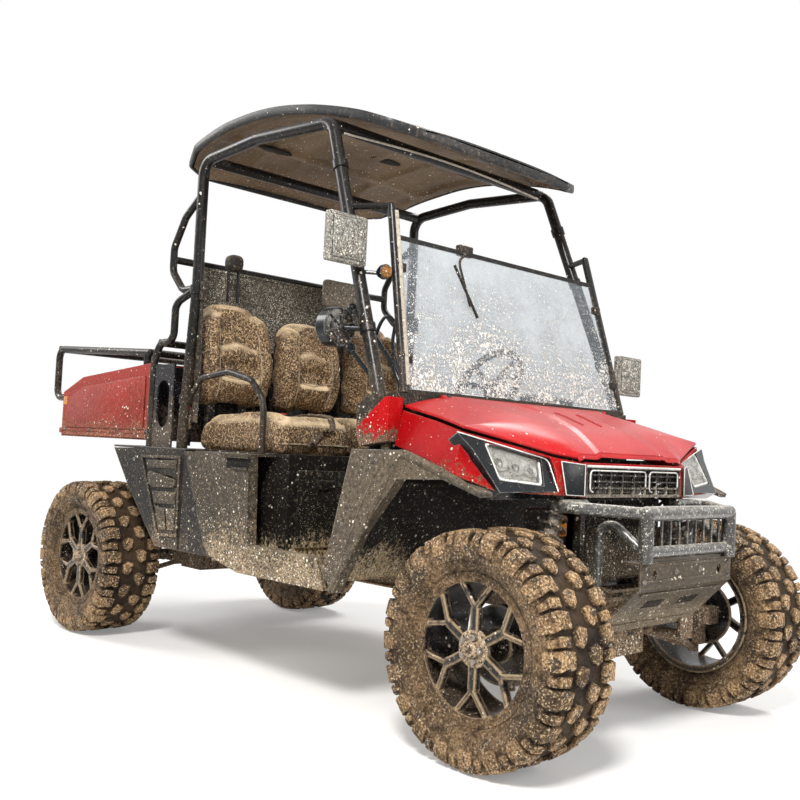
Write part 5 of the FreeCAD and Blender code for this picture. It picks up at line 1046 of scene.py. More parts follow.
# The near and far end, radius and sides of the hinge's two knuckles and its pin.
knuckles_and_pin = ((0.385, 0.404, 0.008, 14), (0.436, 0.455, 0.008, 14), (0.386, 0.454, 0.0049, 10))
for side in (-1, 1):
    for near, far, radius, sides in knuckles_and_pin:
        add_tube(hood_shape, [(HINGE_X, side * near, HINGE_Z), (HINGE_X, side * far, HINGE_Z)], radius, sides)
hood_piece = built("dressed_hood", hood_shape, red_material, 24.0, "hood")
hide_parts("hood")

lip_top = moved_line(hood_rows[-1], x=0.0015, z=-0.004)
lip_low = [Vector((LIP_X, point.y, max(0.8525, point.z - 0.016))) for point in hood_rows[-1]]
lip_shape = bmesh.new()
lip_rows = []
for line in (lip_top, lip_low, moved_line(lip_low, x=-LIP_THICK), moved_line(lip_top, x=-LIP_THICK)):
    lip_rows.append([lip_shape.verts.new(point) for point in line])
for low, high in zip(lip_rows, lip_rows[1:] + lip_rows[:1]):
    bridge(lip_shape, low, high, closed=False)
for end in (0, -1):
    lip_shape.faces.new([row[end] for row in lip_rows])
face_out(lip_shape)
built("hood_lip", lip_shape, red_material, body="hood")

GILL_STEPS = 8
gill_shape, gill_rims = bmesh.new(), bmesh.new()
for side in (-1, 1):
    inner, outer = [], []
    for step in range(GILL_STEPS + 1):
        share = step / GILL_STEPS
        place = hood_top(0.36 + 0.24 * share, (0.062 - 0.01 * share) / HOOD_HALF, 0.0135)
        half_wide = 0.0085 * math.sin(math.pi * min(1.0, share * 0.72 + 0.25)) ** 0.6
        inner.append(Vector((place.x, side * (place.y - half_wide), place.z)))
        outer.append(Vector((place.x, side * (place.y + half_wide), place.z)))
    rows = [[gill_shape.verts.new(point) for point in moved_line(line, z=0.0006)] for line in (inner, outer)]
    for face in bridge(gill_shape, *rows, closed=False):
        face.normal_update()
        if face.normal.z < 0:
            face.normal_flip()
    add_tube(gill_rims, inner + list(reversed(outer)) + inner[:1], 0.0022, 8)
built("hood_gills", gill_shape, gill_material, body="hood")
built("hood_gill_rims", gill_rims, red_material, 60.0, "hood")

wedge_corners = [(1.244, 0.358, 0.85), (1.2775, 0.2835, 0.843), (1.2775, 0.2835, 0.75),
                 (1.269, 0.362, 0.753)]
wedge_push = Vector((0.8, 0.6, 0.05)).normalized() * 0.006
trim_shape, wedge_shape = bmesh.new(), bmesh.new()
for side in (-1, 1):
    outline = [Vector((x, side * y, z)) for x, y, z in wedge_corners]
    push = Vector((wedge_push.x, side * wedge_push.y, wedge_push.z))
    add_plate(wedge_shape, outline, push, 0.0015)
    add_tube(trim_shape, moved_line(outline + outline[:1], *push), 0.0016, 8)
built("grille_wedges", wedge_shape, wedge_material)

# Headlamps: black bezels round a clear cover, with a bright inner frame, a faceted reflector and
# three round lamps in each. Mud dries on the cover in specks.

# The bezels' pale edge colour is a painted highlight along their rims.
bezel_material = dirty_finish(
    "bezel_gloss_black", (0.003, 0.006, 0.009), 0.2, (0.03, 0.1, 0.6, 0.8, 0.12), coat=0.2, edge=0.9,
    edge_colour=(0.38, 0.37, 0.35), edge_width=0.005)
silver_material = dirty_finish(
    "silver_frame", (0.86, 0.85, 0.81), 0.25, (0.15, 0.2, 0.6, 0.8, 0.2), metallic=0.1)
reflector_material = dirty_finish(
    "lamp_reflector", (0.9, 0.88, 0.82), 0.16, (0.1, 0.45, 0.7, 1.0, 0.7), metallic=0.4, grain=0.9,
    grain_scale=120.0, dirt_colour=(0.22, 0.17, 0.11))
bulb_material = dirty_finish(
    "lamp_bulb", (0.26, 0.24, 0.21), 0.15, (0.1, 0.4, 0.6, 0.9, 0.6), metallic=0.6, coat=0.6)
dress(bezel_material, "lamp_bezels")


def clear_glass(name, colour, roughness):
    """Clear plastic or glass with a faint smear."""
    material, wires, shader = new_material(name, colour, roughness)
    shader.inputs["Transmission Weight"].default_value = 1.0
    shader.inputs["IOR"].default_value = 1.45
    smear = wires.span(wires.noise(wires.coordinates(), 14.0), 0.4, 0.75, roughness, roughness + 0.07)
    wires.join(smear, shader.inputs["Roughness"])
    return material


def mud_film(name, low, high, thin, thick, tan=(0.34, 0.27, 0.19), dark=(0.055, 0.045, 0.036), haze=0.34,
             haze_colour=(0.2, 0.17, 0.13)):
    """Specks and a veil of dried mud on a clear sheet, thicker towards the low height."""
    material, wires, shader = new_material(name, tan, 0.9)
    place = wires.coordinates()
    weight = wires.span(wires.height_of(place), low, high, thick, thin)
    cloud = wires.noise(place, 7.0, 3.0, 0.6)
    weight = wires.calc("MULTIPLY", weight, wires.span(cloud, 0.3, 0.65, 0.55, 1.25))
    specks = []
    for scale, gain in ((58.0, 0.55), (118.0, 0.72), (230.0, 0.8)):
        distance, pick = cells_at(wires, place, scale)
        size = wires.calc("MULTIPLY", wires.calc("MULTIPLY", weight, gain), pick)
        specks.append(wires.span(wires.calc("SUBTRACT", size, distance), 0.0, 0.06))
    total = wires.calc("MAXIMUM", wires.calc("MAXIMUM", specks[0], specks[1]), specks[2])
    grit = wires.noise(place, 210.0, 3.0, 0.6)
    veil = wires.calc("MULTIPLY", weight, wires.span(grit, 0.35, 0.7, haze * 0.7, haze))
    wires.join(wires.calc("MAXIMUM", total, veil, clamp=True), shader.inputs["Alpha"])
    shade = wires.span(wires.noise(place, 90.0, 3.0, 0.7), 0.4, 0.6)
    wires.join(wires.mix(total, haze_colour, wires.mix(shade, dark, tan)), shader.inputs["Base Color"])
    return material


lens_glass = clear_glass("headlamp_cover", (0.93, 0.95, 0.95), 0.03)
lens_film = mud_film("headlamp_mud", 0.76, 0.95, 0.26, 0.55, haze=0.1)
lens_shares = ((0.703, 0.857, 0.538), (0.825, 0.567, 0.397), (0.924, 0.617, 0.11), (0.845, 0.85, 0.15))
lens_corners = [nose_place(*shares) for shares in lens_shares]
lens_normal = (lens_corners[1] - lens_corners[0]).cross(lens_corners[2] - lens_corners[0]).normalized()
if lens_normal.x < 0:
    lens_normal.negate()


def in_lamp(across, down, depth, side):
    """A point of a headlamp: across from its outer edge, down from its top, depth behind its face."""
    top = lens_corners[0].lerp(lens_corners[1], across)
    low = lens_corners[3].lerp(lens_corners[2], across)
    point = top.lerp(low, down)
    point = point - lens_normal * ((point - lens_corners[0]).dot(lens_normal) + depth)
    return Vector((point.x, side * point.y, point.z))


def lamp_outline(low_a, low_d, high_a, high_d, depth, side):
    """The corners of a sheet in a headlamp, from shares across and down."""
    return [in_lamp(a, d, depth, side) for a, d in ((low_a, low_d), (high_a, low_d), (high_a, high_d),
                                                    (low_a, high_d))]


def add_lathe_at(shape, place, profile, segments, closed=False):
    """A ring whose Y axis and middle a matrix lays elsewhere."""
    start = len(shape.verts)
    add_lathe(shape, profile, segments, closed)
    move_new(shape, start, place)


# A thin silver tube along the top edge of each bezel is a painted highlight.
bezel_shares = ((0.651, 0.98, 0.603), (0.844, 0.533, 0.372), (0.961, 0.55, 0.055))
bezel_highlight_line = moved_line([nose_place(*shares) for shares in bezel_shares], 0.002, 0.002, 0.001)
frame_shape, mirror_shape, bulb_shape, cover_shape, film_shape = (bmesh.new() for index in range(5))
for side in (-1, 1):
    inward = Vector((-lens_normal.x, -side * lens_normal.y, -lens_normal.z))
    rim = [in_lamp(a, d, 0.008, side) for a, d in ((0.03, 0.05), (0.97, 0.05), (0.965, 0.95), (0.03, 0.95))]
    add_tube(frame_shape, eased(rim + rim[:2], 0.014, 3)[4:-1], 0.0056, 8)
    add_plate(mirror_shape, lamp_outline(0.02, 0.03, 0.98, 0.97, 0.0185, side), inward * 0.003)
    for across, down, size in ((0.2, 0.45, 0.03), (0.52, 0.5, 0.027), (0.81, 0.5, 0.022)):
        facing = (-inward).to_track_quat("Y", "Z").to_matrix().to_4x4()
        lamp_place = Matrix.Translation(in_lamp(across, down, 0.0175, side)) @ facing
        bowl = [(0.0, size), (0.009, size), (0.0095, size * 0.94), (0.003, size * 0.55), (0.001, size * 0.3)]
        bulb = [(0.0005, size * 0.5), (0.006, size * 0.46), (0.0085, size * 0.25), (0.0092, size * 0.02)]
        add_lathe_at(mirror_shape, lamp_place, bowl, 22)
        add_lathe_at(bulb_shape, lamp_place, bulb, 22)
    add_plate(cover_shape, lamp_outline(0.01, 0.02, 0.99, 0.98, 0.004, side), inward * 0.0025)
    add_plate(film_shape, lamp_outline(0.01, 0.02, 0.99, 0.98, 0.0033, side), inward * 0.0003)
    add_tube(trim_shape, eased([(point.x, side * point.y, point.z) for point in bezel_highlight_line], 0.02), 0.002, 8)
face_out(mirror_shape)
face_out(bulb_shape)
lamp_reflectors = built("lamp_reflectors", mirror_shape, reflector_material)
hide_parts("headlamps")
built("lamp_frames", frame_shape, silver_material, 60.0)
built("lamp_bulbs", bulb_shape, bulb_material)
built("lamp_covers", cover_shape, lens_glass)
built("lamp_cover_mud", film_shape, lens_film)

# Grille and radiator: a black moulded grille with a woven mesh behind its bars and a silver frame line.
# Below it stands a finned alloy radiator between two tanks, packed with tan mud.

GRILLE_FACE = 1.2765

grille_material = dirty_finish(
    "grille_black", (0.01, 0.01, 0.011), 0.35, (0.3, 0.6, 0.74, 0.8, 0.45), coat=0.3, edge=0.5,
    dirt_colour=(0.42, 0.37, 0.3))
core_material = dirty_finish(
    "radiator_core", (0.012, 0.0115, 0.01), 0.45, (0.25, 0.5, 0.45, 0.75, 0.6),
    dirt_colour=(0.2, 0.15, 0.1))
amber_material = dirty_finish(
    "amber_lens", (0.62, 0.22, 0.02), 0.2, (0.3, 0.4, 0.4, 0.8, 0.5), coat=0.6,
    dirt_colour=(0.22, 0.12, 0.04))
dress(grille_material, "grille")
dress(core_material, "radiator")
add_rows("grille_mesh", grille_material, "bezel_black", 0.0,
         ((1.258, -0.258, 0.756), (1.2605, -0.2555, 0.832), 43, (0, 0.0122, 0)),
         ((1.257, -0.262, 0.76), (1.259, 0.262, 0.7622), 7, (0, 0, 0.0115)))
for low_y, high_y in ((-0.252, 0.055), (0.078, 0.252)):
    corners = ((low_y, 0.762), (high_y, 0.762), (high_y, 0.827), (low_y, 0.827))
    loop = [(GRILLE_FACE, y, z) for y, z in corners]
    add_tube(trim_shape, eased(loop + loop[:2], 0.016, 4)[5:-1], 0.0026, 8)
add_tube(trim_shape, [(1.2755, -0.268, 0.8395), (1.2755, 0.268, 0.8395)], 0.0042, 8)
built("silver_edges", trim_shape, silver_material, 60.0)
tank_shape = bmesh.new()
for low_y, high_y in ((-0.24, -0.217), (0.217, 0.24)):
    add_box(tank_shape, (1.165, low_y, 0.48), (1.219, high_y, 0.738), 0.006)
hose = [(1.19, 0.228, 0.7), (1.19, 0.3, 0.7), (1.1, 0.33, 0.66), (1.02, 0.33, 0.6)]
add_tube(tank_shape, eased(hose, 0.06), 0.017, 12)
add_box(tank_shape, (1.12, -0.375, 0.6), (1.205, -0.268, 0.705), 0.012)
add_rows("radiator_fins", core_material, "radiator_alloy", 0.0,
         ((1.2105, -0.214, 0.487), (1.215, -0.2125, 0.731), 72, (0, 0.006, 0)))
built("radiator_tanks", tank_shape, belly_material)
amber_shape = bmesh.new()
for side in (-1, 1):
    add_box(amber_shape, (1.205, side * 0.322 - 0.04, 0.625), (1.222, side * 0.322 + 0.04, 0.688), 0.006)
built("amber_side_lamps", amber_shape, amber_material)

# Bumper: bent black tubes with an upright guard, bolted over a pressed skid plate with slots and ribs.
# Pale dust on the tubes' upper sides, partly road dust and partly a painted highlight, turns the upper tube
# silver-brown and the lower bar cream.

# The pale edge colours of the bumper and the skid plate are painted highlights along their rims.
bumper_material = dirty_finish(
    "bumper_dust_and_painted_highlight", (0.004, 0.004, 0.004), 0.24, (0.75, 0.1, 0.45, 0.75, 0.32), coat=0.8, edge=1.0,
    edge_colour=(0.44, 0.41, 0.35), dirt_colour=(0.55, 0.5, 0.42), shine=0.5)
skid_material = dirty_finish(
    "skid_bronze_grey", (0.06, 0.044, 0.03), 0.34, (0.2, 0.45, 0.34, 0.5, 0.35), metallic=0.25,
    edge=1.0, edge_colour=(0.4, 0.34, 0.26), dirt_colour=(0.34, 0.27, 0.18),
    second_colour=(0.07, 0.054, 0.038))
dress(bumper_material, "front_bumper")
dress(skid_material, "skid_plate")
slant_top, slant_low = Vector((1.468, 0, 0.497)), Vector((1.317, 0, 0.343))
slant_out = Vector((0.714, 0, -0.7))
rib_shape, hole_shape = bmesh.new(), bmesh.new()
for shape, low_y, high_y, top_share, low_share, push, bevel in (
        (rib_shape, -0.235, 0.235, 0.1, 0.14, 0.005, 0.0015),
        (rib_shape, -0.235, 0.235, 0.8, 0.84, 0.005, 0.0015),
        (hole_shape, -0.15, -0.05, 0.3, 0.46, 0.0008, 0.0),
        (hole_shape, 0.05, 0.15, 0.3, 0.46, 0.0008, 0.0)):
    a, b = slant_top.lerp(slant_low, top_share), slant_top.lerp(slant_low, low_share)
    add_plate(shape, [(a.x, low_y, a.z), (a.x, high_y, a.z), (b.x, high_y, b.z), (b.x, low_y, b.z)],
              slant_out * push, bevel)
for z_level in (0.517, 0.562):
    add_box(rib_shape, (1.4665, -0.25, z_level - 0.003), (1.4715, 0.25, z_level + 0.003), 0.002)
built("skid_ribs", rib_shape, skid_material)
# The skid plate's slots are flat plates of painted shadow.
built("skid_slots", hole_shape, dark_gap)
skid_spots = [(y, z) for y in (-0.245, 0.245) for z in (0.515, 0.556)] + [(-0.07, 0.54), (0.07, 0.54)]
skid_bolts = [((1.4685, y, z), (1, 0, 0)) for y, z in skid_spots]
add_bolts("skid_bolts", skid_bolts, 0.0055)

# Cage: black steel tube bent over the cab, with a bow behind the seats, hoops, hip rails and bed rack.
# Clamp rings hold the mirrors and belts, and dust lies on the upper sides of the tubes. A pale bead laid
# along the top of the front bar is a painted highlight.

PILLAR_TOP, PILLAR_FOOT = Vector((0.404, 0.6, 1.978)), Vector((0.775, 0.662, 1.008))

cage_material = dirty_finish(
    "cage_black_paint", (0.005, 0.006, 0.007), 0.32, (0.1, 0.12, 0.8, 1.5, 0.16), coat=0.08, edge=0.4)
# A pale finish of painted light: the highlight bead along the front bar and the sunlit face of the near
# upright, with dust over it.
upright_material = dirty_finish(
    "pale_painted_light", (0.46, 0.41, 0.33), 0.55, (0.2, 0.3, 1.0, 2.2, 0.3), dirt_colour=(0.2, 0.165, 0.125),
    second_colour=(0.58, 0.53, 0.45))
dress(cage_material, "roll_cage", "cage_bows", "cage_hoops", "hip_rails", "bed_rack", "windshield_frame")


def add_clamp(shape, centre, along, radius, width):
    """A clamp ring round a tube."""
    half, outer = width / 2, radius + 0.005
    facing = Vector(along).to_track_quat("Y", "Z").to_matrix().to_4x4()
    add_lathe_at(shape, Matrix.Translation(centre) @ facing,
                 [(-half, radius), (-half, outer), (half, outer), (half, radius)], 24, closed=True)


clamp_shape = bmesh.new()
for side in (-1, 1):
    top, foot = (Vector((point.x, side * point.y, point.z)) for point in (PILLAR_TOP, PILLAR_FOOT))
    for height in (1.812, 1.585, 1.24):
        share = (PILLAR_TOP.z - height) / (PILLAR_TOP.z - PILLAR_FOOT.z)
        add_clamp(clamp_shape, top.lerp(foot, share), foot - top, 0.0221, 0.03)
    for height in (1.46, 1.02):
        share = max(0.0, (1.465 - height) / 0.565)
        centre = (-0.39 - 0.035 * share, side * (0.6 + 0.008 * share), height)
        add_clamp(clamp_shape, centre, (0, 0, 1), 0.0225, 0.034)
face_out(clamp_shape)
built("cage_clamps", clamp_shape, cage_material)
bead_shape = bmesh.new()
bead_run = []
for step in range(21):
    swell = math.sin(math.pi * step / 20)
    bead_run.append((0.404 + 0.006 * swell, -0.545 + 1.09 * step / 20, 1.951 + 0.02 * swell))
add_tube(bead_shape, bead_run, 0.0042, 8)
built("front_bar_painted_highlight", bead_shape, upright_material, 60.0)

# Roof: a twin-skin moulded shell, dark outside, arched from front to back with rounded corners.
# The liner under it is tan with dust, ribbed into trays, and has five vents drawn as dark plates of
# painted shadow.

ROOF_REAR, ROOF_FRONT = -0.642, 0.662
ROOF_STEPS, ACROSS_STEPS = 64, 60

roof_material = dirty_finish(
    "roof_charcoal", (0.014, 0.017, 0.021), 0.4, (0.2, 0.2, 1.8, 2.0, 0.1), coat=0.1, grain=0.2,
    edge=0.7, edge_colour=(0.09, 0.1, 0.11))
# The liner's pale edge colour is a painted highlight along the ribs of its trays.
liner_material = dirty_finish(
    "roof_liner_dusty", (0.185, 0.125, 0.072), 0.5, (0.1, 0.4, 1.85, 2.15, 0.2), edge=1.0,
    edge_colour=(0.4, 0.3, 0.19), edge_width=0.008, dirt_colour=(0.24, 0.165, 0.1),
    second_colour=(0.105, 0.07, 0.041))
# The roof's height along its middle, and its half width, from the rear to the front.
arch_table = [(ROOF_REAR, 2.0352), (-0.394, 2.1016), (-0.146, 2.13), (0.062, 2.1253), (0.284, 2.0889),
              (0.479, 2.0384), (ROOF_FRONT, 1.972)]
plan_table = [(ROOF_REAR, 0.441), (-0.583, 0.551), (-0.472, 0.6), (-0.251, 0.612), (0.271, 0.594),
              (0.532, 0.563), (0.616, 0.514), (ROOF_FRONT, 0.404)]


def step_up(value, low, high):
    """A soft step from zero at low to one at high."""
    share = max(0.0, min(1.0, (value - low) / (high - low)))
    return share * share * (3 - 2 * share)


def band(value, low, high, soft):
    """One between low and high and nothing outside, with soft edges."""
    return step_up(value, low - soft, low + soft) * (1.0 - step_up(value, high - soft, high + soft))


def roof_half(x):
    """Half the width of the roof at x."""
    return along_table(plan_table, x, 1, False)


def roof_top(x, y, half):
    """The height of the outer skin, with its two raised fields."""
    raised = 0.0065 * band(abs(y), 0.13, 0.47, 0.018) * band(x, -0.5, 0.47, 0.02)
    middle = 0.005 * band(y, -0.075, 0.075, 0.015) * band(x, -0.42, 0.4, 0.02)
    return along_table(arch_table, x, 1) - 0.0085 - 0.014 * (abs(y) / half) ** 3 + raised + middle


def roof_under(x, y, half):
    """The height of the liner, with its nine trays."""
    trays = 0.0
    for low_x, high_x in ((-0.56, -0.36), (-0.31, 0.33), (0.43, 0.6)):
        for low_y, high_y in ((-0.545, -0.33), (-0.285, 0.285), (0.33, 0.545)):
            trays = max(trays, band(x, low_x, high_x, 0.012) * band(y, low_y, high_y, 0.012))
    return roof_top(x, y, half) - 0.026 + 0.016 * trays


def roof_skin(name, height_at, material, inset, thick):
    """One skin of the roof, inset from its outline."""
    rows = []
    for x in roof_xs:
        half = roof_half(x) * inset
        across = [half * (2 * step / ACROSS_STEPS - 1) for step in range(ACROSS_STEPS + 1)]
        rows.append([Vector(((x - 0.01) * inset + 0.01, y, height_at(x, y, half))) for y in across])
    shape = bmesh.new()
    add_shell(shape, rows, [moved_line(row, z=-thick) for row in rows])
    return built(name, shape, material, 30.0)


roof_xs = [ROOF_REAR + (ROOF_FRONT - ROOF_REAR) * step / ROOF_STEPS for step in range(ROOF_STEPS + 1)]
roof_shell = roof_skin("roof_shell", roof_top, roof_material, 1.0, 0.007)
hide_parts("roof")
roof_skin("roof_liner", roof_under, liner_material, 0.975, 0.003)
rim_side = [(x, -roof_half(x)) for x in roof_xs]
rim_outline = rim_side + [(x, -y) for x, y in reversed(rim_side)]
rim_shape = bmesh.new()
rim_rings = []
for index, (x, y) in enumerate(rim_outline):
    before, after = rim_outline[index - 1], rim_outline[(index + 1) % len(rim_outline)]
    along = Vector((after[0] - before[0], after[1] - before[1], 0)).normalized()
    inward = Vector((-along.y, along.x, 0))
    top = roof_top(x, y, roof_half(x))
    ring = []
    for offset, drop in ((0.0, -0.001), (-0.0015, 0.008), (-0.001, 0.026), (0.003, 0.033), (0.01, 0.033),
                         (0.013, 0.026), (0.013, 0.004)):
        point = Vector((x, y, top - drop)) + inward * offset
        point.x = max(ROOF_REAR, min(ROOF_FRONT, point.x))
        ring.append(rim_shape.verts.new(point))
    rim_rings.append(ring)
for here, there in zip(rim_rings, rim_rings[1:] + rim_rings[:1]):
    bridge(rim_shape, here, there)
face_out(rim_shape)
built("roof_rim", rim_shape, roof_material, 50.0)
vent_shape = bmesh.new()
vent_spots = ((-0.313, -0.309), (-0.129, 0.149), (0.064, 0.489), (0.47, -0.18), (0.47, 0.18))
for centre_x, centre_y in vent_spots:
    vent_z = roof_under(centre_x, centre_y, 0.6) - 0.0035
    turns = [2 * math.pi * step / 20 for step in range(20)]
    oval = [(centre_x + 0.03 * math.cos(turn), centre_y + 0.085 * math.sin(turn), vent_z) for turn in turns]
    add_plate(vent_shape, oval, (0, 0, -0.004), 0.0015)
built("roof_vents", vent_shape, dark_gap)
roof_bolts = []
for x, y in ((-0.365, -0.48), (-0.365, 0.48), (0.379, -0.48), (0.379, 0.48)):
    roof_bolts.append(((x, y, roof_top(x, y, roof_half(x)) + 0.0002), (0, 0, 1)))
add_bolts("roof_bolts", roof_bolts, 0.006)

# Windshield: one clear polycarbonate sheet clamped in a tube frame, with a rubber edge and a wiper.
# Mud spray lies thick along its foot and thins out upwards; a pale sleeve on the near upright is painted
# sunlight on its lit face.
# A round amber lamp stands on the near pillar.

GLASS_LOW, GLASS_TOP = Vector((0.8156, 0.583, 1.054)), Vector((0.6908, 0.538, 1.545))
UPRIGHT_LOW, UPRIGHT_TOP = Vector((0.816, 0.6006, 1.0377)), Vector((0.659, 0.544, 1.66))
SIGNAL_PLACE = Vector((0.688, -0.598, 1.428))
FACING_AHEAD = Matrix(((0, 1, 0), (1, 0, 0), (0, 0, 1))).to_4x4()

windshield_glass = clear_glass("windshield_clear", (0.9, 0.93, 0.94), 0.02)
dress(windshield_glass, "windshield")
film_material = mud_film(
    "windshield_mud", 1.02, 1.52, 0.34, 1.0, (0.82, 0.82, 0.78), (0.34, 0.31, 0.26), 0.55,
    (0.17, 0.2, 0.23))
signal_material = dirty_finish(
    "muddy_amber_lens", (0.36, 0.13, 0.01), 0.25, (0.4, 0.5, 1.2, 1.7, 0.7), coat=0.3,
    dirt_colour=(0.13, 0.08, 0.03))
film_shape, seal_shape, sleeve_shape = bmesh.new(), bmesh.new(), bmesh.new()
glass_corners = ((GLASS_LOW, -1), (GLASS_LOW, 1), (GLASS_TOP, 1), (GLASS_TOP, -1))
add_plate(film_shape, [(corner.x, side * corner.y, corner.z) for corner, side in glass_corners],
          (0.0005, 0, 0.00013))
for side in (-1, 1):
    seal = [(corner.x - 0.002, side * (corner.y + 0.001), corner.z) for corner in (GLASS_LOW, GLASS_TOP)]
    add_tube(seal_shape, seal, 0.0048, 8)
wiper_arm = [(0.69, -0.2, 1.556), (0.706, -0.26, 1.52), (0.747, -0.235, 1.362)]
add_tube(seal_shape, eased(wiper_arm, 0.03), 0.0045, 8)
add_tube(seal_shape, [(0.712, -0.285, 1.5), (0.757, -0.205, 1.325)], 0.005, 8)
add_box(seal_shape, (0.664, -0.235, 1.545), (0.69, -0.165, 1.585), 0.006)
for height in (1.15, 1.45):
    clip = UPRIGHT_LOW.lerp(UPRIGHT_TOP, (height - UPRIGHT_LOW.z) / (UPRIGHT_TOP.z - UPRIGHT_LOW.z))
    for side in (-1, 1):
        clip_y = side * (clip.y - 0.016)
        add_box(seal_shape, (clip.x - 0.005, clip_y - 0.022, height - 0.015),
                (clip.x + 0.014, clip_y + 0.022, height + 0.015), 0.004)
sleeve_low, sleeve_top = Vector((0.828, -0.592, 1.0377)), Vector((0.671, -0.536, 1.66))
add_tube(sleeve_shape, [sleeve_low.lerp(sleeve_top, share) for share in (0.04, 0.5, 0.97)], 0.0085, 12)
built("windshield_mud", film_shape, film_material)
built("windshield_seals", seal_shape, cowl_material, 60.0)
built("upright_painted_sunlight", sleeve_shape, upright_material, 60.0)
signal_shape, signal_can = bmesh.new(), bmesh.new()
for shape, profile in ((signal_shape, [(0.02, 0.021), (0.028, 0.018), (0.031, 0.01), (0.032, 0.0005)]),
                       (signal_can, [(-0.016, 0.004), (-0.012, 0.016), (0.004, 0.024), (0.02, 0.025),
                                     (0.02, 0.02)])):
    add_lathe_at(shape, Matrix.Translation(SIGNAL_PLACE) @ FACING_AHEAD, profile, 24)
    face_out(shape)
add_tube(signal_can, [(0.665, -0.598, 1.428), (0.628, -0.635, 1.43)], 0.0065, 8)
built("signal_lamp", signal_shape, signal_material)
built("signal_lamp_can", signal_can, bezel_material)

# Dashboard and steering: black textured plastic with a gauge pod, rocker switches, a glovebox lid,
# a grab bar across from the steering wheel and a gear lever. The wheel has a padded grip.

GEAR_Y = 0.02
STEER_CENTRE = (0.36, 0.33, 1.13)
STEER_COLUMN = Vector((0.848, 0.0, -0.53)).normalized()
FACING_BACK = Matrix(((0, -1, 0), (1, 0, 0), (0, 0, 1))).to_4x4()

dash_material = dirty_finish(
    "dash_black_plastic", (0.015, 0.015, 0.016), 0.55, (0.55, 0.35, 0.85, 1.05, 0.4), grain=0.3)
grip_material = dirty_finish(
    "wheel_grip_black", (0.012, 0.012, 0.012), 0.6, (0.3, 0.2, 0.9, 1.2, 0.25), grain=0.35,
    grain_scale=600.0)
gauge_material = dirty_finish("gauge_face", (0.05, 0.055, 0.06), 0.15, (0.3, 0.1, 0.9, 1.1, 0.2), coat=0.8)
dress(dash_material, "dash")
dress(grip_material, "steering_wheel")
pod_shape = bmesh.new()
add_box(pod_shape, (0.6, 0.215, 1.026), (0.71, 0.445, 1.092), 0.022, Matrix.Rotation(0.12, 3, "Y"), 3)
add_box(pod_shape, (0.583, -0.53, 0.893), (0.5915, -0.2, 0.985), 0.006)
add_box(pod_shape, (0.577, -0.4, 0.968), (0.586, -0.33, 0.978), 0.003)
for low_y in (-0.13, 0.06):
    add_box(pod_shape, (0.584, low_y, 0.955), (0.592, low_y + 0.1, 1.003), 0.005)
grab_bar = [(0.6, -0.52, 1.005), (0.56, -0.52, 1.03), (0.56, -0.24, 1.03), (0.6, -0.24, 1.005)]
add_tube(pod_shape, eased(grab_bar, 0.03), 0.011, 12)
gear_lever = [(0.56, GEAR_Y, 0.47), (0.53, GEAR_Y, 0.66), (0.5, GEAR_Y, 0.82)]
add_tube(pod_shape, eased(gear_lever, 0.1), 0.008, 10)
add_box(pod_shape, (0.52, GEAR_Y - 0.045, 0.455), (0.6, GEAR_Y + 0.045, 0.49), 0.01)
gear_knob = [(0.501, GEAR_Y, 0.812), (0.5, GEAR_Y, 0.825), (0.497, GEAR_Y, 0.85), (0.496, GEAR_Y, 0.862)]
add_tube(pod_shape, gear_knob, [0.01, 0.023, 0.021, 0.008], 16)
built("dash_fittings", pod_shape, dash_material)
add_rows("rocker_switches", grip_material, "cowl_plastic", 0.001,
         ((0.578, 0.072, 0.966), (0.586, 0.086, 0.992), 4, (0, 0.02, 0)),
         ((0.578, -0.12, 0.966), (0.586, -0.106, 0.992), 4, (0, 0.02, 0)))
gauge_shape = bmesh.new()
for centre_y, size in ((0.285, 0.024), (0.375, 0.024), (0.33, 0.015)):
    dial = [(0.0, size + 0.003), (0.004, size + 0.002), (0.0035, size), (0.001, size * 0.95), (0.001, 0.0005)]
    add_lathe_at(gauge_shape, Matrix.Translation((0.5985, centre_y, 1.064)) @ FACING_BACK, dial, 28)
face_out(gauge_shape)
built("gauges", gauge_shape, gauge_material)

hub_shape = bmesh.new()
add_lathe(hub_shape, [(-0.006, 0.0005), (-0.006, 0.026), (-0.002, 0.036), (0.01, 0.04), (0.014, 0.036)], 32)
for angle in (0, 120, 240):
    start = len(hub_shape.verts)
    add_box(hub_shape, (-0.014, -0.004, -0.145), (0.014, 0.004, -0.03), 0.0035)
    move_new(hub_shape, start, Matrix.Rotation(math.radians(angle), 4, "Y"))
face_out(hub_shape)
hub_mesh = mesh_of("wheel_hub_cover", hub_shape)
level = Vector((0, 1, 0))
column_basis = Matrix((level.cross(STEER_COLUMN), STEER_COLUMN, level)).transposed().to_4x4()
hub_mesh.transform(Matrix.Translation(STEER_CENTRE) @ column_basis)
piece("wheel_hub_cover", hub_mesh, grip_material, body="steering_wheel")

# Seats: moulded foam under vinyl covers, one bucket on the near side and a bench of two beyond it.
# Each cover is blown out over its foam, then piped along its seams; mud spray speckles all of it.

PUFF_FRAMES = 20
BACK_REAR = -0.488
CUSHION_SPANS = {"right": [(-0.575, -0.2)], "left": [(-0.168, 0.196), (0.206, 0.575)]}
BACK_SPANS = (("right", -0.575, -0.2, 1.462), ("middle", -0.168, 0.176, 1.43),
              ("left", 0.226, 0.575, 1.462))
DOWN, REARWARD = (0, 0, -1), (-1, 0, 0)

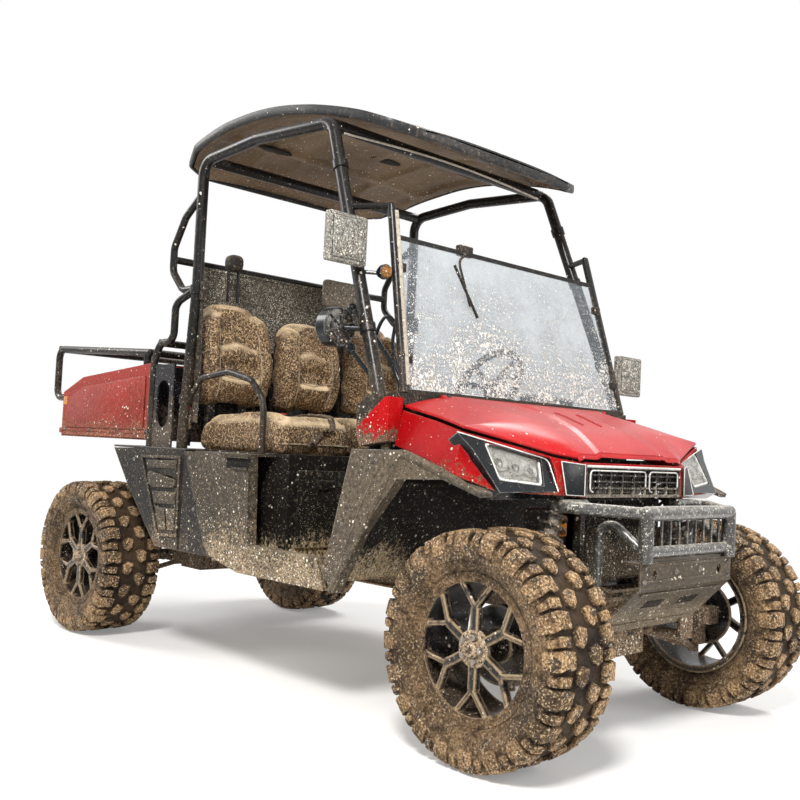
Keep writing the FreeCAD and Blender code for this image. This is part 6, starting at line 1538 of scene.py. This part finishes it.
vinyl_material, wires, shader = new_material("muddy_seat_vinyl")
seat_place = wires.node("ShaderNodeTexCoord").outputs
broad = wires.noise(seat_place["Object"], 6.0, 4.0, 0.6)
spots = wires.noise(seat_place["Object"], 80.0, 4.0, 0.7)
fine_spots = wires.noise(seat_place["Object"], 165.0, 4.0, 0.7)
cover = wires.mix(wires.span(broad, 0.35, 0.65), (0.13, 0.076, 0.036), (0.046, 0.028, 0.015))
cover = wires.mix(wires.span(spots, 0.5, 0.6), cover, (0.36, 0.24, 0.135))
cover = wires.mix(wires.span(fine_spots, 0.56, 0.64), cover, (0.7, 0.52, 0.32))
cover = wires.mix(wires.span(fine_spots, 0.48, 0.4), cover, (0.016, 0.01, 0.005))
# Upward faces are painted pale cream: partly dust, partly a painted highlight on the tops of the seats.
seat_dust_and_highlight = wires.calc("MULTIPLY", wires.span(wires.height_of(seat_place["Normal"]), 0.35, 0.95),
                    wires.span(broad, 0.35, 0.62, 0.35, 0.95))
wires.join(wires.mix(seat_dust_and_highlight, cover, (0.8, 0.62, 0.4)), shader.inputs["Base Color"])
wires.join(wires.span(spots, 0.4, 0.6, 0.58, 0.9), shader.inputs["Roughness"])
shader.inputs["Specular IOR Level"].default_value = 0.25
leather = wires.calc("MULTIPLY_ADD", wires.noise(seat_place["Object"], 620.0, 2.0), 0.25, spots)
wires.join(wires.bump(leather, 0.6, 0.003), shader.inputs["Normal"])
piping_material = dirty_finish("seat_piping", (0.36, 0.29, 0.21), 0.6, (0.5, 0.2, 0.8, 1.0, 0.2))
pad_material = dirty_finish(
    "dusty_headrest", (0.22, 0.185, 0.145), 0.8, (0.3, 0.3, 1.5, 1.9, 0.5), grain=0.4,
    dirt_colour=(0.3, 0.26, 0.21), second_colour=(0.16, 0.13, 0.1))
strap_material = dirty_finish(
    "belt_webbing", (0.03, 0.028, 0.026), 0.8, (0.5, 0.3, 0.8, 1.1, 0.35), grain=0.6, grain_scale=1400.0)
buckle_material = dirty_finish("buckle_red", (0.55, 0.06, 0.03), 0.4, (0.2, 0.1, 0.8, 1.0, 0.2))


def settled(obj):
    """The plain mesh of an object after its modifiers."""
    graph = bpy.context.evaluated_depsgraph_get()
    return bpy.data.meshes.new_from_object(obj.evaluated_get(graph), depsgraph=graph)


def blow_out(cover, reach):
    """Fills a cover with air as cloth, no point moving more than reach."""
    cloth = cover.modifiers.new("cloth", "CLOTH")
    cloth.settings.quality = 4
    cloth.settings.use_pressure = True
    cloth.settings.uniform_pressure_force = 4.0
    cloth.settings.effector_weights.gravity = 0.0
    cloth.settings.tension_stiffness = 12.0
    cloth.settings.compression_stiffness = 12.0
    cloth.point_cache.frame_start = 1
    cloth.point_cache.frame_end = PUFF_FRAMES
    for frame_number in range(1, PUFF_FRAMES + 1):
        scene.frame_set(frame_number)
    blown = settled(cover)
    for vert, blown_vert in zip(cover.data.vertices, blown.vertices):
        move = blown_vert.co - vert.co
        if move.length > reach:
            move *= reach / move.length
        vert.co = vert.co + move
    cover.modifiers.clear()
    scene.frame_set(1)


def puffed(name, shape, voxel, reach):
    """A cover over foam: the shapes are made one skin, eased and blown out."""
    foam = add_object(name + "_foam", mesh_of(name + "_foam", shape))
    skin = foam.modifiers.new("skin", "REMESH")
    skin.mode = "VOXEL"
    skin.voxel_size = voxel
    ease = foam.modifiers.new("ease", "SMOOTH")
    ease.factor = 0.5
    ease.iterations = 6
    cover = add_object(name, settled(foam))
    bpy.data.objects.remove(foam)
    blow_out(cover, reach)
    finer = cover.modifiers.new("finer", "SUBSURF")
    finer.levels = 1
    finer.render_levels = 1
    mesh = settled(cover)
    bpy.data.objects.remove(cover)
    mesh.name = name
    return mesh


def soft_piece(name, mesh, material, replaced):
    """A padded piece that stands for a CAD node."""
    cushion = piece(name, mesh, material, 180.0)
    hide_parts(replaced)


def surface_of(mesh):
    """A mesh as a surface on which points can be found."""
    faces = [list(face.vertices) for face in mesh.polygons]
    return BVHTree.FromPolygons([vert.co for vert in mesh.vertices], faces)


def add_pad(shape, outline, front_of):
    """A back pad from (y, z) corners, its front at front_of(z)."""
    corners = [(0.0, y, z) for y, z in outline]
    keep = eased(corners + corners[:2], 0.03)[6:-1]
    low = [shape.verts.new((BACK_REAR, point.y, point.z)) for point in keep]
    high = [shape.verts.new((front_of(point.z), point.y, point.z)) for point in keep]
    faces = [shape.faces.new(low), shape.faces.new(high)] + bridge(shape, low, high)
    bmesh.ops.recalc_face_normals(shape, faces=faces)
    rim = list(faces[0].edges) + list(faces[1].edges)
    bmesh.ops.bevel(shape, geom=rim, offset=0.02, segments=3, affect="EDGES", profile=0.5)


def back_front(z):
    """Where the front of a seat back lies at a height."""
    return -0.394 - 0.062 * max(0.0, min(1.0, (z - 1.0) / 0.45)) ** 1.3


def seat_back_shape(y_low, y_high, top):
    """A back: a pad with a roll up each side, one for the loins and one at the shoulders."""
    shape = bmesh.new()
    middle, half = (y_low + y_high) / 2, (y_high - y_low) / 2 - 0.014
    near_half = [(-0.92, 1.005), (-1.0, 1.1), (-1.0, 1.26), (-0.9, top - 0.075), (-0.62, top - 0.018)]
    far_half = [(-share, z) for share, z in reversed(near_half)]
    outline = near_half + [(0.0, top - 0.008)] + far_half
    add_pad(shape, [(middle + share * half, z) for share, z in outline], back_front)
    for side in (-1, 1):
        run = []
        for x, inset, z in ((-0.415, 0.05, 1.015), (-0.388, 0.034, 1.08), (-0.388, 0.036, 1.2),
                            (-0.412, 0.044, 1.32), (-0.44, 0.07, top - 0.055)):
            run.append((x, middle + side * (half - inset), z))
        roll = eased(run, 0.06)
        add_tube(shape, roll, [0.036] * (len(roll) - 1) + [0.02], 14)
    for end, centre, share, radius, sides in (((-0.405, 1.062), (-0.402, 1.066), 0.62, 0.046, 14),
                                              ((-0.44, 1.2), (-0.436, 1.22), 0.5, 0.044, 12)):
        run = [(end[0], middle - half * share, end[1]), (centre[0], middle, centre[1]),
               (end[0], middle + half * share, end[1])]
        add_tube(shape, run, radius, sides)
    return shape


def cushion_shape(spans):
    """A cushion: a plinth, a pad for each place, and rolls along the pad's sides and front."""
    shape = bmesh.new()
    low_y, high_y = spans[0][0], spans[-1][1]
    add_box(shape, (-0.412, low_y + 0.012, 0.829), (0.16, high_y - 0.012, 0.905), 0.024, None, 3)
    for y_low, y_high in spans:
        add_box(shape, (-0.405, y_low + 0.014, 0.836), (0.168, y_high - 0.014, 0.936), 0.03, None, 3)
        for y in (y_low + 0.048, y_high - 0.048):
            run = [(-0.35, y, 0.915), (-0.1, y, 0.93), (0.1, y, 0.928), (0.146, y, 0.905)]
            add_tube(shape, eased(run, 0.06), 0.034, 14)
        run = [(0.136, y_low + 0.055, 0.915), (0.138, (y_low + y_high) / 2, 0.92),
               (0.136, y_high - 0.055, 0.915)]
        add_tube(shape, run, 0.034, 14)
    return shape


def add_piping(surface, points, aim, radius=0.003):
    """Piping along points laid on a surface, found along aim."""
    laid = []
    for point in points:
        hit = surface.ray_cast(Vector(point) - Vector(aim) * 0.4, Vector(aim), 0.8)[0]
        if hit is not None:
            laid.append(hit - Vector(aim) * radius * 0.35)
    if len(laid) > 2:
        add_tube(piping_shape, laid, radius, 8)


def run_of(corners, steps):
    """Points along straight lines between corners."""
    out = []
    for first, second in zip(corners[:-1], corners[1:]):
        out += [Vector(first).lerp(Vector(second), step / steps) for step in range(steps)]
    return out + [Vector(corners[-1])]


piping_shape = bmesh.new()
cushion_surfaces = {}
for name, spans in CUSHION_SPANS.items():
    mesh = puffed("seat_cushion_" + name, cushion_shape(spans), 0.009, 0.022)
    surface = surface_of(mesh)
    cushion_surfaces[name] = surface
    soft_piece("seat_cushion_" + name, mesh, vinyl_material, "seat_cushions")
    for y_low, y_high in spans:
        low_y, high_y = y_low + 0.082, y_high - 0.082
        loop = [(-0.36, low_y, 0), (0.1, low_y, 0), (0.1, high_y, 0), (-0.36, high_y, 0)]
        add_piping(surface, run_of(loop, 16), DOWN)
        add_piping(surface, run_of([(0, y_low + 0.03, 0.862), (0, y_high - 0.03, 0.862)], 30), REARWARD)
    if name == "left":
        add_piping(surface, run_of([(-0.36, 0.2, 0), (0.14, 0.2, 0)], 24), DOWN, 0.004)
for name, y_low, y_high, top in BACK_SPANS:
    mesh = puffed("seat_back_" + name, seat_back_shape(y_low, y_high, top), 0.009, 0.02)
    surface = surface_of(mesh)
    soft_piece("seat_back_" + name, mesh, vinyl_material, "seat_backs")
    middle, half = (y_low + y_high) / 2, (y_high - y_low) / 2
    for side in (-1, 1):
        seam = []
        for share, z in ((0.5, 1.035), (0.56, 1.15), (0.52, 1.3), (0.3, top - 0.045)):
            seam.append((0, middle + side * half * share, z))
        add_piping(surface, eased(run_of(seam, 6), 0.04, 2), REARWARD)
    seam = [(0, middle - half * 0.55, 1.135), (0, middle, 1.115), (0, middle + half * 0.55, 1.135)]
    add_piping(surface, run_of(seam, 14), REARWARD)
built("seat_piping", piping_shape, piping_material, 60.0)

seat_frame = bmesh.new()
for y_low, y_high in ((-0.545, -0.23), (-0.135, 0.145), (0.255, 0.545)):
    run = [(-0.482, y_low, 0.835), (-0.486, y_low, 1.12), (-0.492, y_low + 0.03, 1.38),
           (-0.492, y_high - 0.03, 1.38), (-0.486, y_high, 1.12), (-0.482, y_high, 0.835)]
    add_tube(seat_frame, eased(run, 0.05), 0.01, 10)
    for low_y in (y_low + 0.06, y_high - 0.1):
        add_box(seat_frame, (-0.47, low_y, 0.835), (-0.448, low_y + 0.04, 1.06), 0.004)
built("seat_back_frames", seat_frame, frame_material, 60.0)
knob_shape, rest_shape, post_shape = bmesh.new(), bmesh.new(), bmesh.new()
add_box(knob_shape, (-0.488, -0.423, 1.571), (-0.418, -0.353, 1.641), 0.024, None, 4)
add_box(rest_shape, (-0.474, 0.102, 1.493), (-0.432, 0.298, 1.619), 0.016, None, 3)
knob_mesh = puffed("headrest_right", knob_shape, 0.005, 0.005)
rest_mesh = puffed("headrest_left", rest_shape, 0.006, 0.008)
soft_piece("headrest_right", knob_mesh, grip_material, "headrests")
soft_piece("headrest_left", rest_mesh, pad_material, "headrests")
for centre_y, low_z, high_z in ((-0.388, 1.44, 1.585), (0.2, 1.36, 1.51)):
    for post_y in (centre_y - 0.024, centre_y + 0.024):
        add_tube(post_shape, [(-0.453, post_y, low_z), (-0.453, post_y, high_z)], 0.007, 12)
built("headrest_posts", post_shape, cage_material, 60.0)


def add_strap(shape, points, width, across):
    """Flat webbing along points, its width along across."""
    run = eased(points, 0.05)
    rows = []
    for index, point in enumerate(run):
        along = (run[min(index + 1, len(run) - 1)] - run[max(index - 1, 0)]).normalized()
        flat = (Vector(across) - along * along.dot(Vector(across))).normalized()
        thick = along.cross(flat) * 0.0011
        row = []
        for wide, deep in ((-1, -1), (1, -1), (1, 1), (-1, 1)):
            row.append(shape.verts.new(point + flat * width / 2 * wide + thick * deep))
        rows.append(row)
    faces = [shape.faces.new(rows[0]), shape.faces.new(rows[-1])]
    for low, high in zip(rows[:-1], rows[1:]):
        faces += bridge(shape, low, high)
    bmesh.ops.recalc_face_normals(shape, faces=faces)


strap_shape, buckle_shape, stalk_shape = bmesh.new(), bmesh.new(), bmesh.new()
for side in (-1, 1):
    shoulder_belt = [(-0.372, side * 0.593, 1.44), (-0.366, side * 0.59, 1.1),
                     (-0.372, side * 0.591, 0.93)]
    add_strap(strap_shape, shoulder_belt, 0.04, (1, 0, 0.1))
lap_corners = [(-0.345, -0.235, 0.98), (-0.1, -0.26, 0.99), (0.13, -0.29, 0.99), (0.21, -0.33, 0.93),
               (0.21, -0.43, 0.855)]
lap_belt = []
for corner in run_of(lap_corners, 12):
    near, aim = cushion_surfaces["right"].find_nearest(corner)[:2]
    lap_belt.append(near + aim * 0.0035)
add_strap(strap_shape, lap_belt, 0.026, (0.25, 1, 0.25))
for reel_y in (-0.591, 0.593):
    add_box(stalk_shape, (-0.395, reel_y - 0.012, 1.415), (-0.335, reel_y + 0.012, 1.49), 0.006)
for x, y in ((-0.33, -0.19), (-0.33, -0.179), (-0.415, -0.592)):
    add_box(stalk_shape, (x - 0.016, y - 0.006, 0.9), (x + 0.016, y + 0.006, 0.985), 0.004)
    add_box(buckle_shape, (x - 0.012, y - 0.0068, 0.962), (x + 0.012, y + 0.0068, 0.989), 0.003)
add_box(buckle_shape, (-0.427, -0.599, 0.905), (-0.403, -0.585, 0.93), 0.003)
built("belt_webbing", strap_shape, strap_material, 60.0)
built("belt_reels", stalk_shape, dash_material)
built("belt_buttons", buckle_shape, buckle_material)

# Panels behind the seats: a stiff rear screen crusted with pale spray, and black quarter panels
# with an oval hole, both held by bolts to the cage.

SCREEN_FACE = -0.5545

screen_material = dirty_finish(
    "rear_screen_crust", (0.05, 0.043, 0.034), 0.7, (0.3, 0.2, 1.5, 1.9, 0.9), grain=0.4,
    grain_scale=300.0, dirt_colour=(0.34, 0.3, 0.235), second_colour=(0.025, 0.022, 0.018))
quarter_material = dirty_finish(
    "quarter_black_gloss", (0.005, 0.006, 0.01), 0.22, (0.1, 0.2, 0.8, 1.1, 0.25), coat=0.2)
dress(screen_material, "rear_screen")
dress(quarter_material, "quarter_panels")
hem_shape = bmesh.new()
for z in (1.262, 1.582):
    add_tube(hem_shape, [(SCREEN_FACE, -0.48, z), (SCREEN_FACE, 0.48, z)], 0.0062, 8)
built("rear_screen_hems", hem_shape, screen_material, 60.0)
screen_spots = [(SCREEN_FACE, y, z) for y in (-0.46, -0.155, 0.155, 0.46) for z in (1.285, 1.56)]
add_bolts("screen_bolts", [(spot, (1, 0, 0)) for spot in screen_spots], 0.005)

# Mirrors and the round lamp: moulded housings on short arms clamped to the pillars, glass to the rear.
# The lamp is a black bowl with a ring and a guard of three bars; fine mud dries pale on all of them.

LAMP_CENTRE = Vector((0.615, -0.722, 1.24))
GUARD_RADIUS = 0.06

# The housings' pale edge colour is a painted highlight along their rims.
mirror_material = dirty_finish(
    "mirror_black_plastic", (0.012, 0.012, 0.012), 0.4, (0.15, 0.45, 1.6, 1.95, 0.95), coat=0.1, edge=1.2,
    edge_colour=(0.5, 0.48, 0.42), edge_width=0.006, dirt_colour=(0.46, 0.44, 0.39))
lamp_face_material = dirty_finish(
    "round_lamp_black", (0.01, 0.01, 0.011), 0.15, (0.1, 0.2, 1.0, 1.4, 0.45), coat=0.5)
glass_material, wires, shader = new_material("mirror_glass", (0.8, 0.82, 0.83), 0.06)
shader.inputs["Metallic"].default_value = 1.0
dress(mirror_material, "mirror_right", "mirror_left")
dress(bezel_material, "round_lamp")
face_shape, glass_shape = bmesh.new(), bmesh.new()
for x, z, low_y, high_y in ((0.643, 1.52, -0.788, -0.652), (0.765, 1.2, 0.652, 0.788)):
    add_box(face_shape, (x + 0.0155, low_y, z - 0.066), (x + 0.0185, high_y, z + 0.066), 0.0028)
    glass_low, glass_high = (x - 0.018, low_y - 0.002, z - 0.07), (x - 0.0155, high_y + 0.002, z + 0.07)
    add_box(glass_shape, glass_low, glass_high, 0.001)
built("mirror_backs", face_shape, mirror_material)
built("mirror_glasses", glass_shape, glass_material)
lamp_shape, guard_shape = bmesh.new(), bmesh.new()
add_lathe_at(lamp_shape, Matrix.Translation(LAMP_CENTRE) @ FACING_AHEAD,
             [(0.0205, 0.06), (0.0225, 0.052), (0.0215, 0.03), (0.024, 0.012), (0.0245, 0.0005)], 40)
face_out(lamp_shape)
for radius in (GUARD_RADIUS, 0.036):
    ring = []
    for step in range(41):
        turn = 2 * math.pi * step / 40
        ring.append(LAMP_CENTRE + Vector((0.0235, radius * math.cos(turn), radius * math.sin(turn))))
    add_tube(guard_shape, ring, 0.0032, 8)
for angle in (20, 80, 140):
    lean = Vector((0, math.cos(math.radians(angle)), math.sin(math.radians(angle)))) * GUARD_RADIUS
    middle = LAMP_CENTRE + Vector((0.0255, 0, 0))
    add_tube(guard_shape, [middle - lean, middle + lean], 0.0026, 8)
built("round_lamp_face", lamp_shape, lamp_face_material, 60.0)
built("round_lamp_guard", guard_shape, bezel_material, 60.0)

# Cargo bed: a red plastic box that tips on a rear shaft, with pressed sides, a ribbed floor, tail lamps
# and a bottom-hinged tailgate on two latches. Dust has dulled the red, most of all low down.

bed_material = dirty_finish(
    "bed_dusty_red", (0.27, 0.02, 0.013), 0.45, (0.25, 0.7, 0.84, 1.0, 0.25), coat=0.1, edge=0.6,
    edge_colour=(0.4, 0.13, 0.09), edge_width=0.005, dirt_colour=(0.245, 0.115, 0.068),
    second_colour=(0.2, 0.022, 0.015))
tail_material = dirty_finish("tail_lamp_red", (0.45, 0.012, 0.01), 0.15, (0.2, 0.3, 0.8, 1.0, 0.3), coat=0.8)
dress(bed_material, "cargo_bed", "tailgate")
press_shape, latch_shape, tail_shape, mark_shape = (bmesh.new() for index in range(4))
bed_bolts = []
for side in (-1, 1):
    face = side * 0.64
    outline = [(-1.372, face, 0.892), (-1.372, face, 1.022), (-1.225, face, 1.076), (-0.675, face, 1.118),
               (-0.675, face, 0.892)]
    add_plate(press_shape, outline, (0, side * 0.0055, 0), 0.003)
    add_box(press_shape, (-1.405, face - 0.001, 0.856), (-0.65, face + side * 0.0035, 0.874), 0.0015)
    for shape, y, half_wide, (low_x, low_z), (high_x, high_z), bevel in (
            (latch_shape, 0.535, 0.022, (-1.44, 1.01), (-1.431, 1.036), 0.004),
            (tail_shape, 0.621, 0.014, (-1.4275, 0.915), (-1.4185, 1.005), 0.004),
            (mark_shape, 0.6395, 0.0055, (-1.408, 0.995), (-1.37, 1.035), 0.003)):
        add_box(shape, (low_x, side * y - half_wide, low_z), (high_x, side * y + half_wide, high_z), bevel)
    bed_bolts += [((x, side * 0.6405, 0.882), (0, side, 0)) for x in (-1.39, -1.15, -0.9, -0.66)]
front_shape, gate_shape = bmesh.new(), bmesh.new()
add_boxes(front_shape, 0.003, ((-0.6405, -0.632, 0.856), (-0.6345, 0.632, 1.16)),
          ((-0.635, -0.56, 0.9), (-0.6305, -0.06, 1.1)), ((-0.635, 0.06, 0.9), (-0.6305, 0.56, 1.1)))
for low_y, high_y in ((-0.565, -0.205), (-0.175, 0.175), (0.205, 0.565)):
    add_box(gate_shape, (-1.4365, low_y, 0.896), (-1.4315, high_y, 1.018), 0.004)
built("bed_front_sheet", front_shape, quarter_material, body="cargo_bed")
built("bed_pressings", press_shape, bed_material, body="cargo_bed")
add_rows("bed_floor_ribs", bed_material, "bed_red", 0.002,
         ((-1.385, -0.56, 0.8635), (-0.675, -0.535, 0.8695), 13, (0, 0.0915, 0)), body="cargo_bed")
built("tailgate_pressings", gate_shape, bed_material, body="tailgate")
built("tailgate_latches", latch_shape, cowl_material, body="tailgate")
built("tail_lamps", tail_shape, tail_material, body="cargo_bed")
built("bed_side_markers", mark_shape, amber_material, body="cargo_bed")
add_bolts("bed_bolts", bed_bolts, 0.005, "cargo_bed")

# Hand levers and cable loops by the near pillar: black tubes whose tops catch the light.
# Two levers with round knobs and one looped cable rise from the dash, bent from rod.

LEVER_Y, LOOP_Y = -0.5, -0.47

long_lever = [(0.44, 1.34), (0.502, 1.297), (0.588, 1.208), (0.666, 1.129), (0.712, 1.035)]
short_lever = [(0.441, 1.202), (0.503, 1.143), (0.581, 1.08), (0.64, 1.02)]
cable_loop = [(0.52, 1.2), (0.545, 1.28), (0.585, 1.318), (0.63, 1.283), (0.612, 1.215), (0.65, 1.12),
              (0.672, 1.02)]
lever_shape = bmesh.new()
for line, y, radius in (
        (long_lever, LEVER_Y, 0.0085), (short_lever, LEVER_Y, 0.0075), (cable_loop, LOOP_Y, 0.006)):
    add_tube(lever_shape, eased([(x, y, z) for x, z in line], 0.05), radius, 10)
for x, z in (long_lever[0], short_lever[0]):
    bmesh.ops.create_uvsphere(lever_shape, u_segments=16, v_segments=10, radius=0.019,
                              matrix=Matrix.Translation((x, LEVER_Y, z)))
built("hand_levers", lever_shape, bezel_material, 60.0)
